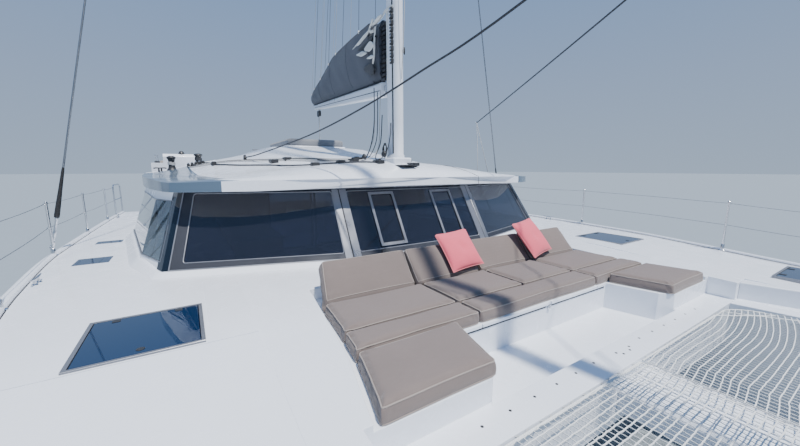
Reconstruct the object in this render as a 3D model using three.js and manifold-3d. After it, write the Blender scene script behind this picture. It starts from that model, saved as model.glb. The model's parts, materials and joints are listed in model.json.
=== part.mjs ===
// A cruising catamaran under sail covers, afloat, about 14 m long and 7.7 m wide.
// Millimetres. +X points to the bows, +Y to port, +Z up. The origin is on the waterline, amidships.

import * as THREE from "three";
import { mergeVertices } from "three/addons/utils/BufferGeometryUtils.js";
import Module from "manifold-3d";

const wasm = await Module();
wasm.setup();

// Driving dimensions
const GAP = 0.3; // between pieces that touch
const RUN = 5; // between pieces that move past each other
const SIDES = { port: 1, starboard: -1 };

const DECK_Z = 1850;
const HULL_INNER_Y = 2100; // flat side that the bridgedeck joins
const BRIDGE_AFT = -5800;
const BRIDGE_FORE = 3600;
const BRIDGE_UNDER_Z = 850;
const FLOOR_Z = 1000; // saloon and cockpit sole
const BEAM_X = 6250; // forward crossbeam
const BEAM_R = 95;
const BEAM_Z = 1495;
const BEAM_PAD_Y = 2380;
const LEDGE_Z = 1610; // lashing flange round the nets
const NET_Z = BEAM_Z + BEAM_R + GAP;
const NET_T = 12;

const SEAT_BASE_Z = 1750;
const CUSHION_T = 95;
const CUSHION_TOP = SEAT_BASE_Z + GAP + CUSHION_T;
const LOUNGE_AFT_X = 2170;
const STRIP_X = 2665; // joint between the rear cushions and the front strip
const LOUNGE_FORE_X = 2900;
const OTTOMAN_FORE_X = 3385;
const LOUNGE_SIDES = [
  // x, then the distances from the centreline of the cushions' outer edge and of the recess they lie in
  [1850, 1600, 1625],
  [LOUNGE_AFT_X, 1618, 1655],
  [STRIP_X, 1662, 1703],
  [LOUNGE_FORE_X, 1690, 1730],
  [OTTOMAN_FORE_X + 5, 1803, 1832],
].map(([x, cushion, recess]) => ({ x, cushion, recess }));
const OTTOMAN_IN = { aft: 955, fore: 1085 };
const FOOTWELL_Z = 1500;
const FOOTWELL_SIDE = [[LOUNGE_FORE_X, 925], [3300, 1030], [3400, 1145]]; // x, distance from the centreline
const MOULDING_HALF = 1480;
const SEAM = 4; // between two cushions
const BEYOND = 2500; // further out than any cushion reaches
// The front face of the backrests, from its foot to its head: x and z.
const BACK_FOOT = [LOUNGE_AFT_X - GAP, CUSHION_TOP];
const BACK_HEAD = [1950, 2115];

const ROOF_UNDER_Z = 2612; // along the edge, over the cabin walls
const BULKHEAD_X = -3140;
const BULKHEAD_T = 60;

const MAST_X = 550;
const MAST_FOOT_Z = 2975;
const MAST_HEAD_Z = 19600;
const MAST_RAKE = THREE.MathUtils.degToRad(0.8);
const HOUNDS_Z = 17200;
const CHAINPLATE = [-1000, 3830, DECK_Z];
const SPREADER_TIP = [-1000, 1980, 10500];

const GOOSENECK = [345, 0, 3920];
const BOOM_LENGTH = 5300;
const BOOM_RISE = 618; // of its underside
const BOOM_DEPTH = [200, 125]; // at the gooseneck, at the aft end
const BOOM_SWING = THREE.MathUtils.degToRad(-8.5); // rests a little to port

const DOOR = { low: 1040, high: 2890, y: [-975, 20] };
const WHEEL = { at: [-3640, -2450, 2760], r: 340 };
const SUNPAD_Z = 3305;

const RUDDER = { x: -5900, y: 2950, stockR: 30, boreR: 32, topZ: -335, tipZ: -1350 };
const DRIVE = { x: -4600, y: 2950, shaftZ: -900 };

const MATERIALS = {
  gelcoat: { color: 0xf2f3f4, roughness: 0.3, metalness: 0 },
  glass: { color: 0x1b2a38, roughness: 0.08, metalness: 0 },
  alloy: { color: 0xe9eaec, roughness: 0.4, metalness: 0.3 },
  steel: { color: 0xc9ccd0, roughness: 0.25, metalness: 0.9 },
  taupe: { color: 0x8b7f78, roughness: 0.9, metalness: 0 },
  coral: { color: 0xf2707c, roughness: 0.9, metalness: 0 },
  canvas: { color: 0x8b8d90, roughness: 0.9, metalness: 0 },
  net: { color: 0xdfe3e4, roughness: 0.9, metalness: 0 },
  sailcloth: { color: 0xe8e8e4, roughness: 0.8, metalness: 0 },
  foil: { color: 0x2a3138, roughness: 0.6, metalness: 0 },
  bronze: { color: 0xa8824a, roughness: 0.4, metalness: 0.9 },
  joinery: { color: 0xb59468, roughness: 0.5, metalness: 0 },
};

const boat = new THREE.Group();

// Shapes

const vec = (p) => new THREE.Vector3(...p);
const mix = THREE.MathUtils.lerp;

// One column of a table at any x between its rows.
function tableAt(table, x, column) {
  const i = Math.max(1, table.findIndex((row) => row.x >= x));
  const [a, b] = [table[i - 1], table[i]];
  return mix(a[column], b[column], (x - a.x) / (b.x - a.x));
}

// A closed three.js geometry as a solid that can be joined and cut.
function solid(geometry) {
  const bare = geometry.clone();
  bare.deleteAttribute("normal");
  bare.deleteAttribute("uv");
  const merged = mergeVertices(bare, 1e-3);
  const source = merged.index.array;
  const triangles = [];
  for (let i = 0; i < source.length; i += 3) {
    const [a, b, c] = [source[i], source[i + 1], source[i + 2]];
    if (a !== b && b !== c && a !== c) triangles.push(a, b, c);
  }
  const vertProperties = new Float32Array(merged.attributes.position.array);
  const make = (triVerts) =>
    new wasm.Manifold(new wasm.Mesh({ numProp: 3, vertProperties, triVerts: new Uint32Array(triVerts) }));
  const made = make(triangles);
  return made.volume() < 0 ? make(triangles.reverse()) : made;
}

const join = (...parts) => parts.reduce((whole, part) => whole.add(part));

function box(x, y, z) {
  const [x0, x1] = [Math.min(...x), Math.max(...x)];
  const [y0, y1] = [Math.min(...y), Math.max(...y)];
  const [z0, z1] = [Math.min(...z), Math.max(...z)];
  const geometry = new THREE.BoxGeometry(x1 - x0, y1 - y0, z1 - z0);
  geometry.translate((x0 + x1) / 2, (y0 + y1) / 2, (z0 + z1) / 2);
  return solid(geometry);
}

function extruded(outline, depth, basis, origin) {
  const shape = new THREE.Shape(outline.map(([a, b]) => new THREE.Vector2(a, b)));
  const geometry = new THREE.ExtrudeGeometry(shape, { depth, bevelEnabled: false });
  const matrix = new THREE.Matrix4().makeBasis(...basis).setPosition(...origin);
  return solid(geometry.applyMatrix4(matrix));
}

const X = new THREE.Vector3(1, 0, 0);
const Y = new THREE.Vector3(0, 1, 0);
const Z = new THREE.Vector3(0, 0, 1);

// An outline of (x, y) points from z0 up to z1.
const slab = (outline, z0, z1) => extruded(outline, z1 - z0, [X, Y, Z], [0, 0, z0]);
// An outline of (x, z) points across the boat from y0 to y1.
const profile = (outline, y0, y1) =>
  extruded(outline, Math.abs(y1 - y0), [X, Z, Y.clone().negate()], [0, Math.max(y0, y1), 0]);
// An outline of (y, z) points along the boat from x0 to x1.
const plate = (outline, x0, x1) =>
  extruded(outline, Math.abs(x1 - x0), [Y, Z, X], [Math.min(x0, x1), 0, 0]);

// A round bar between two points.
function rod(from, to, radius, sides = 6) {
  const [a, b] = [vec(from), vec(to)];
  const axis = b.clone().sub(a);
  const geometry = new THREE.CylinderGeometry(radius, radius, axis.length(), sides);
  geometry.applyQuaternion(new THREE.Quaternion().setFromUnitVectors(Y, axis.normalize()));
  geometry.translate(...a.add(b).multiplyScalar(0.5).toArray());
  return solid(geometry);
}

// A bent rail: bars with a ball at each knee.
function rail(points, radius) {
  const bars = points.slice(1).map((p, i) => rod(points[i], p, radius));
  const knees = points.slice(1, -1).map((p) =>
    solid(new THREE.IcosahedronGeometry(radius * 1.15).translate(...p)));
  return join(...bars, ...knees);
}

// A skin through closed rings of equal count, with its two ends closed.
function loft(rings) {
  const count = rings[0].length;
  const triangles = [];
  for (let r = 0; r + 1 < rings.length; r++)
    for (let i = 0; i < count; i++) {
      const j = (i + 1) % count;
      const [a, b] = [r * count + i, r * count + j];
      triangles.push(a, b, b + count, a, b + count, a + count);
    }
  const cap = (ring, base, flip) => {
    const points = ring.map(vec);
    const normal = new THREE.Vector3();
    points.forEach((p, i) => normal.add(p.clone().cross(points[(i + 1) % count])));
    const size = normal.toArray().map(Math.abs);
    const drop = size.indexOf(Math.max(...size));
    const flat = points.map((p) => new THREE.Vector2(...p.toArray().filter((_, k) => k !== drop)));
    const clockwise = THREE.ShapeUtils.isClockWise(flat);
    for (const [a, b, c] of THREE.ShapeUtils.triangulateShape(flat, [])) {
      const turn = flip !== clockwise;
      triangles.push(base + a, base + (turn ? c : b), base + (turn ? b : c));
    }
  };
  cap(rings[0], 0, false);
  cap(rings[rings.length - 1], (rings.length - 1) * count, true);
  const geometry = new THREE.BufferGeometry();
  geometry.setAttribute("position", new THREE.Float32BufferAttribute(rings.flat(2), 3));
  geometry.setIndex(orientCaps(triangles, rings));
  return solid(geometry);
}

// Turns the end caps to agree with the skin between them.
function orientCaps(triangles, rings) {
  const count = rings[0].length;
  const sides = 6 * count * (rings.length - 1);
  const edges = new Set();
  for (let i = 0; i < sides; i += 3)
    for (let k = 0; k < 3; k++) edges.add(triangles[i + k] + ">" + triangles[i + ((k + 1) % 3)]);
  const last = count * (rings.length - 1);
  const turned = (from, to) => {
    for (let i = from; i < to; i += 3)
      for (let k = 0; k < 3; k++) {
        const [a, b] = [triangles[i + k], triangles[i + ((k + 1) % 3)]];
        if (edges.has(a + ">" + b)) return true;
        if (edges.has(b + ">" + a)) return false;
      }
    return false;
  };
  const caps = [[], []];
  for (let i = sides; i < triangles.length; i += 3) caps[triangles[i] < last ? 0 : 1].push(i);
  for (const cap of caps)
    if (turned(cap[0], cap[cap.length - 1] + 3))
      for (const i of cap) [triangles[i + 1], triangles[i + 2]] = [triangles[i + 2], triangles[i + 1]];
  return triangles;
}

// Names a solid as a piece of the boat, in a group if it is placed by one.
function piece(name, made, finish, parent = boat) {
  const { vertProperties, triVerts, numProp, numVert } = made.getMesh();
  const places = new Float32Array(numVert * 3);
  for (let i = 0; i < numVert; i++) places.set(vertProperties.subarray(i * numProp, i * numProp + 3), i * 3);
  const geometry = new THREE.BufferGeometry();
  geometry.setAttribute("position", new THREE.BufferAttribute(places, 3));
  geometry.setIndex(new THREE.BufferAttribute(new Uint32Array(triVerts), 1));
  geometry.computeVertexNormals();
  const mesh = new THREE.Mesh(geometry, new THREE.MeshStandardMaterial(MATERIALS[finish]));
  mesh.name = name;
  parent.add(mesh);
  return mesh;
}

// Hulls

// Sections of the port hull. Distances from the centreline at the deck edge, the waterline and the keel,
// outboard and inboard, with the height of the deck outboard and inboard and the depth of the canoe body.
const SECTIONS = [
  // x, deckOut, waterOut, keel, waterIn, deckIn, deckZ, deckInZ, depth
  [-7000, 3560, 3400, 2950, 2500, 2360, 560, 560, -25],
  [-6500, 3680, 3480, 2950, 2430, 2230, 1120, 1120, -150],
  [-5800, 3760, 3560, 2950, 2350, 2100, 1760, 1760, -290],
  [-5400, 3790, 3590, 2950, 2320, 2100, 1850, 1850, -350],
  [-4200, 3830, 3640, 2950, 2280, 2100, 1850, 1850, -480],
  [-2400, 3850, 3680, 2950, 2240, 2100, 1850, 1850, -560],
  [-980, 3850, 3680, 2950, 2240, 2100, 1850, 1850, -560],
  [700, 3725, 3610, 2930, 2250, 2100, 1850, 1850, -560],
  [2000, 3530, 3480, 2910, 2290, 2100, 1850, 1850, -560],
  [3000, 3370, 3370, 2880, 2360, 2100, 1820, 1800, -550],
  [3600, 3300, 3300, 2860, 2400, 2100, 1790, 1780, -540],
  [4600, 3180, 3180, 2830, 2480, 2130, 1755, 1745, -510],
  [5600, 3040, 3030, 2800, 2570, 2330, 1725, 1715, -440],
  [6400, 2930, 2900, 2785, 2670, 2560, 1710, 1705, -330],
  [6880, 2865, 2830, 2780, 2730, 2690, 1702, 1700, -200],
  [7000, 2830, 2800, 2780, 2760, 2725, 1700, 1700, -90],
].map(([x, deckOut, waterOut, keel, waterIn, deckIn, deckZ, deckInZ, depth]) => (
  { x, deckOut, waterOut, keel, waterIn, deckIn, deckZ, deckInZ, depth }));

const hullAt = (x, column) => tableAt(SECTIONS, x, column);

// Round the section from the outer deck edge under the keel to the inner one.
function hullRing(s, side) {
  const bilge = [1, 0.75, 0.5, 0.25, 0.08].map((t) => (t * Math.PI) / 2);
  const flat = 0.2;
  const under = (water) => bilge.map((t) => {
    const reach = flat + (1 - flat) * Math.sin(t);
    return [s.x, side * mix(s.keel, water, reach), s.depth * Math.cos(t)];
  });
  const flare = Math.min(450, s.deckZ * 0.4);
  const bridge = Math.min(BRIDGE_UNDER_Z, s.deckInZ * 0.75);
  return [
    [s.x, side * s.deckOut, s.deckZ],
    [s.x, side * (mix(s.waterOut, s.deckOut, 0.5) + 12), flare],
    ...under(s.waterOut),
    ...under(s.waterIn).reverse(),
    [s.x, side * mix(s.waterIn, s.deckIn, 0.35), flare],
    [s.x, side * s.deckIn, bridge],
    [s.x, side * s.deckIn, s.deckInZ],
  ];
}

// Steps from the cockpit down to the water, in each stern.
const STERN_STEPS = [
  // aft end, forward end, tread height
  [-7100, -6600, 330],
  [-6600, -6250, 560],
  [-6250, -5950, 790],
  [-5950, -5100, FLOOR_Z],
];

// Hatches in the side decks: names, places and the axis that each lid turns on.
const HATCHES = [
  // name, aft x, forward x, inner y, outer y, height of the frame
  ["hatch", 1740, 2330, 2410, 2980, 1852],
  ["fore_hatch", 3750, 4330, 2400, 2960, 1800],
];
const HATCH_T = 18;
const HATCH_RIM = 40;

// Fixed lights let into the side decks.
const DECK_LIGHTS = [
  // aft x, forward x, inner y, outer y
  [-410, -100, 3180, 3480],
  [-1500, -1300, 3220, 3500],
];

function netEdgeY(x) {
  return mix(1750, 2250, (x - BRIDGE_FORE) / (BEAM_X - 120 - BRIDGE_FORE));
}

function keel(side) {
  const fin = [
    // x forward, x aft, half thickness, z
    [800, -2000, 150, -520],
    [740, -1960, 120, -760],
    [560, -1850, 85, -1150],
    [430, -1780, 70, -1300],
  ];
  return loft(fin.map(([fore, aft, half, z]) => [
    [fore, 0], [mix(fore, aft, 0.12), half * 0.7], [mix(fore, aft, 0.4), half], [aft, 12],
    [aft, -12], [mix(fore, aft, 0.4), -half], [mix(fore, aft, 0.12), -half * 0.7],
  ].map(([x, y]) => [x, side * 2940 + y, z])));
}

function hull(side) {
  let made = loft(SECTIONS.map((s) => hullRing(s, side)));
  const ledge = [[BRIDGE_FORE + GAP, 1750], [BEAM_X - 120, netEdgeY(BEAM_X - 120)], [BEAM_X - 120, 2650],
    [BRIDGE_FORE + GAP, 2300]].map(([x, y]) => [x, side * y]);
  const coaming = [[BRIDGE_FORE + GAP, 1950], [3950, 2070], [4400, 2180], [BRIDGE_FORE + GAP, 2180]]
    .map(([x, y]) => [x, side * y]);
  made = join(
    made,
    slab(ledge, LEDGE_Z - 70, LEDGE_Z),
    slab(coaming, LEDGE_Z - 20, 1770),
    box([BEAM_X - 120, BEAM_X + 120], [side * BEAM_PAD_Y, side * 2650], [BEAM_Z - 115, BEAM_Z + 115]),
    keel(side),
    box([DRIVE.x - 250, DRIVE.x + 250], [side * (DRIVE.y - 95), side * (DRIVE.y + 95)], [-520, -300]),
    box([RUDDER.x - 130, RUDDER.x + 130], [side * (RUDDER.y - 60), side * (RUDDER.y + 60)],
      [RUDDER.topZ + RUN, 0]),
  );
  for (const [, aft, fore, inner, outer, top] of HATCHES)
    made = made.add(box([aft - HATCH_RIM, fore + HATCH_RIM],
      [side * (inner - HATCH_RIM), side * (outer + HATCH_RIM)], [top - 60, top]));
  for (const [, aft, fore, inner, outer, top] of HATCHES)
    made = made.subtract(box([aft - RUN, fore + RUN], [side * (inner - RUN), side * (outer + RUN)],
      [top - HATCH_T - GAP, top + 50]));
  for (const [aft, fore, inner, outer] of DECK_LIGHTS)
    made = made.subtract(box([aft, fore], [side * inner, side * outer], [DECK_Z - 6, DECK_Z + 50]));
  for (const [aft, fore, tread] of STERN_STEPS)
    made = made.subtract(box([aft, fore], [side * 2450, side * 3300], [tread, 2000]));
  made = made.subtract(box([BRIDGE_AFT - GAP, -5100], [side * 2000, side * 2500], [FLOOR_Z, 2000]));
  const stock = [side * RUDDER.y];
  return made.subtract(rod([RUDDER.x, ...stock, RUDDER.topZ - 50], [RUDDER.x, ...stock, -40], RUDDER.boreR, 16));
}

// Toe rail along the deck edge with the stanchions, pulpit and pushpit that stand on it.
const STANCHION_X = [5150, 3120, 1120, -790, -2400, -3900];
const STANCHION_H = 620;

function toeRail(side) {
  const strip = (s) => [
    [s.x, side * (s.deckOut - 105), s.deckZ + GAP],
    [s.x, side * (s.deckOut - 70), s.deckZ + GAP],
    [s.x, side * (s.deckOut - 72), s.deckZ + 26],
    [s.x, side * (s.deckOut - 100), s.deckZ + 26],
  ];
  const ends = { aft: -5400, fore: 6880 };
  const rows = SECTIONS.filter((s) => s.x >= ends.aft && s.x <= ends.fore);
  const foot = (x, up) => [x, side * (hullAt(x, "deckOut") - 87), hullAt(x, "deckZ") + up];
  const stanchions = STANCHION_X.map((x) => rod(foot(x, 15), foot(x, STANCHION_H), 12.5));
  const pulpit = rail([foot(6000, 15), foot(6000, 640), foot(6820, 640), foot(6840, 15)], 14);
  const pushpit = rail([foot(-4700, 15), foot(-4700, 640), foot(-5350, 640), foot(-5350, 15)], 14);
  return join(loft(rows.map(strip)), ...stanchions, pulpit, pushpit);
}

// Bridgedeck with the forward lounge, saloon and cockpit wells

// The moulding behind the backrests, from the seat base up its sloping face and down behind: x and z.
const BACK_MOULDING = [[2094, SEAT_BASE_Z], [2094, 1777], [1871.5, 2051.5], [1835, 2051.5], [1760, 1840]];

// A plan that is the same on both sides, from rows of x and distance from the centreline.
const mirrored = (rows) => [...rows, ...rows.map(([x, y]) => [x, -y]).reverse()];

function bridgedeck() {
  const half = HULL_INNER_Y - GAP;
  const body = profile([
    [BRIDGE_AFT, BRIDGE_UNDER_Z], [3000, BRIDGE_UNDER_Z], [3450, 1050], [BRIDGE_FORE, 1250],
    [BRIDGE_FORE, 1780], [3000, 1800], [2000, DECK_Z], [BRIDGE_AFT, DECK_Z],
  ], -half, half);
  const top = 2500;
  const cuts = [
    slab(mirrored(LOUNGE_SIDES.map((row) => [row.x, row.recess])), SEAT_BASE_Z, top),
    slab(mirrored(FOOTWELL_SIDE), FOOTWELL_Z, top),
    box([OTTOMAN_FORE_X, BRIDGE_FORE + 50], [-1880, 1880], [LEDGE_Z, top]),
    box([-5500, 700], [-2000, 2000], [FLOOR_Z, top]),
    box([-5500, BULKHEAD_X - 160], [-half - 10, half + 10], [FLOOR_Z, top]),
    box([BRIDGE_AFT - 50, -5400], [-half - 10, half + 10], [FLOOR_Z, top]),
  ];
  const back = profile([...BACK_MOULDING, [1700, 1740]], -MOULDING_HALF, MOULDING_HALF);
  return cuts.reduce((made, cut) => made.subtract(cut), body).add(back);
}

function forebeam() {
  const reach = BEAM_PAD_Y - GAP;
  return join(
    rod([BEAM_X, -reach, BEAM_Z], [BEAM_X, reach, BEAM_Z], BEAM_R, 14),
    box([BEAM_X - 100, BEAM_X + 160], [-200, 200], [BEAM_Z - 105, BEAM_Z + BEAM_R - 2]),
    box([BEAM_X + 150, 7150], [-70, 70], [BEAM_Z - 60, BEAM_Z + 40]),
    box([7000, 7150], [-70, -55], [BEAM_Z, BEAM_Z + 110]),
    box([7000, 7150], [55, 70], [BEAM_Z, BEAM_Z + 110]),
  );
}

function spine() {
  const [aft, fore] = [BRIDGE_FORE + GAP, BEAM_X - 100 - GAP];
  const ring = (x, half, low, high) => [
    [x, -half, low + 60], [x, -half * 0.6, low], [x, half * 0.6, low], [x, half, low + 60],
    [x, half, high - 30], [x, half - 30, high], [x, -half + 30, high], [x, -half, high - 30],
  ];
  return loft([ring(aft, 240, 1270, 1500), ring(fore, 190, 1400, 1500)]);
}

function net(side) {
  const fore = BEAM_X;
  const round = 300;
  const corner = [0, 0.25, 0.5, 0.75, 1].map((t) => {
    const turn = (t * Math.PI) / 2;
    return [BRIDGE_FORE + round * (1 - Math.sin(turn)) + 8, netEdgeY(BRIDGE_FORE) - round * (1 - Math.cos(turn)) - 8];
  }).reverse();
  const aftEdge = BRIDGE_FORE + GAP;
  const outline = [
    [aftEdge, 18], [aftEdge, corner[0][1]], ...corner, [BEAM_X - 120, netEdgeY(BEAM_X - 120) - GAP],
    [fore, netEdgeY(BEAM_X - 120) - GAP], [fore, 18],
  ].map(([x, y]) => [x, side * y]);
  return slab(outline, NET_Z, NET_Z + NET_T);
}

// Cabin walls: one line of flat legs from the starboard quarter round the front to the port quarter

const CABIN_CORNERS = [
  // port half: x, y of the foot, then x, y of the head
  [1325, 972, 855, 958],
  [800, 2677, 371, 2481],
  [200, 2900, -79, 2678],
  [-1630, 3150, -1779, 2910],
  [BULKHEAD_X, 3090, BULKHEAD_X, 2856],
];
const WALL_T = 50;
const PANE_T = 12;
const CORNER_NEAR = 0.001; // of a leg, where a point counts as on the corner

const cabinCorner = ([fx, fy, hx, hy], side) => ({
  foot: [fx, side * fy, DECK_Z + GAP],
  head: [hx, side * hy, ROOF_UNDER_Z - GAP],
});
const CABIN_LINE = [
  ...CABIN_CORNERS.map((corner) => cabinCorner(corner, -1)).reverse(),
  ...CABIN_CORNERS.map((corner) => cabinCorner(corner, 1)),
];
const LEGS = CABIN_LINE.length - 1;
const [FRONT_FIRST, FRONT_LAST] = [3, 6]; // corners between which the windscreen stands

// The level normal of a leg, pointing away from the cabin.
function legNormal(leg) {
  const [a, b] = [CABIN_LINE[leg].foot, CABIN_LINE[leg + 1].foot];
  return new THREE.Vector2(b[1] - a[1], a[0] - b[0]).normalize();
}

// A point t legs along the wall, a part f of the way up it and sunk inwards by depth.
function wallPoint(t, f, depth) {
  const leg = Math.min(Math.floor(t), LEGS - 1);
  const u = t - leg;
  const [a, b] = [CABIN_LINE[leg], CABIN_LINE[leg + 1]];
  const at = (k) => mix(mix(a.foot[k], b.foot[k], u), mix(a.head[k], b.head[k], u), f);
  let normal = legNormal(leg);
  const corner = Math.round(t);
  if (Math.abs(t - corner) < CORNER_NEAR && corner > 0 && corner < LEGS) {
    const [before, after] = [legNormal(corner - 1), legNormal(corner)];
    const half = before.clone().add(after).normalize();
    normal = half.multiplyScalar(1 / half.dot(after));
  }
  return [at(0) - normal.x * depth, at(1) - normal.y * depth, at(2)];
}

// A strip of wall between two places along it, two parts of its height and two depths.
function strip([t0, t1], [f0, f1], [outer, inner]) {
  const stops = [t0];
  for (let t = Math.floor(t0) + 1; t < t1; t++) stops.push(t);
  stops.push(t1);
  return loft(stops.map((t) => [
    wallPoint(t, f0, outer), wallPoint(t, f1, outer), wallPoint(t, f1, inner), wallPoint(t, f0, inner),
  ]));
}

const windowHole = ({ t, f }) => strip(t, f, [-60, WALL_T + 60]);
const pane = ({ t: [t0, t1], f: [f0, f1] }) =>
  strip([t0 + 0.0003, t1 - 0.0003], [f0 + 0.0005, f1 - 0.0005], [4, 4 + PANE_T]);

function cabinFront() {
  const windows = {
    starboard: { t: [3.09, 3.95], f: [0.13, 0.955] },
    centre: { t: [4.045, 4.955], f: [0.13, 0.955] },
    port: { t: [5.05, 5.91], f: [0.13, 0.955] },
  };
  const frame = strip([FRONT_FIRST, FRONT_LAST], [0, 1], [0, WALL_T]);
  piece("windscreen_frame", Object.values(windows).reduce((made, w) => made.subtract(windowHole(w)), frame), "gelcoat");
  for (const [name, window] of Object.entries(windows)) piece("windscreen_" + name, pane(window), "glass");
}

function cabinSide(name, side) {
  const along = (from, to) => (side > 0 ? [from, to] : [LEGS - to, LEGS - from]);
  const window = { t: along(6.12, 8.8), f: [0.14, 0.86] };
  const wall = strip(along(FRONT_LAST + 0.0006, LEGS), [0, 1], [0, WALL_T]);
  piece("cabin_side_" + name, wall.subtract(windowHole(window)), "gelcoat");
  piece("side_glass_" + name, pane(window), "glass");
}

// Roof over the saloon and cockpit

// The top of the roof is a flat centre, two sloping shoulders and a level gutter along each side.
const ROOF_SPREAD = [0, 0.3, 0.45, 0.66, 0.79, 0.86, 1];
const ROOF_RINGS = [
  // x at the centre, how far the edge lies aft of it, half width, underside at centre, top at each part of the spread
  [1150, 299, 2127, 2637, 2728, 2728, 2726, 2722, 2718, 2716, 2712],
  [950, 283, 2547, 2612, 2838, 2810, 2785, 2755, 2735, 2725, 2700],
  [560, 380, 2690, 2612, 2935, 2885, 2845, 2775, 2733, 2728, 2718],
  [100, 300, 2780, 2640, 2990, 2898, 2850, 2785, 2738, 2735, 2730],
  [-600, 100, 2850, 2930, 3065, 3010, 2930, 2830, 2738, 2735, 2733],
  [-1600, 0, 2940, 3080, 3180, 3125, 3040, 2930, 2800, 2750, 2738],
  [-2600, 0, 3000, 3150, 3290, 3270, 3100, 2955, 2880, 2810, 2745],
  [-3250, 0, 3040, 3150, 3298, 3280, 3115, 2975, 2885, 2815, 2750],
  [-4700, 0, 3000, 3170, 3300, 3285, 3125, 2980, 2880, 2810, 2760],
  [-5250, 0, 2900, 3170, 3290, 3275, 3115, 2970, 2870, 2800, 2760],
].map(([x, drop, half, under, ...tops]) => ({ x, drop, half, under, tops }));
const ROOF_FLAT = 0.86; // the underside is level outboard of this part of the half width

const roofUnder = (ring, f) =>
  f >= ROOF_FLAT ? ROOF_UNDER_Z : mix(ring.under, ROOF_UNDER_Z, (f / ROOF_FLAT) ** 2);
const roofTop = (ring, f) => ring.tops[ROOF_SPREAD.indexOf(f)];

function roofRing(ring) {
  const row = (height) => [...ROOF_SPREAD.slice(1).reverse().map((f) => [-f, f]), ...ROOF_SPREAD.map((f) => [f, f])]
    .map(([y, f]) => [ring.x - ring.drop * f * f, y * ring.half, height(ring, f)]);
  return [...row(roofUnder), ...row(roofTop).reverse()];
}

// The helm stands in a notch of the roof's starboard edge.
const HELM = { aft: -4700, fore: -3250, inner: 1950, outer: 2950, floorZ: 2150 };
const POST = { x: -4950, y: 2600 };
const ROOF_WINCHES = [
  // x, y, top
  [-2900, -2610, 3060],
  [-2900, -2190, 3110],
];

function roof() {
  const posts = Object.values(SIDES).map((side) => loft([
    [DECK_Z + GAP, 0], [2660, -60],
  ].map(([z, lean]) => [[60, 35], [60, -35], [-60, -35], [-60, 35]]
    .map(([x, y]) => [POST.x + x + lean, side * POST.y + y, z]))));
  const winches = ROOF_WINCHES.map(([x, y, top]) => rod([x, y, top - 320], [x, y, top], 85, 10));
  return join(
    loft(ROOF_RINGS.map(roofRing)),
    ...posts,
    ...winches,
    box([MAST_X - 190, MAST_X + 190], [-140, 140], [2750, MAST_FOOT_Z]),
    slab([[-4450, -640], [-2650, -640], [-2650, 640], [-4450, 640]], 3180, SUNPAD_Z),
  ).subtract(box([HELM.aft, HELM.fore], [-HELM.inner, -3300], [2400, 3400]));
}

function aftBulkhead() {
  const ring = ROOF_RINGS.find(({ x }) => x === -2600);
  const under = ROOF_SPREAD.filter((f) => f < 0.9).map((f) => [f * ring.half, roofUnder(ring, f) - GAP]);
  const port = [...under, [2856, ROOF_UNDER_Z - GAP], [3090, DECK_Z + GAP], [2000 - GAP, DECK_Z + GAP],
    [2000 - GAP, FLOOR_Z + GAP]];
  const starboard = port.slice(1).map(([y, z]) => [-y, z]).reverse();
  const [fore, aft] = [BULKHEAD_X - GAP, BULKHEAD_X - BULKHEAD_T];
  const rails = [
    box([aft - 55, aft + 10], [-980, 980], [DOOR.high + 0.4, DOOR.high + 40]),
    box([aft - 55, aft + 10], [-980, 980], [FLOOR_Z + GAP, DOOR.low - 0.4]),
  ];
  return join(plate([...port, ...starboard], aft, fore), ...rails)
    .subtract(box([aft - 1, fore + 20], [-950, 950], [DOOR.low + 15, DOOR.high - 15]));
}

// Rig

function mastRing(z, scale = 1) {
  const x = MAST_X - (z - MAST_FOOT_Z) * Math.tan(MAST_RAKE);
  return [[135, 30], [95, 80], [-95, 80], [-135, 30], [-135, -30], [-95, -80], [95, -80], [135, -30]]
    .map(([dx, y]) => [x + dx * scale, y * scale, z]);
}
const mastX = (z) => MAST_X - (z - MAST_FOOT_Z) * Math.tan(MAST_RAKE);

function mast() {
  const spar = loft([mastRing(MAST_FOOT_Z + GAP), mastRing(HOUNDS_Z + 200), mastRing(MAST_HEAD_Z, 0.6)]);
  const lugs = [[-77, -47], [47, 77]].map((reach) => box([GOOSENECK[0] - 28, 440], [-28, 28],
    reach.map((up) => GOOSENECK[2] + up)));
  const spreaders = Object.values(SIDES).map((side) => {
    const [tipX, tipY, z] = SPREADER_TIP;
    const [root, tip] = [[mastX(z) - 60, side * 60, 70], [tipX + 10, side * (tipY - 10), 30]];
    return loft([root, tip].map(([x, y, half]) => [
      [x + half, y, z], [x, y, z + 16], [x - half, y, z], [x, y, z - 16],
    ]));
  });
  const crane = box([mastX(MAST_HEAD_Z) - 260, mastX(MAST_HEAD_Z) + 60], [-30, 30],
    [MAST_HEAD_Z - 60, MAST_HEAD_Z + 20]);
  return join(spar, ...lugs, ...spreaders, crane);
}

// The cap shroud runs from its chainplate over the tip of the spreader to the hounds.
const SHROUD = { r: 7, bootR: 17, bootZ: 2900, clear: 18 };

function shroud(side) {
  const [x, y] = CHAINPLATE;
  const tip = [SPREADER_TIP[0], SPREADER_TIP[1] + SHROUD.clear, SPREADER_TIP[2]];
  const at = (z) => {
    const t = (z - DECK_Z) / (tip[2] - DECK_Z);
    return [mix(x, tip[0], t), side * mix(y, tip[1], t), z];
  };
  const head = [mastX(HOUNDS_Z), side * 95, HOUNDS_Z];
  return join(
    box([x - 30, x + 30], [side * (y - 8), side * (y + 8)], [DECK_Z + GAP, DECK_Z + 90]),
    rod(at(DECK_Z + 40), at(SHROUD.bootZ), SHROUD.bootR),
    rail([at(SHROUD.bootZ - 20), at(tip[2]), head], SHROUD.r),
    box([head[0] - 25, head[0] + 25], [side * (80 + GAP), side * 112], [HOUNDS_Z - 50, HOUNDS_Z + 40]),
  );
}

const STAY = { foot: [6300, 0, 1640], headZ: 17500 };

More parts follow.
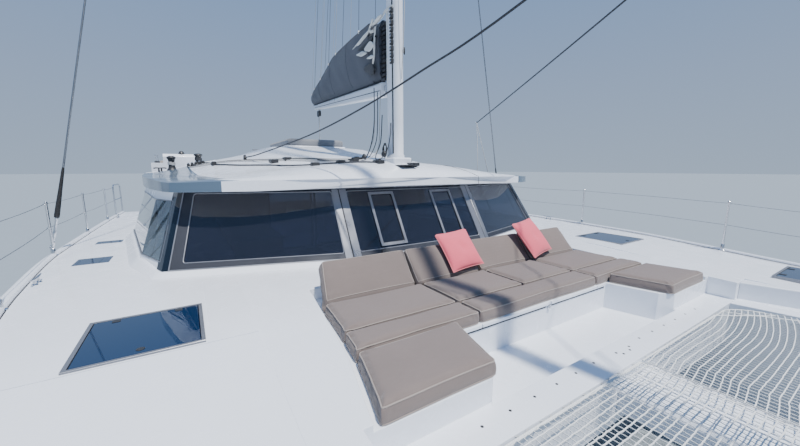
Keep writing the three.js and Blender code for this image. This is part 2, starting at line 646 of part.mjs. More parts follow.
function furledGenoa() {
  const head = [mastX(STAY.headZ) + 150, 0, STAY.headZ];
  const [a, b] = [vec(STAY.foot), vec(head)];
  const axis = b.clone().sub(a);
  const length = axis.length();
  // radius, then distance up the stay
  const outline = [[0, 0], [12, 0], [12, 260], [95, 262], [95, 400], [45, 404], [45, 520], [82, 900], [92, 3000],
    [70, 9000], [44, length - 1500], [12, length - 1200], [12, length], [0, length]];
  const geometry = new THREE.LatheGeometry(outline.map(([r, h]) => new THREE.Vector2(r, h)), 8);
  geometry.applyQuaternion(new THREE.Quaternion().setFromUnitVectors(Y, axis.normalize()));
  geometry.translate(...STAY.foot);
  const face = mastX(STAY.headZ) + 135 + GAP + 0.4;
  return join(
    solid(geometry),
    box([6280, 6330], [-12, 12], [BEAM_Z + BEAM_R - 2 + GAP, 1690]),
    box([face, face + 45], [-15, 15], [STAY.headZ - 20, STAY.headZ + 20]),
  );
}

// The boom and the bag on it are made along -X from the gooseneck, then swung.
function boomRing(x, z, depth) {
  return [[40, 0], [65, 0.15], [65, 0.8], [35, 1], [-35, 1], [-65, 0.8], [-65, 0.15], [-40, 0]]
    .map(([y, f]) => [x, y, z - 115 + f * depth]);
}

function boom() {
  return join(
    loft([boomRing(-95, 0, BOOM_DEPTH[0]), boomRing(-BOOM_LENGTH, BOOM_RISE, BOOM_DEPTH[1])]),
    box([-130, 0], [-18, 18], [-38, 38]),
    rod([0, 0, -46.6], [0, 0, 46.6], 24, 12),
  );
}

function sailBag() {
  // distance aft, half width of the belly, height of the bag
  const rows = [[110, 100, 840], [500, 150, 805], [1300, 170, 790], [2500, 172, 755], [3350, 168, 605], [4200, 160, 460],
    [4900, 148, 360], [5440, 130, 255]];
  const top = BOOM_DEPTH.map((depth, end) => depth - 115 + end * BOOM_RISE);
  return loft(rows.map(([aft, half, height]) => {
    const x = -aft;
    const base = mix(...top, (aft - 95) / (BOOM_LENGTH - 95)) + GAP;
    return [[45, 0], [half * 0.72, 0.2], [half, 0.62], [half * 0.78, 1], [-half * 0.78, 1],
      [-half, 0.62], [-half * 0.72, 0.2], [-45, 0]].map(([y, f]) => [x, y, base + f * height]);
  }));
}

function rig() {
  piece("mast", mast(), "alloy");
  for (const [name, side] of Object.entries(SIDES)) piece("shroud_" + name, shroud(side), "steel");
  piece("genoa_furled", furledGenoa(), "sailcloth");
  const swing = new THREE.Group();
  swing.position.set(...GOOSENECK);
  swing.rotation.z = BOOM_SWING;
  boat.add(swing);
  piece("boom", boom(), "alloy", swing);
  piece("sail_bag", sailBag(), "canvas", swing);
}

// Forward lounge

// A cushion over four corners (x, y), with its upper edges eased: a slab under a smaller one.
function cushion(corners, [z0, z1], ease = 18) {
  const middle = [0, 1].map((k) => corners.reduce((sum, corner) => sum + corner[k] / corners.length, 0));
  const ring = (inset, z) => corners.map((corner) => [
    ...corner.map((value, k) => value + inset * Math.sign(middle[k] - value)), z,
  ]);
  return loft([ring(0, z0), ring(0, z1 - ease), ring(ease, z1)]);
}

// A cushion of the lounge between two places along it and two across it, kept inside the lounge's side.
function loungeCushion(x, y) {
  const half = SEAM / 2;
  const corner = (i, j) => {
    const side = tableAt(LOUNGE_SIDES, x[i], "cushion");
    return [x[i], Math.max(-side, Math.min(side, y[j] + (j ? -half : half)))];
  };
  return cushion([corner(0, 0), corner(1, 0), corner(1, 1), corner(0, 1)], [SEAT_BASE_Z + GAP, CUSHION_TOP]);
}

function lounge() {
  const half = SEAM / 2;
  const base = SEAT_BASE_Z + GAP;
  const seats = [-BEYOND, -725, 40, 770, BEYOND];
  for (let i = 0; i < 4; i++)
    piece("seat_cushion_" + (i + 1), loungeCushion([LOUNGE_AFT_X, STRIP_X - half], [seats[i], seats[i + 1]]), "taupe");
  const strips = [-BEYOND, -725, 770, BEYOND];
  for (let i = 0; i < 3; i++)
    piece("seat_strip_" + (i + 1),
      loungeCushion([STRIP_X + half, LOUNGE_FORE_X - half], [strips[i], strips[i + 1]]), "taupe");
  for (const [name, side] of Object.entries(SIDES)) {
    const [aft, fore] = [LOUNGE_FORE_X + half, OTTOMAN_FORE_X];
    const corners = [[aft, OTTOMAN_IN.aft], [fore, OTTOMAN_IN.fore],
      [fore, tableAt(LOUNGE_SIDES, fore, "cushion")], [aft, tableAt(LOUNGE_SIDES, aft, "cushion")]];
    piece("ottoman_" + name, cushion(corners.map(([x, y]) => [x, side * y]), [base, CUSHION_TOP]), "taupe");
  }
  const backs = [
    // distances from the centreline at the foot and at the head
    [-1622, -1556],
    [-770, -770],
    [0, 0],
    [770, 770],
    [1622, 1556],
  ];
  const [footX, footZ] = BACK_FOOT;
  const [headX, headZ] = BACK_HEAD;
  for (let i = 0; i < 4; i++) {
    const section = (foot, head) => [
      [footX, foot, base], [footX, foot, footZ], [headX, head, headZ], [headX - 78, head, headZ - 63],
      [footX - 75, foot, footZ - 68], [footX - 60, foot, base],
    ];
    const [[foot0, head0], [foot1, head1]] = [backs[i], backs[i + 1]];
    piece("backrest_" + (i + 1),
      loft([section(foot0 + half, head0 + half), section(foot1 - half, head1 - half)]), "taupe");
  }
  pillows();
}

// Loose pillows that lean on the backrests. The far corner of a turned one stays against them.
const PILLOWS = [
  // y of the port edge, side, tilt in its own plane and turn in plan, in degrees
  { edge: 25, side: 420, tilt: 4, turn: 0 },
  { edge: 1125, side: 450, tilt: 5, turn: 9 },
];
const PILLOW_T = 110;

function pillows() {
  const lean = Math.atan2(BACK_FOOT[0] - BACK_HEAD[0], BACK_HEAD[1] - BACK_FOOT[1]);
  PILLOWS.forEach(({ edge, side, tilt, turn }, i) => {
    const half = side / 2;
    const angle = THREE.MathUtils.degToRad(tilt);
    const turned = new THREE.Group();
    turned.position.set(BACK_FOOT[0] + 0.4, edge, BACK_FOOT[1] + 0.4);
    turned.rotation.z = THREE.MathUtils.degToRad(turn);
    boat.add(turned);
    const leaning = new THREE.Group();
    leaning.rotation.y = -lean;
    turned.add(leaning);
    const tilted = new THREE.Group();
    const [drawn, belly] = [0.9, 0.8]; // width of the end rows, height of the widest row
    tilted.position.set(0, -half * (Math.cos(angle) + belly * Math.sin(angle)),
      half * (Math.cos(angle) + drawn * Math.sin(angle)));
    tilted.rotation.x = angle;
    leaning.add(tilted);
    const rows = [[-half, drawn], [-half * belly, 1], [half * belly, 1], [half, drawn]];
    piece("pillow_" + (i + 1), loft(rows.map(([z, k]) => [
      [0, -half * k], [PILLOW_T, -half * 0.6], [PILLOW_T, half * 0.6], [0, half * k],
    ].map(([x, across]) => [x, across, z]))), "coral", tilted);
  });
}

// Helm, cockpit and saloon

function helm() {
  const platform = box([HELM.aft + 50, HELM.fore - 60], [-HELM.inner, -HELM.outer], [DECK_Z + GAP, HELM.floorZ]);
  const pod = profile([[-3560, 2140], [-3310, 2140], [-3310, 3060], [-3360, 3110], [-3480, 3110], [-3560, 2990]],
    -2750, -2230);
  const coaming = box([-3560, -3310], [-2940, -2050], [2140, 2940]);
  piece("helm_station", join(platform, pod, coaming), "gelcoat");
  const seat = profile([[-4560, HELM.floorZ + GAP], [-4100, HELM.floorZ + GAP], [-4060, 2640], [-4420, 2640],
    [-4500, 3020], [-4600, 3020]], -2880, -2060);
  piece("helm_seat", seat, "canvas");
  const rim = new THREE.TorusGeometry(WHEEL.r, 14, 6, 20).rotateY(Math.PI / 2).translate(...WHEEL.at);
  const [x, y, z] = WHEEL.at;
  const spokes = [90, 210, 330].map((deg) => {
    const turn = THREE.MathUtils.degToRad(deg);
    return rod(WHEEL.at, [x, y + WHEEL.r * Math.cos(turn), z + WHEEL.r * Math.sin(turn)], 9);
  });
  piece("helm_wheel", join(solid(rim), ...spokes, rod([x - 30, y, z], [-3560 - GAP, y, z], 36, 12)), "steel");
}

function cockpit() {
  const bench = profile([[-5790, FLOOR_Z + GAP], [-5150, FLOOR_Z + GAP], [-5120, 1430], [-5600, 1430], [-5660, 1850],
    [-5790, 1850]], -1350, 1350);
  const side = box([-5160, -3700], [1500, 2090], [FLOOR_Z + GAP, 1430]);
  const sideJoin = box([-5400, -5100], [1200, 2090], [FLOOR_Z + GAP, 1430]);
  piece("cockpit_bench", join(bench, side, sideJoin), "taupe");
  const [tx, ty] = [-4450, 700];
  piece("cockpit_table", join(
    box([tx - 400, tx + 400], [ty - 420, ty + 420], [1700, 1735]),
    rod([tx, ty, FLOOR_Z + GAP], [tx, ty, 1710], 60, 10),
    rod([tx, ty, FLOOR_Z + GAP], [tx, ty, FLOOR_Z + 20], 220, 12),
  ), "joinery");
}

function saloon() {
  const base = FLOOR_Z + GAP;
  piece("saloon_settee", join(
    box([-150, 650], [100, 1990], [base, 1430]),
    box([-2000, 650], [1300, 1990], [base, 1430]),
    box([520, 690], [100, 1990], [base, 1800]),
    box([-2000, 650], [1850, 1990], [base, 1800]),
  ), "taupe");
  piece("galley", join(
    box([-2700, -200], [-1990, -1350], [base, 1900]),
    box([-200, 500], [-1990, -900], [base, 1700]),
  ), "joinery");
}

// Under water

function rudder(side) {
  const blade = [
    // leading x, trailing x, half thickness, z
    [150, -420, 32, RUDDER.topZ - GAP], [110, -330, 24, -900], [50, -220, 14, RUDDER.tipZ],
  ];
  const section = ([lead, trail, half, z]) => [[lead, 0], [mix(lead, trail, 0.15), half * 0.8],
    [mix(lead, trail, 0.35), half], [trail, 3], [trail, -3], [mix(lead, trail, 0.35), -half],
    [mix(lead, trail, 0.15), -half * 0.8]].map(([x, y]) => [RUDDER.x + x, side * RUDDER.y + y, z]);
  return join(
    loft(blade.map(section)),
    rod([RUDDER.x, side * RUDDER.y, RUDDER.topZ - 60], [RUDDER.x, side * RUDDER.y, -40.5], RUDDER.stockR, 12),
  );
}

function saildrive(side) {
  const [x, y] = [DRIVE.x, side * DRIVE.y];
  const leg = [[-520 - GAP, 210, 85], [-620, 150, 60], [DRIVE.shaftZ, 120, 50]];
  const ring = ([z, long, half]) => [[long, 0], [long * 0.4, half], [-long * 0.5, half], [-long, 0],
    [-long * 0.5, -half], [long * 0.4, -half]].map(([dx, dy]) => [x + dx, y + dy, z]);
  return join(
    loft(leg.map(ring)),
    rod([x - 170, y, DRIVE.shaftZ], [x + 150, y, DRIVE.shaftZ], 68, 10),
    box([x - 90, x + 60], [y - 6, y + 6], [DRIVE.shaftZ - 170, DRIVE.shaftZ - 20]),
  );
}

function propeller(side) {
  const [x, y, z] = [DRIVE.x - 170 - 0.5, side * DRIVE.y, DRIVE.shaftZ];
  const blades = [90, 210, 330].map((deg) => {
    const blade = new THREE.BoxGeometry(78, 12, 190).rotateZ(0.6).translate(0, 0, 135);
    blade.rotateX(THREE.MathUtils.degToRad(deg - 90)).translate(x - 62, y, z);
    return solid(blade);
  });
  const hub = new THREE.CylinderGeometry(30, 52, 120, 12).rotateZ(Math.PI / 2).translate(x - 60, y, z);
  return join(solid(hub), ...blades);
}

// The whole boat

for (const [name, side] of Object.entries(SIDES)) {
  piece("hull_" + name, hull(side), "gelcoat");
  piece("toe_rail_" + name, toeRail(side), "steel");
  piece("net_" + name, net(side), "net");
  cabinSide(name, side);
  piece("rudder_" + name, rudder(side), "foil");
  piece("saildrive_" + name, saildrive(side), "foil");
  piece("propeller_" + name, propeller(side), "bronze");
  for (const [hatch, aft, fore, inner, outer, top] of HATCHES)
    piece(hatch + "_" + name, box([aft, fore], [side * inner, side * outer], [top - HATCH_T, top]), "glass");
}
piece("bridgedeck", bridgedeck(), "gelcoat");
piece("forebeam", forebeam(), "alloy");
piece("spine", spine(), "gelcoat");
cabinFront();
piece("roof", roof(), "gelcoat");
piece("aft_bulkhead", aftBulkhead(), "gelcoat");
const glassX = [BULKHEAD_X - 40, BULKHEAD_X - 25];
piece("aft_glass", box(glassX, [30, 950 - GAP], [DOOR.low + 15 + GAP, DOOR.high - 15 - GAP]), "glass");
const doorX = [BULKHEAD_X - BULKHEAD_T - 36, BULKHEAD_X - BULKHEAD_T - 6];
piece("saloon_door", box(doorX, DOOR.y, [DOOR.low, DOOR.high]), "glass");
rig();
lounge();
helm();
cockpit();
saloon();
piece("roof_sunpad", cushion([[-4430, -620], [-2670, -620], [-2670, 620], [-4430, 620]],
  [SUNPAD_Z + GAP, SUNPAD_Z + 150], 30), "canvas");

export default boat;
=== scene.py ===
"""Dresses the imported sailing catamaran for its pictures.

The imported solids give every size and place. Each class below builds one
sub-assembly of the boat around them, in metres and in the boat's own frame:
+X to the bows, +Y to port, +Z up, with the waterline amidships at the origin.
"""

from __future__ import annotations

import json
import logging
import math
import random
from dataclasses import dataclass, field
from enum import Enum
from typing import Callable, Iterable, Sequence

import bmesh
import bpy
import numpy as np
from mathutils import Matrix, Vector
from mathutils.bvhtree import BVHTree

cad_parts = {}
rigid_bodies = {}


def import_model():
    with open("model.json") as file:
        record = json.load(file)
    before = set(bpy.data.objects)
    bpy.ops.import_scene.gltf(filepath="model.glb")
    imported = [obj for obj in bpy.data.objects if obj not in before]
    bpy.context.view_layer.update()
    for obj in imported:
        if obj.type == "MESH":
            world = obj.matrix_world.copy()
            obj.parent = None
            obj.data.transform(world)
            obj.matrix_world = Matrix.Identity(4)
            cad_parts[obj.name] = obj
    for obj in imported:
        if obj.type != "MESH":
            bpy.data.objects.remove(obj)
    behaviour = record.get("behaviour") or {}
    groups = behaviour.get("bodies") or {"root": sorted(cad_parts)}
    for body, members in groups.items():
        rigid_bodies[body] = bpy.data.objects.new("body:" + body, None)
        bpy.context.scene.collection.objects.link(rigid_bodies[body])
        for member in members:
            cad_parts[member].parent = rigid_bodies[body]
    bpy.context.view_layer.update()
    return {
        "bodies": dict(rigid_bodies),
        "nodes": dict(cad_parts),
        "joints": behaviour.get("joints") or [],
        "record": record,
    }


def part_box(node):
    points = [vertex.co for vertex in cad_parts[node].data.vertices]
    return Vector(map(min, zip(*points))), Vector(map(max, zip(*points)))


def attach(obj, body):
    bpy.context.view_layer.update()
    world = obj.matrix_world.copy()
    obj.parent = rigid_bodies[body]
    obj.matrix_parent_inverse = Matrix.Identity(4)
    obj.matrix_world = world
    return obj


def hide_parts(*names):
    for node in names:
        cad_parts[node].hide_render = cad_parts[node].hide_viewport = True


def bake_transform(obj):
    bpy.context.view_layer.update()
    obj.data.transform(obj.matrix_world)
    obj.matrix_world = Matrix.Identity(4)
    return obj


LOG = logging.getLogger("catamaran")

Point = Sequence[float]
Ring = Sequence[Point]
Piece = bpy.types.Object

DECK_Z = 1.85
SEAT_Z = 1.7503
CUSHION_TOP = 1.8453
LEDGE_Z = 1.61
BEAM = Vector((6.25, 0.0, 1.495))
GOOSENECK = Vector((0.345, 0.0, 3.92))
BOOM_REST = math.radians(-8.5)
MAST_RAKE = math.tan(math.radians(0.8))


class Side(Enum):
    """The two sides of the boat, with the sign of Y on each."""

    PORT = 1
    STARBOARD = -1

    @property
    def label(self) -> str:
        """The side's name as it stands in the names of pieces."""
        return self.name.lower()


def mix(a: float, b: float, t: float) -> float:
    """The value a part t of the way from a to b."""
    return a + (b - a) * t


class Fairing:
    """A table of values along the boat, faired into smooth monotone curves."""

    def __init__(self, rows: Sequence[Sequence[float]]) -> None:
        """Fairs a table.

        Args:
            rows: The station first, then its values, in rising order.
        """
        table = np.array(rows, float)
        self.x, self.y = table[:, 0], table[:, 1:]
        step = np.diff(self.x)[:, None]
        rise = np.diff(self.y, axis=0) / step
        slope = np.zeros_like(self.y)
        slope[0], slope[-1] = rise[0], rise[-1]
        a, b = rise[:-1], rise[1:]
        safe = np.where(np.abs(a + b) < 1e-12, 1.0, a + b)
        slope[1:-1] = np.where(a * b > 0, 2 * a * b / safe, 0.0)
        self.slope = slope

    def at(self, x: float) -> np.ndarray:
        """The values at one station."""
        i = int(np.clip(np.searchsorted(self.x, x) - 1, 0, len(self.x) - 2))
        h = self.x[i + 1] - self.x[i]
        t = float(np.clip((x - self.x[i]) / h, 0.0, 1.0))
        low, high = (1 + 2 * t) * (1 - t) ** 2, t * t * (3 - 2 * t)
        start, end = t * (1 - t) ** 2 * h, t * t * (t - 1) * h
        return low * self.y[i] + high * self.y[i + 1] + start * self.slope[i] + end * self.slope[i + 1]


def curve_through(points: Sequence[Point], steps: int = 6) -> list[Vector]:
    """A smooth run of points through the given ones.

    Args:
        points: The points that the run passes through.
        steps: How many points each span gets.

    Returns:
        The points of the run, its two ends included.
    """
    p = [Vector(q) for q in points]
    p = [p[0] * 2 - p[1], *p, p[-1] * 2 - p[-2]]
    run = []
    for a, b, c, d in zip(p, p[1:], p[2:], p[3:]):
        for k in range(steps):
            t = k / steps
            run.append(0.5 * (2 * b + (c - a) * t + (2 * a - 5 * b + 4 * c - d) * t * t
                              + (3 * b - a - 3 * c + d) * t ** 3))
    return [*run, p[-2]]


class Bench:
    """The modelling steps that the sub-assemblies share, one piece at a time."""

    @staticmethod
    def clear() -> None:
        """Leaves edit mode with nothing selected."""
        held = bpy.context.object
        if held is not None and held.mode != "OBJECT":
            bpy.ops.object.mode_set(mode="OBJECT")
        bpy.ops.object.select_all(action="DESELECT")

    @staticmethod
    def pick(piece: Piece) -> None:
        """Selects one piece alone and makes it the active one."""
        Bench.clear()
        piece.select_set(True)
        bpy.context.view_layer.objects.active = piece

    @staticmethod
    def edit(piece: Piece, mode: str = "VERT", whole: bool = True) -> bmesh.types.BMesh:
        """Opens a piece in edit mode.

        Args:
            piece: The piece to work on.
            mode: VERT, EDGE or FACE.
            whole: Whether all of it starts selected.

        Returns:
            Its mesh under edit.
        """
        Bench.pick(piece)
        bpy.ops.object.mode_set(mode="EDIT")
        bpy.ops.mesh.select_mode(type=mode)
        bpy.ops.mesh.select_all(action="SELECT" if whole else "DESELECT")
        return bmesh.from_edit_mesh(piece.data)

    @staticmethod
    def settle(piece: Piece, angle: float = 35.0, outward: bool = True) -> Piece:
        """Closes a piece's seams, turns its faces out and smooths it up to an angle.

        Args:
            piece: The piece to finish.
            angle: Edges sharper than this, in degrees, stay crisp.
            outward: False for an open sheet, whose faces stay as they are.

        Returns:
            The same piece, in object mode, its place kept in its mesh.
        """
        Bench.edit(piece)
        bpy.ops.mesh.remove_doubles(threshold=1e-5)
        if outward:
            bpy.ops.mesh.normals_make_consistent(inside=False)
        bpy.ops.object.mode_set(mode="OBJECT")
        bpy.ops.object.transform_apply(location=True, rotation=True, scale=True)
        bpy.ops.object.shade_smooth_by_angle(angle=math.radians(angle))
        Bench.clear()
        return piece

    @staticmethod
    def apply(piece: Piece, kind: str, **settings: object) -> Piece:
        """Adds a modifier with these settings and applies it."""
        Bench.pick(piece)
        modifier = piece.modifiers.new(kind.title(), kind)
        for name, value in settings.items():
            setattr(modifier, name, value)
        bpy.ops.object.modifier_apply(modifier=modifier.name)
        Bench.clear()
        return piece

    @staticmethod
    def bevelled(piece: Piece, width: float, segments: int = 2, angle: float = 32.0) -> Piece:
        """Rounds every edge sharper than an angle, as a mould or a machine leaves it."""
        Bench.apply(piece, "BEVEL", width=width, segments=segments, limit_method="ANGLE",
                    angle_limit=math.radians(angle), use_clamp_overlap=True)
        return Bench.settle(piece)

    @staticmethod
    def loft(name: str, rings: Sequence[Ring], ends: bool = True, angle: float = 35.0) -> Piece:
        """A skin extruded from one ring of points to the next.

        Args:
            name: The piece's name.
            rings: Rings of equal count, in order along the piece.
            ends: Whether its two ends are closed.
            angle: The smoothing angle.

        Returns:
            The finished piece.
        """
        Bench.clear()
        bpy.ops.mesh.primitive_circle_add(vertices=len(rings[0]), radius=1.0,
                                          fill_type="NGON" if ends else "NOTHING")
        piece = bpy.context.object
        piece.name = piece.data.name = name
        shell = Bench.edit(piece)
        shell.verts.ensure_lookup_table()
        row = list(shell.verts)
        for vert, place in zip(row, rings[0]):
            vert.co = place
        for ring in rings[1:]:
            bpy.ops.mesh.extrude_region_move()
            row = [next(e.other_vert(v) for e in v.link_edges if e.other_vert(v).select) for v in row]
            for vert, place in zip(row, ring):
                vert.co = place
        bmesh.update_edit_mesh(piece.data)
        return Bench.settle(piece, angle, ends)

    @staticmethod
    def prism(name: str, outline: Ring, low: float, high: float, axes: str = "xyz",
              bevel: float = 0.0, segments: int = 2) -> Piece:
        """An outline drawn up into a solid.

        Args:
            name: The piece's name.
            outline: Points across the solid.
            low: Where it starts along its length.
            high: Where it ends.
            axes: The outline's two axes, then the one that it is drawn along.
            bevel: The radius left on its edges.
            segments: How many facets round them.

        Returns:
            The finished piece.
        """
        order = ["xyz".index(axis) for axis in axes]

        def placed(p: Point, along: float) -> list[float]:
            """One point of the outline at one end."""
            place = [0.0, 0.0, 0.0]
            for k, value in zip(order, (p[0], p[1], along)):
                place[k] = value
            return place

        piece = Bench.loft(name, [[placed(p, low) for p in outline], [placed(p, high) for p in outline]])
        return Bench.bevelled(piece, bevel, segments) if bevel else piece

    @staticmethod
    def block(name: str, x: Point, y: Point, z: Point, bevel: float = 0.004, segments: int = 2) -> Piece:
        """A machined or moulded block between two planes along each axis."""
        outline = [(x[0], y[0]), (x[1], y[0]), (x[1], y[1]), (x[0], y[1])]
        return Bench.prism(name, outline, z[0], z[1], bevel=bevel, segments=segments)

    @staticmethod
    def turned(name: str, base: Point, axis: Point, outline: Sequence[tuple[float, float]],
               sides: int = 20, angle: float = 40.0) -> Piece:
        """A turned piece.

        Args:
            name: The piece's name.
            base: Where its outline starts.
            axis: The direction of its axis.
            outline: Distance along the axis, then the radius there.
            sides: How many facets go round it.
            angle: The smoothing angle.

        Returns:
            The finished piece.
        """
        turn = Vector(axis).to_track_quat("Z", "Y").to_matrix()
        rings = []
        for along, radius in outline:
            arc = [2 * math.pi * k / sides for k in range(sides)]
            rings.append([Vector(base) + turn @ Vector((radius * math.cos(a), radius * math.sin(a), along))
                          for a in arc])
        return Bench.loft(name, rings, angle=angle)

    @staticmethod
    def tube(name: str, points: Sequence[Point], radius: float, sides: int = 2,
             closed: bool = False) -> Piece:
        """A bar, wire or rope that follows points, with its length along its own UV map.

        Args:
            name: The piece's name.
            points: The points it follows, in the boat's frame.
            radius: Half its thickness.
            sides: The bevel resolution round it.
            closed: Whether its end meets its start.

        Returns:
            The finished piece.
        """
        Bench.clear()
        bpy.ops.curve.primitive_bezier_curve_add()
        piece = bpy.context.object
        piece.name = name
        line = piece.data
        line.splines.clear()
        spline = line.splines.new("POLY")
        spline.points.add(len(points) - 1)
        for place, p in zip(spline.points, points):
            place.co = (*p, 1.0)
        spline.use_cyclic_u = closed
        line.dimensions = "3D"
        line.twist_mode = "MINIMUM"
        line.bevel_depth, line.bevel_resolution = radius, sides
        line.use_fill_caps = not closed
        bpy.ops.object.convert(target="MESH")
        length = sum((Vector(a) - Vector(b)).length for a, b in zip(points, points[1:]))
        if piece.data.uv_layers:
            for loop in piece.data.uv_layers[0].data:
                loop.uv = (loop.uv[0] * length, loop.uv[1])
        piece.data.name = name
        return Bench.settle(piece, 50.0)

    @staticmethod
    def softened(nodes: dict[str, Piece], node: str, name: str, width: float, segments: int = 2,
                 keep: Callable[[Vector], bool] | None = None) -> Piece:
        """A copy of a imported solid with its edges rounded.

        Args:
            nodes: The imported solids.
            node: The solid to copy.
            name: The new piece's name.
            width: The radius of its edges.
            segments: How many facets round them.
            keep: Tells, from an edge's middle, which edges stay crisp.

        Returns:
            The finished piece.
        """
        piece = Bench.solid_copy(nodes, node, name)
        if keep is None:
            return Bench.bevelled(piece, width, segments)
        shell = Bench.edit(piece, "EDGE", whole=False)
        for edge in shell.edges:
            middle = (edge.verts[0].co + edge.verts[1].co) / 2
            sharp = len(edge.link_faces) == 2 and edge.calc_face_angle() > math.radians(32)
            edge.select_set(sharp and not keep(middle))
        bpy.ops.mesh.bevel(offset=width, segments=segments, clamp_overlap=True)
        return Bench.settle(piece)

    @staticmethod
    def solid_copy(nodes: dict[str, Piece], node: str, name: str) -> Piece:
        """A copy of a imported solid, its loose triangles merged into clean faces."""
        source = nodes[node]
        piece = bpy.data.objects.new(name, source.data.copy())
        piece.data.name = name
        piece.data.materials.clear()
        bpy.context.scene.collection.objects.link(piece)
        Bench.edit(piece)
        bpy.ops.mesh.remove_doubles(threshold=1e-5)
        bpy.ops.mesh.customdata_custom_splitnormals_clear()
        bpy.ops.mesh.dissolve_limited(angle_limit=math.radians(0.6))
        return Bench.settle(piece)

    @staticmethod
    def cut(piece: Piece, cutters: Sequence[Piece]) -> Piece:
        """Takes the cutters' shapes out of a piece, and the cutters away."""
        for cutter in cutters:
            Bench.apply(piece, "BOOLEAN", operation="DIFFERENCE", solver="EXACT", object=cutter)
            bpy.data.objects.remove(cutter)
        return Bench.settle(piece)

    @staticmethod
    def joined(name: str, pieces: Sequence[Piece]) -> Piece:
        """Several pieces of one finish made one."""
        Bench.clear()
        for piece in pieces:
            piece.select_set(True)
        bpy.context.view_layer.objects.active = pieces[0]
        bpy.ops.object.join()
        made = bpy.context.object
        made.name = made.data.name = name
        Bench.clear()
        return made

    @staticmethod
    def resting(piece: Piece, path: Iterable[Vector], lift: float = 0.001) -> list[Vector]:
        """Lays the points of a path on the nearest skin of a piece.

        Args:
            piece: What they lie on.
            path: The points.
            lift: How far above the skin they end.

        Returns:
            The points in their new places.
        """
        skin = BVHTree.FromPolygons([v.co.copy() for v in piece.data.vertices],
                                    [tuple(face.vertices) for face in piece.data.polygons])
        found = (skin.find_nearest(Vector(p)) for p in path)
        return [place + normal * lift for place, normal, _, _ in found]

    @staticmethod
    def from_arrays(name: str, verts: np.ndarray, faces: np.ndarray, uv: np.ndarray | None = None) -> Piece:
        """A mesh of many small like parts, from arrays of its points and faces."""
        mesh = bpy.data.meshes.new(name)
        mesh.from_pydata(verts.tolist(), [], faces.tolist())
        if uv is not None:
            layer = mesh.uv_layers.new(name="UVMap")
            layer.data.foreach_set("uv", uv[faces.ravel()].astype(np.float32).ravel())
        mesh.update()
        piece = bpy.data.objects.new(name, mesh)
        bpy.context.scene.collection.objects.link(piece)
        return Bench.settle(piece, 50.0)


def round_ring(centre: Point, axis: Point, radius: float, sides: int) -> list[Vector]:
    """A ring of points round a centre, square to an axis."""
    turn = Vector(axis).to_track_quat("Z", "Y").to_matrix()
    return [Vector(centre) + turn @ Vector((radius * math.cos(a), radius * math.sin(a), 0))
            for a in (2 * math.pi * k / sides for k in range(sides))]


@dataclass
class Yard:
    """Fits finished pieces to the boat and keeps the list of them."""

    nodes: dict[str, Piece]
    fitted: list[Piece] = field(default_factory=list)

    def fit(self, piece: Piece, finish: Finish, body: str = "hull", slot: str | None = None,
            replaces: Sequence[str] = ()) -> Piece:
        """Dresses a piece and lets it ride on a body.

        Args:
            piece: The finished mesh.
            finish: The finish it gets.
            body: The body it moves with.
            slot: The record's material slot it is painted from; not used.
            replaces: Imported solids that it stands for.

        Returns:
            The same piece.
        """
        piece.data.materials.clear()
        piece.data.materials.append(finish.material())
        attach(piece, body)
        if replaces:
            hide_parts(*replaces)
        self.fitted.append(piece)
        LOG.info("%s: %d faces on %s", piece.name, len(piece.data.polygons), body)
        return piece

    def dress(self, node: str, finish: Finish) -> None:
        """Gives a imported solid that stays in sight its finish."""
        solid = self.nodes[node]
        if not solid.material_slots:
            solid.data.materials.append(None)
        for place in solid.material_slots:
            place.material = finish.material()
        LOG.info("%s: packed solid dressed", node)


Socket = bpy.types.NodeSocket
Colour = tuple[float, float, float]


def full(colour: Colour) -> tuple[float, float, float, float]:
    """A colour with its alpha."""
    return (*colour, 1.0)


class Graph:
    """A node tree that is being wired."""

    def __init__(self, tree: bpy.types.NodeTree) -> None:
        """Starts on an empty tree."""
        self.tree = tree
        self.tree.nodes.clear()

    def node(self, kind: str, feeds: dict | None = None, **settings: object) -> bpy.types.Node:
        """Adds a node.

        Args:
            kind: Its Blender type, without the ShaderNode in front.
            feeds: What goes into its sockets, by name: a socket or a value.
            settings: Its own settings.

        Returns:
            The node.
        """
        made = self.tree.nodes.new(kind if kind.startswith("Node") else "ShaderNode" + kind)
        for name, value in settings.items():
            setattr(made, name, value)
        for name, value in (feeds or {}).items():
            self.feed(made.inputs[name], value)
        return made

    def feed(self, socket: Socket, value: object) -> None:
        """Links a socket to another, or sets its value."""
        if isinstance(value, bpy.types.NodeSocket):
            self.tree.links.new(value, socket)
        else:
            socket.default_value = value

    def sum(self, operation: str, a: object, b: object = 0.0) -> Socket:
        """One step of arithmetic on two values."""
        return self.node("Math", {0: a, 1: b}, operation=operation).outputs[0]

    def blend(self, share: object, a: object, b: object) -> Socket:
        """A mix of two colours."""
        made = self.node("Mix", {0: share, 6: a, 7: b}, data_type="RGBA")
        return made.outputs[2]

    def apart(self, vector: Socket) -> list[Socket]:
        """The three parts of a vector."""
        return list(self.node("SeparateXYZ", {0: vector}).outputs)

    def shared(self, effect: Effect, **feeds: object) -> bpy.types.Node:
        """Places one of the shared effects, with its own values."""
        made = self.node("Group", node_tree=effect.tree())
        for name, value in feeds.items():
            self.feed(made.inputs[name.replace("_", " ").title()], value)
        return made


class Effect(Enum):
    """The surface effects that more than one finish uses, each a node group built once."""

    MOTTLE = "soft cloudy variation"
    WEAVE = "woven threads"
    TWIST = "laid strands"
    STREAK = "runs and brushing along one axis"

    def tree(self) -> bpy.types.NodeTree:
        """The effect's node group."""
        found = bpy.data.node_groups.get(self.value)
        if found is None:
            found = bpy.data.node_groups.new(self.value, "ShaderNodeTree")
            {Effect.MOTTLE: mottle_effect, Effect.WEAVE: weave_effect, Effect.TWIST: twist_effect,
             Effect.STREAK: streak_effect}[self](found)
        return found


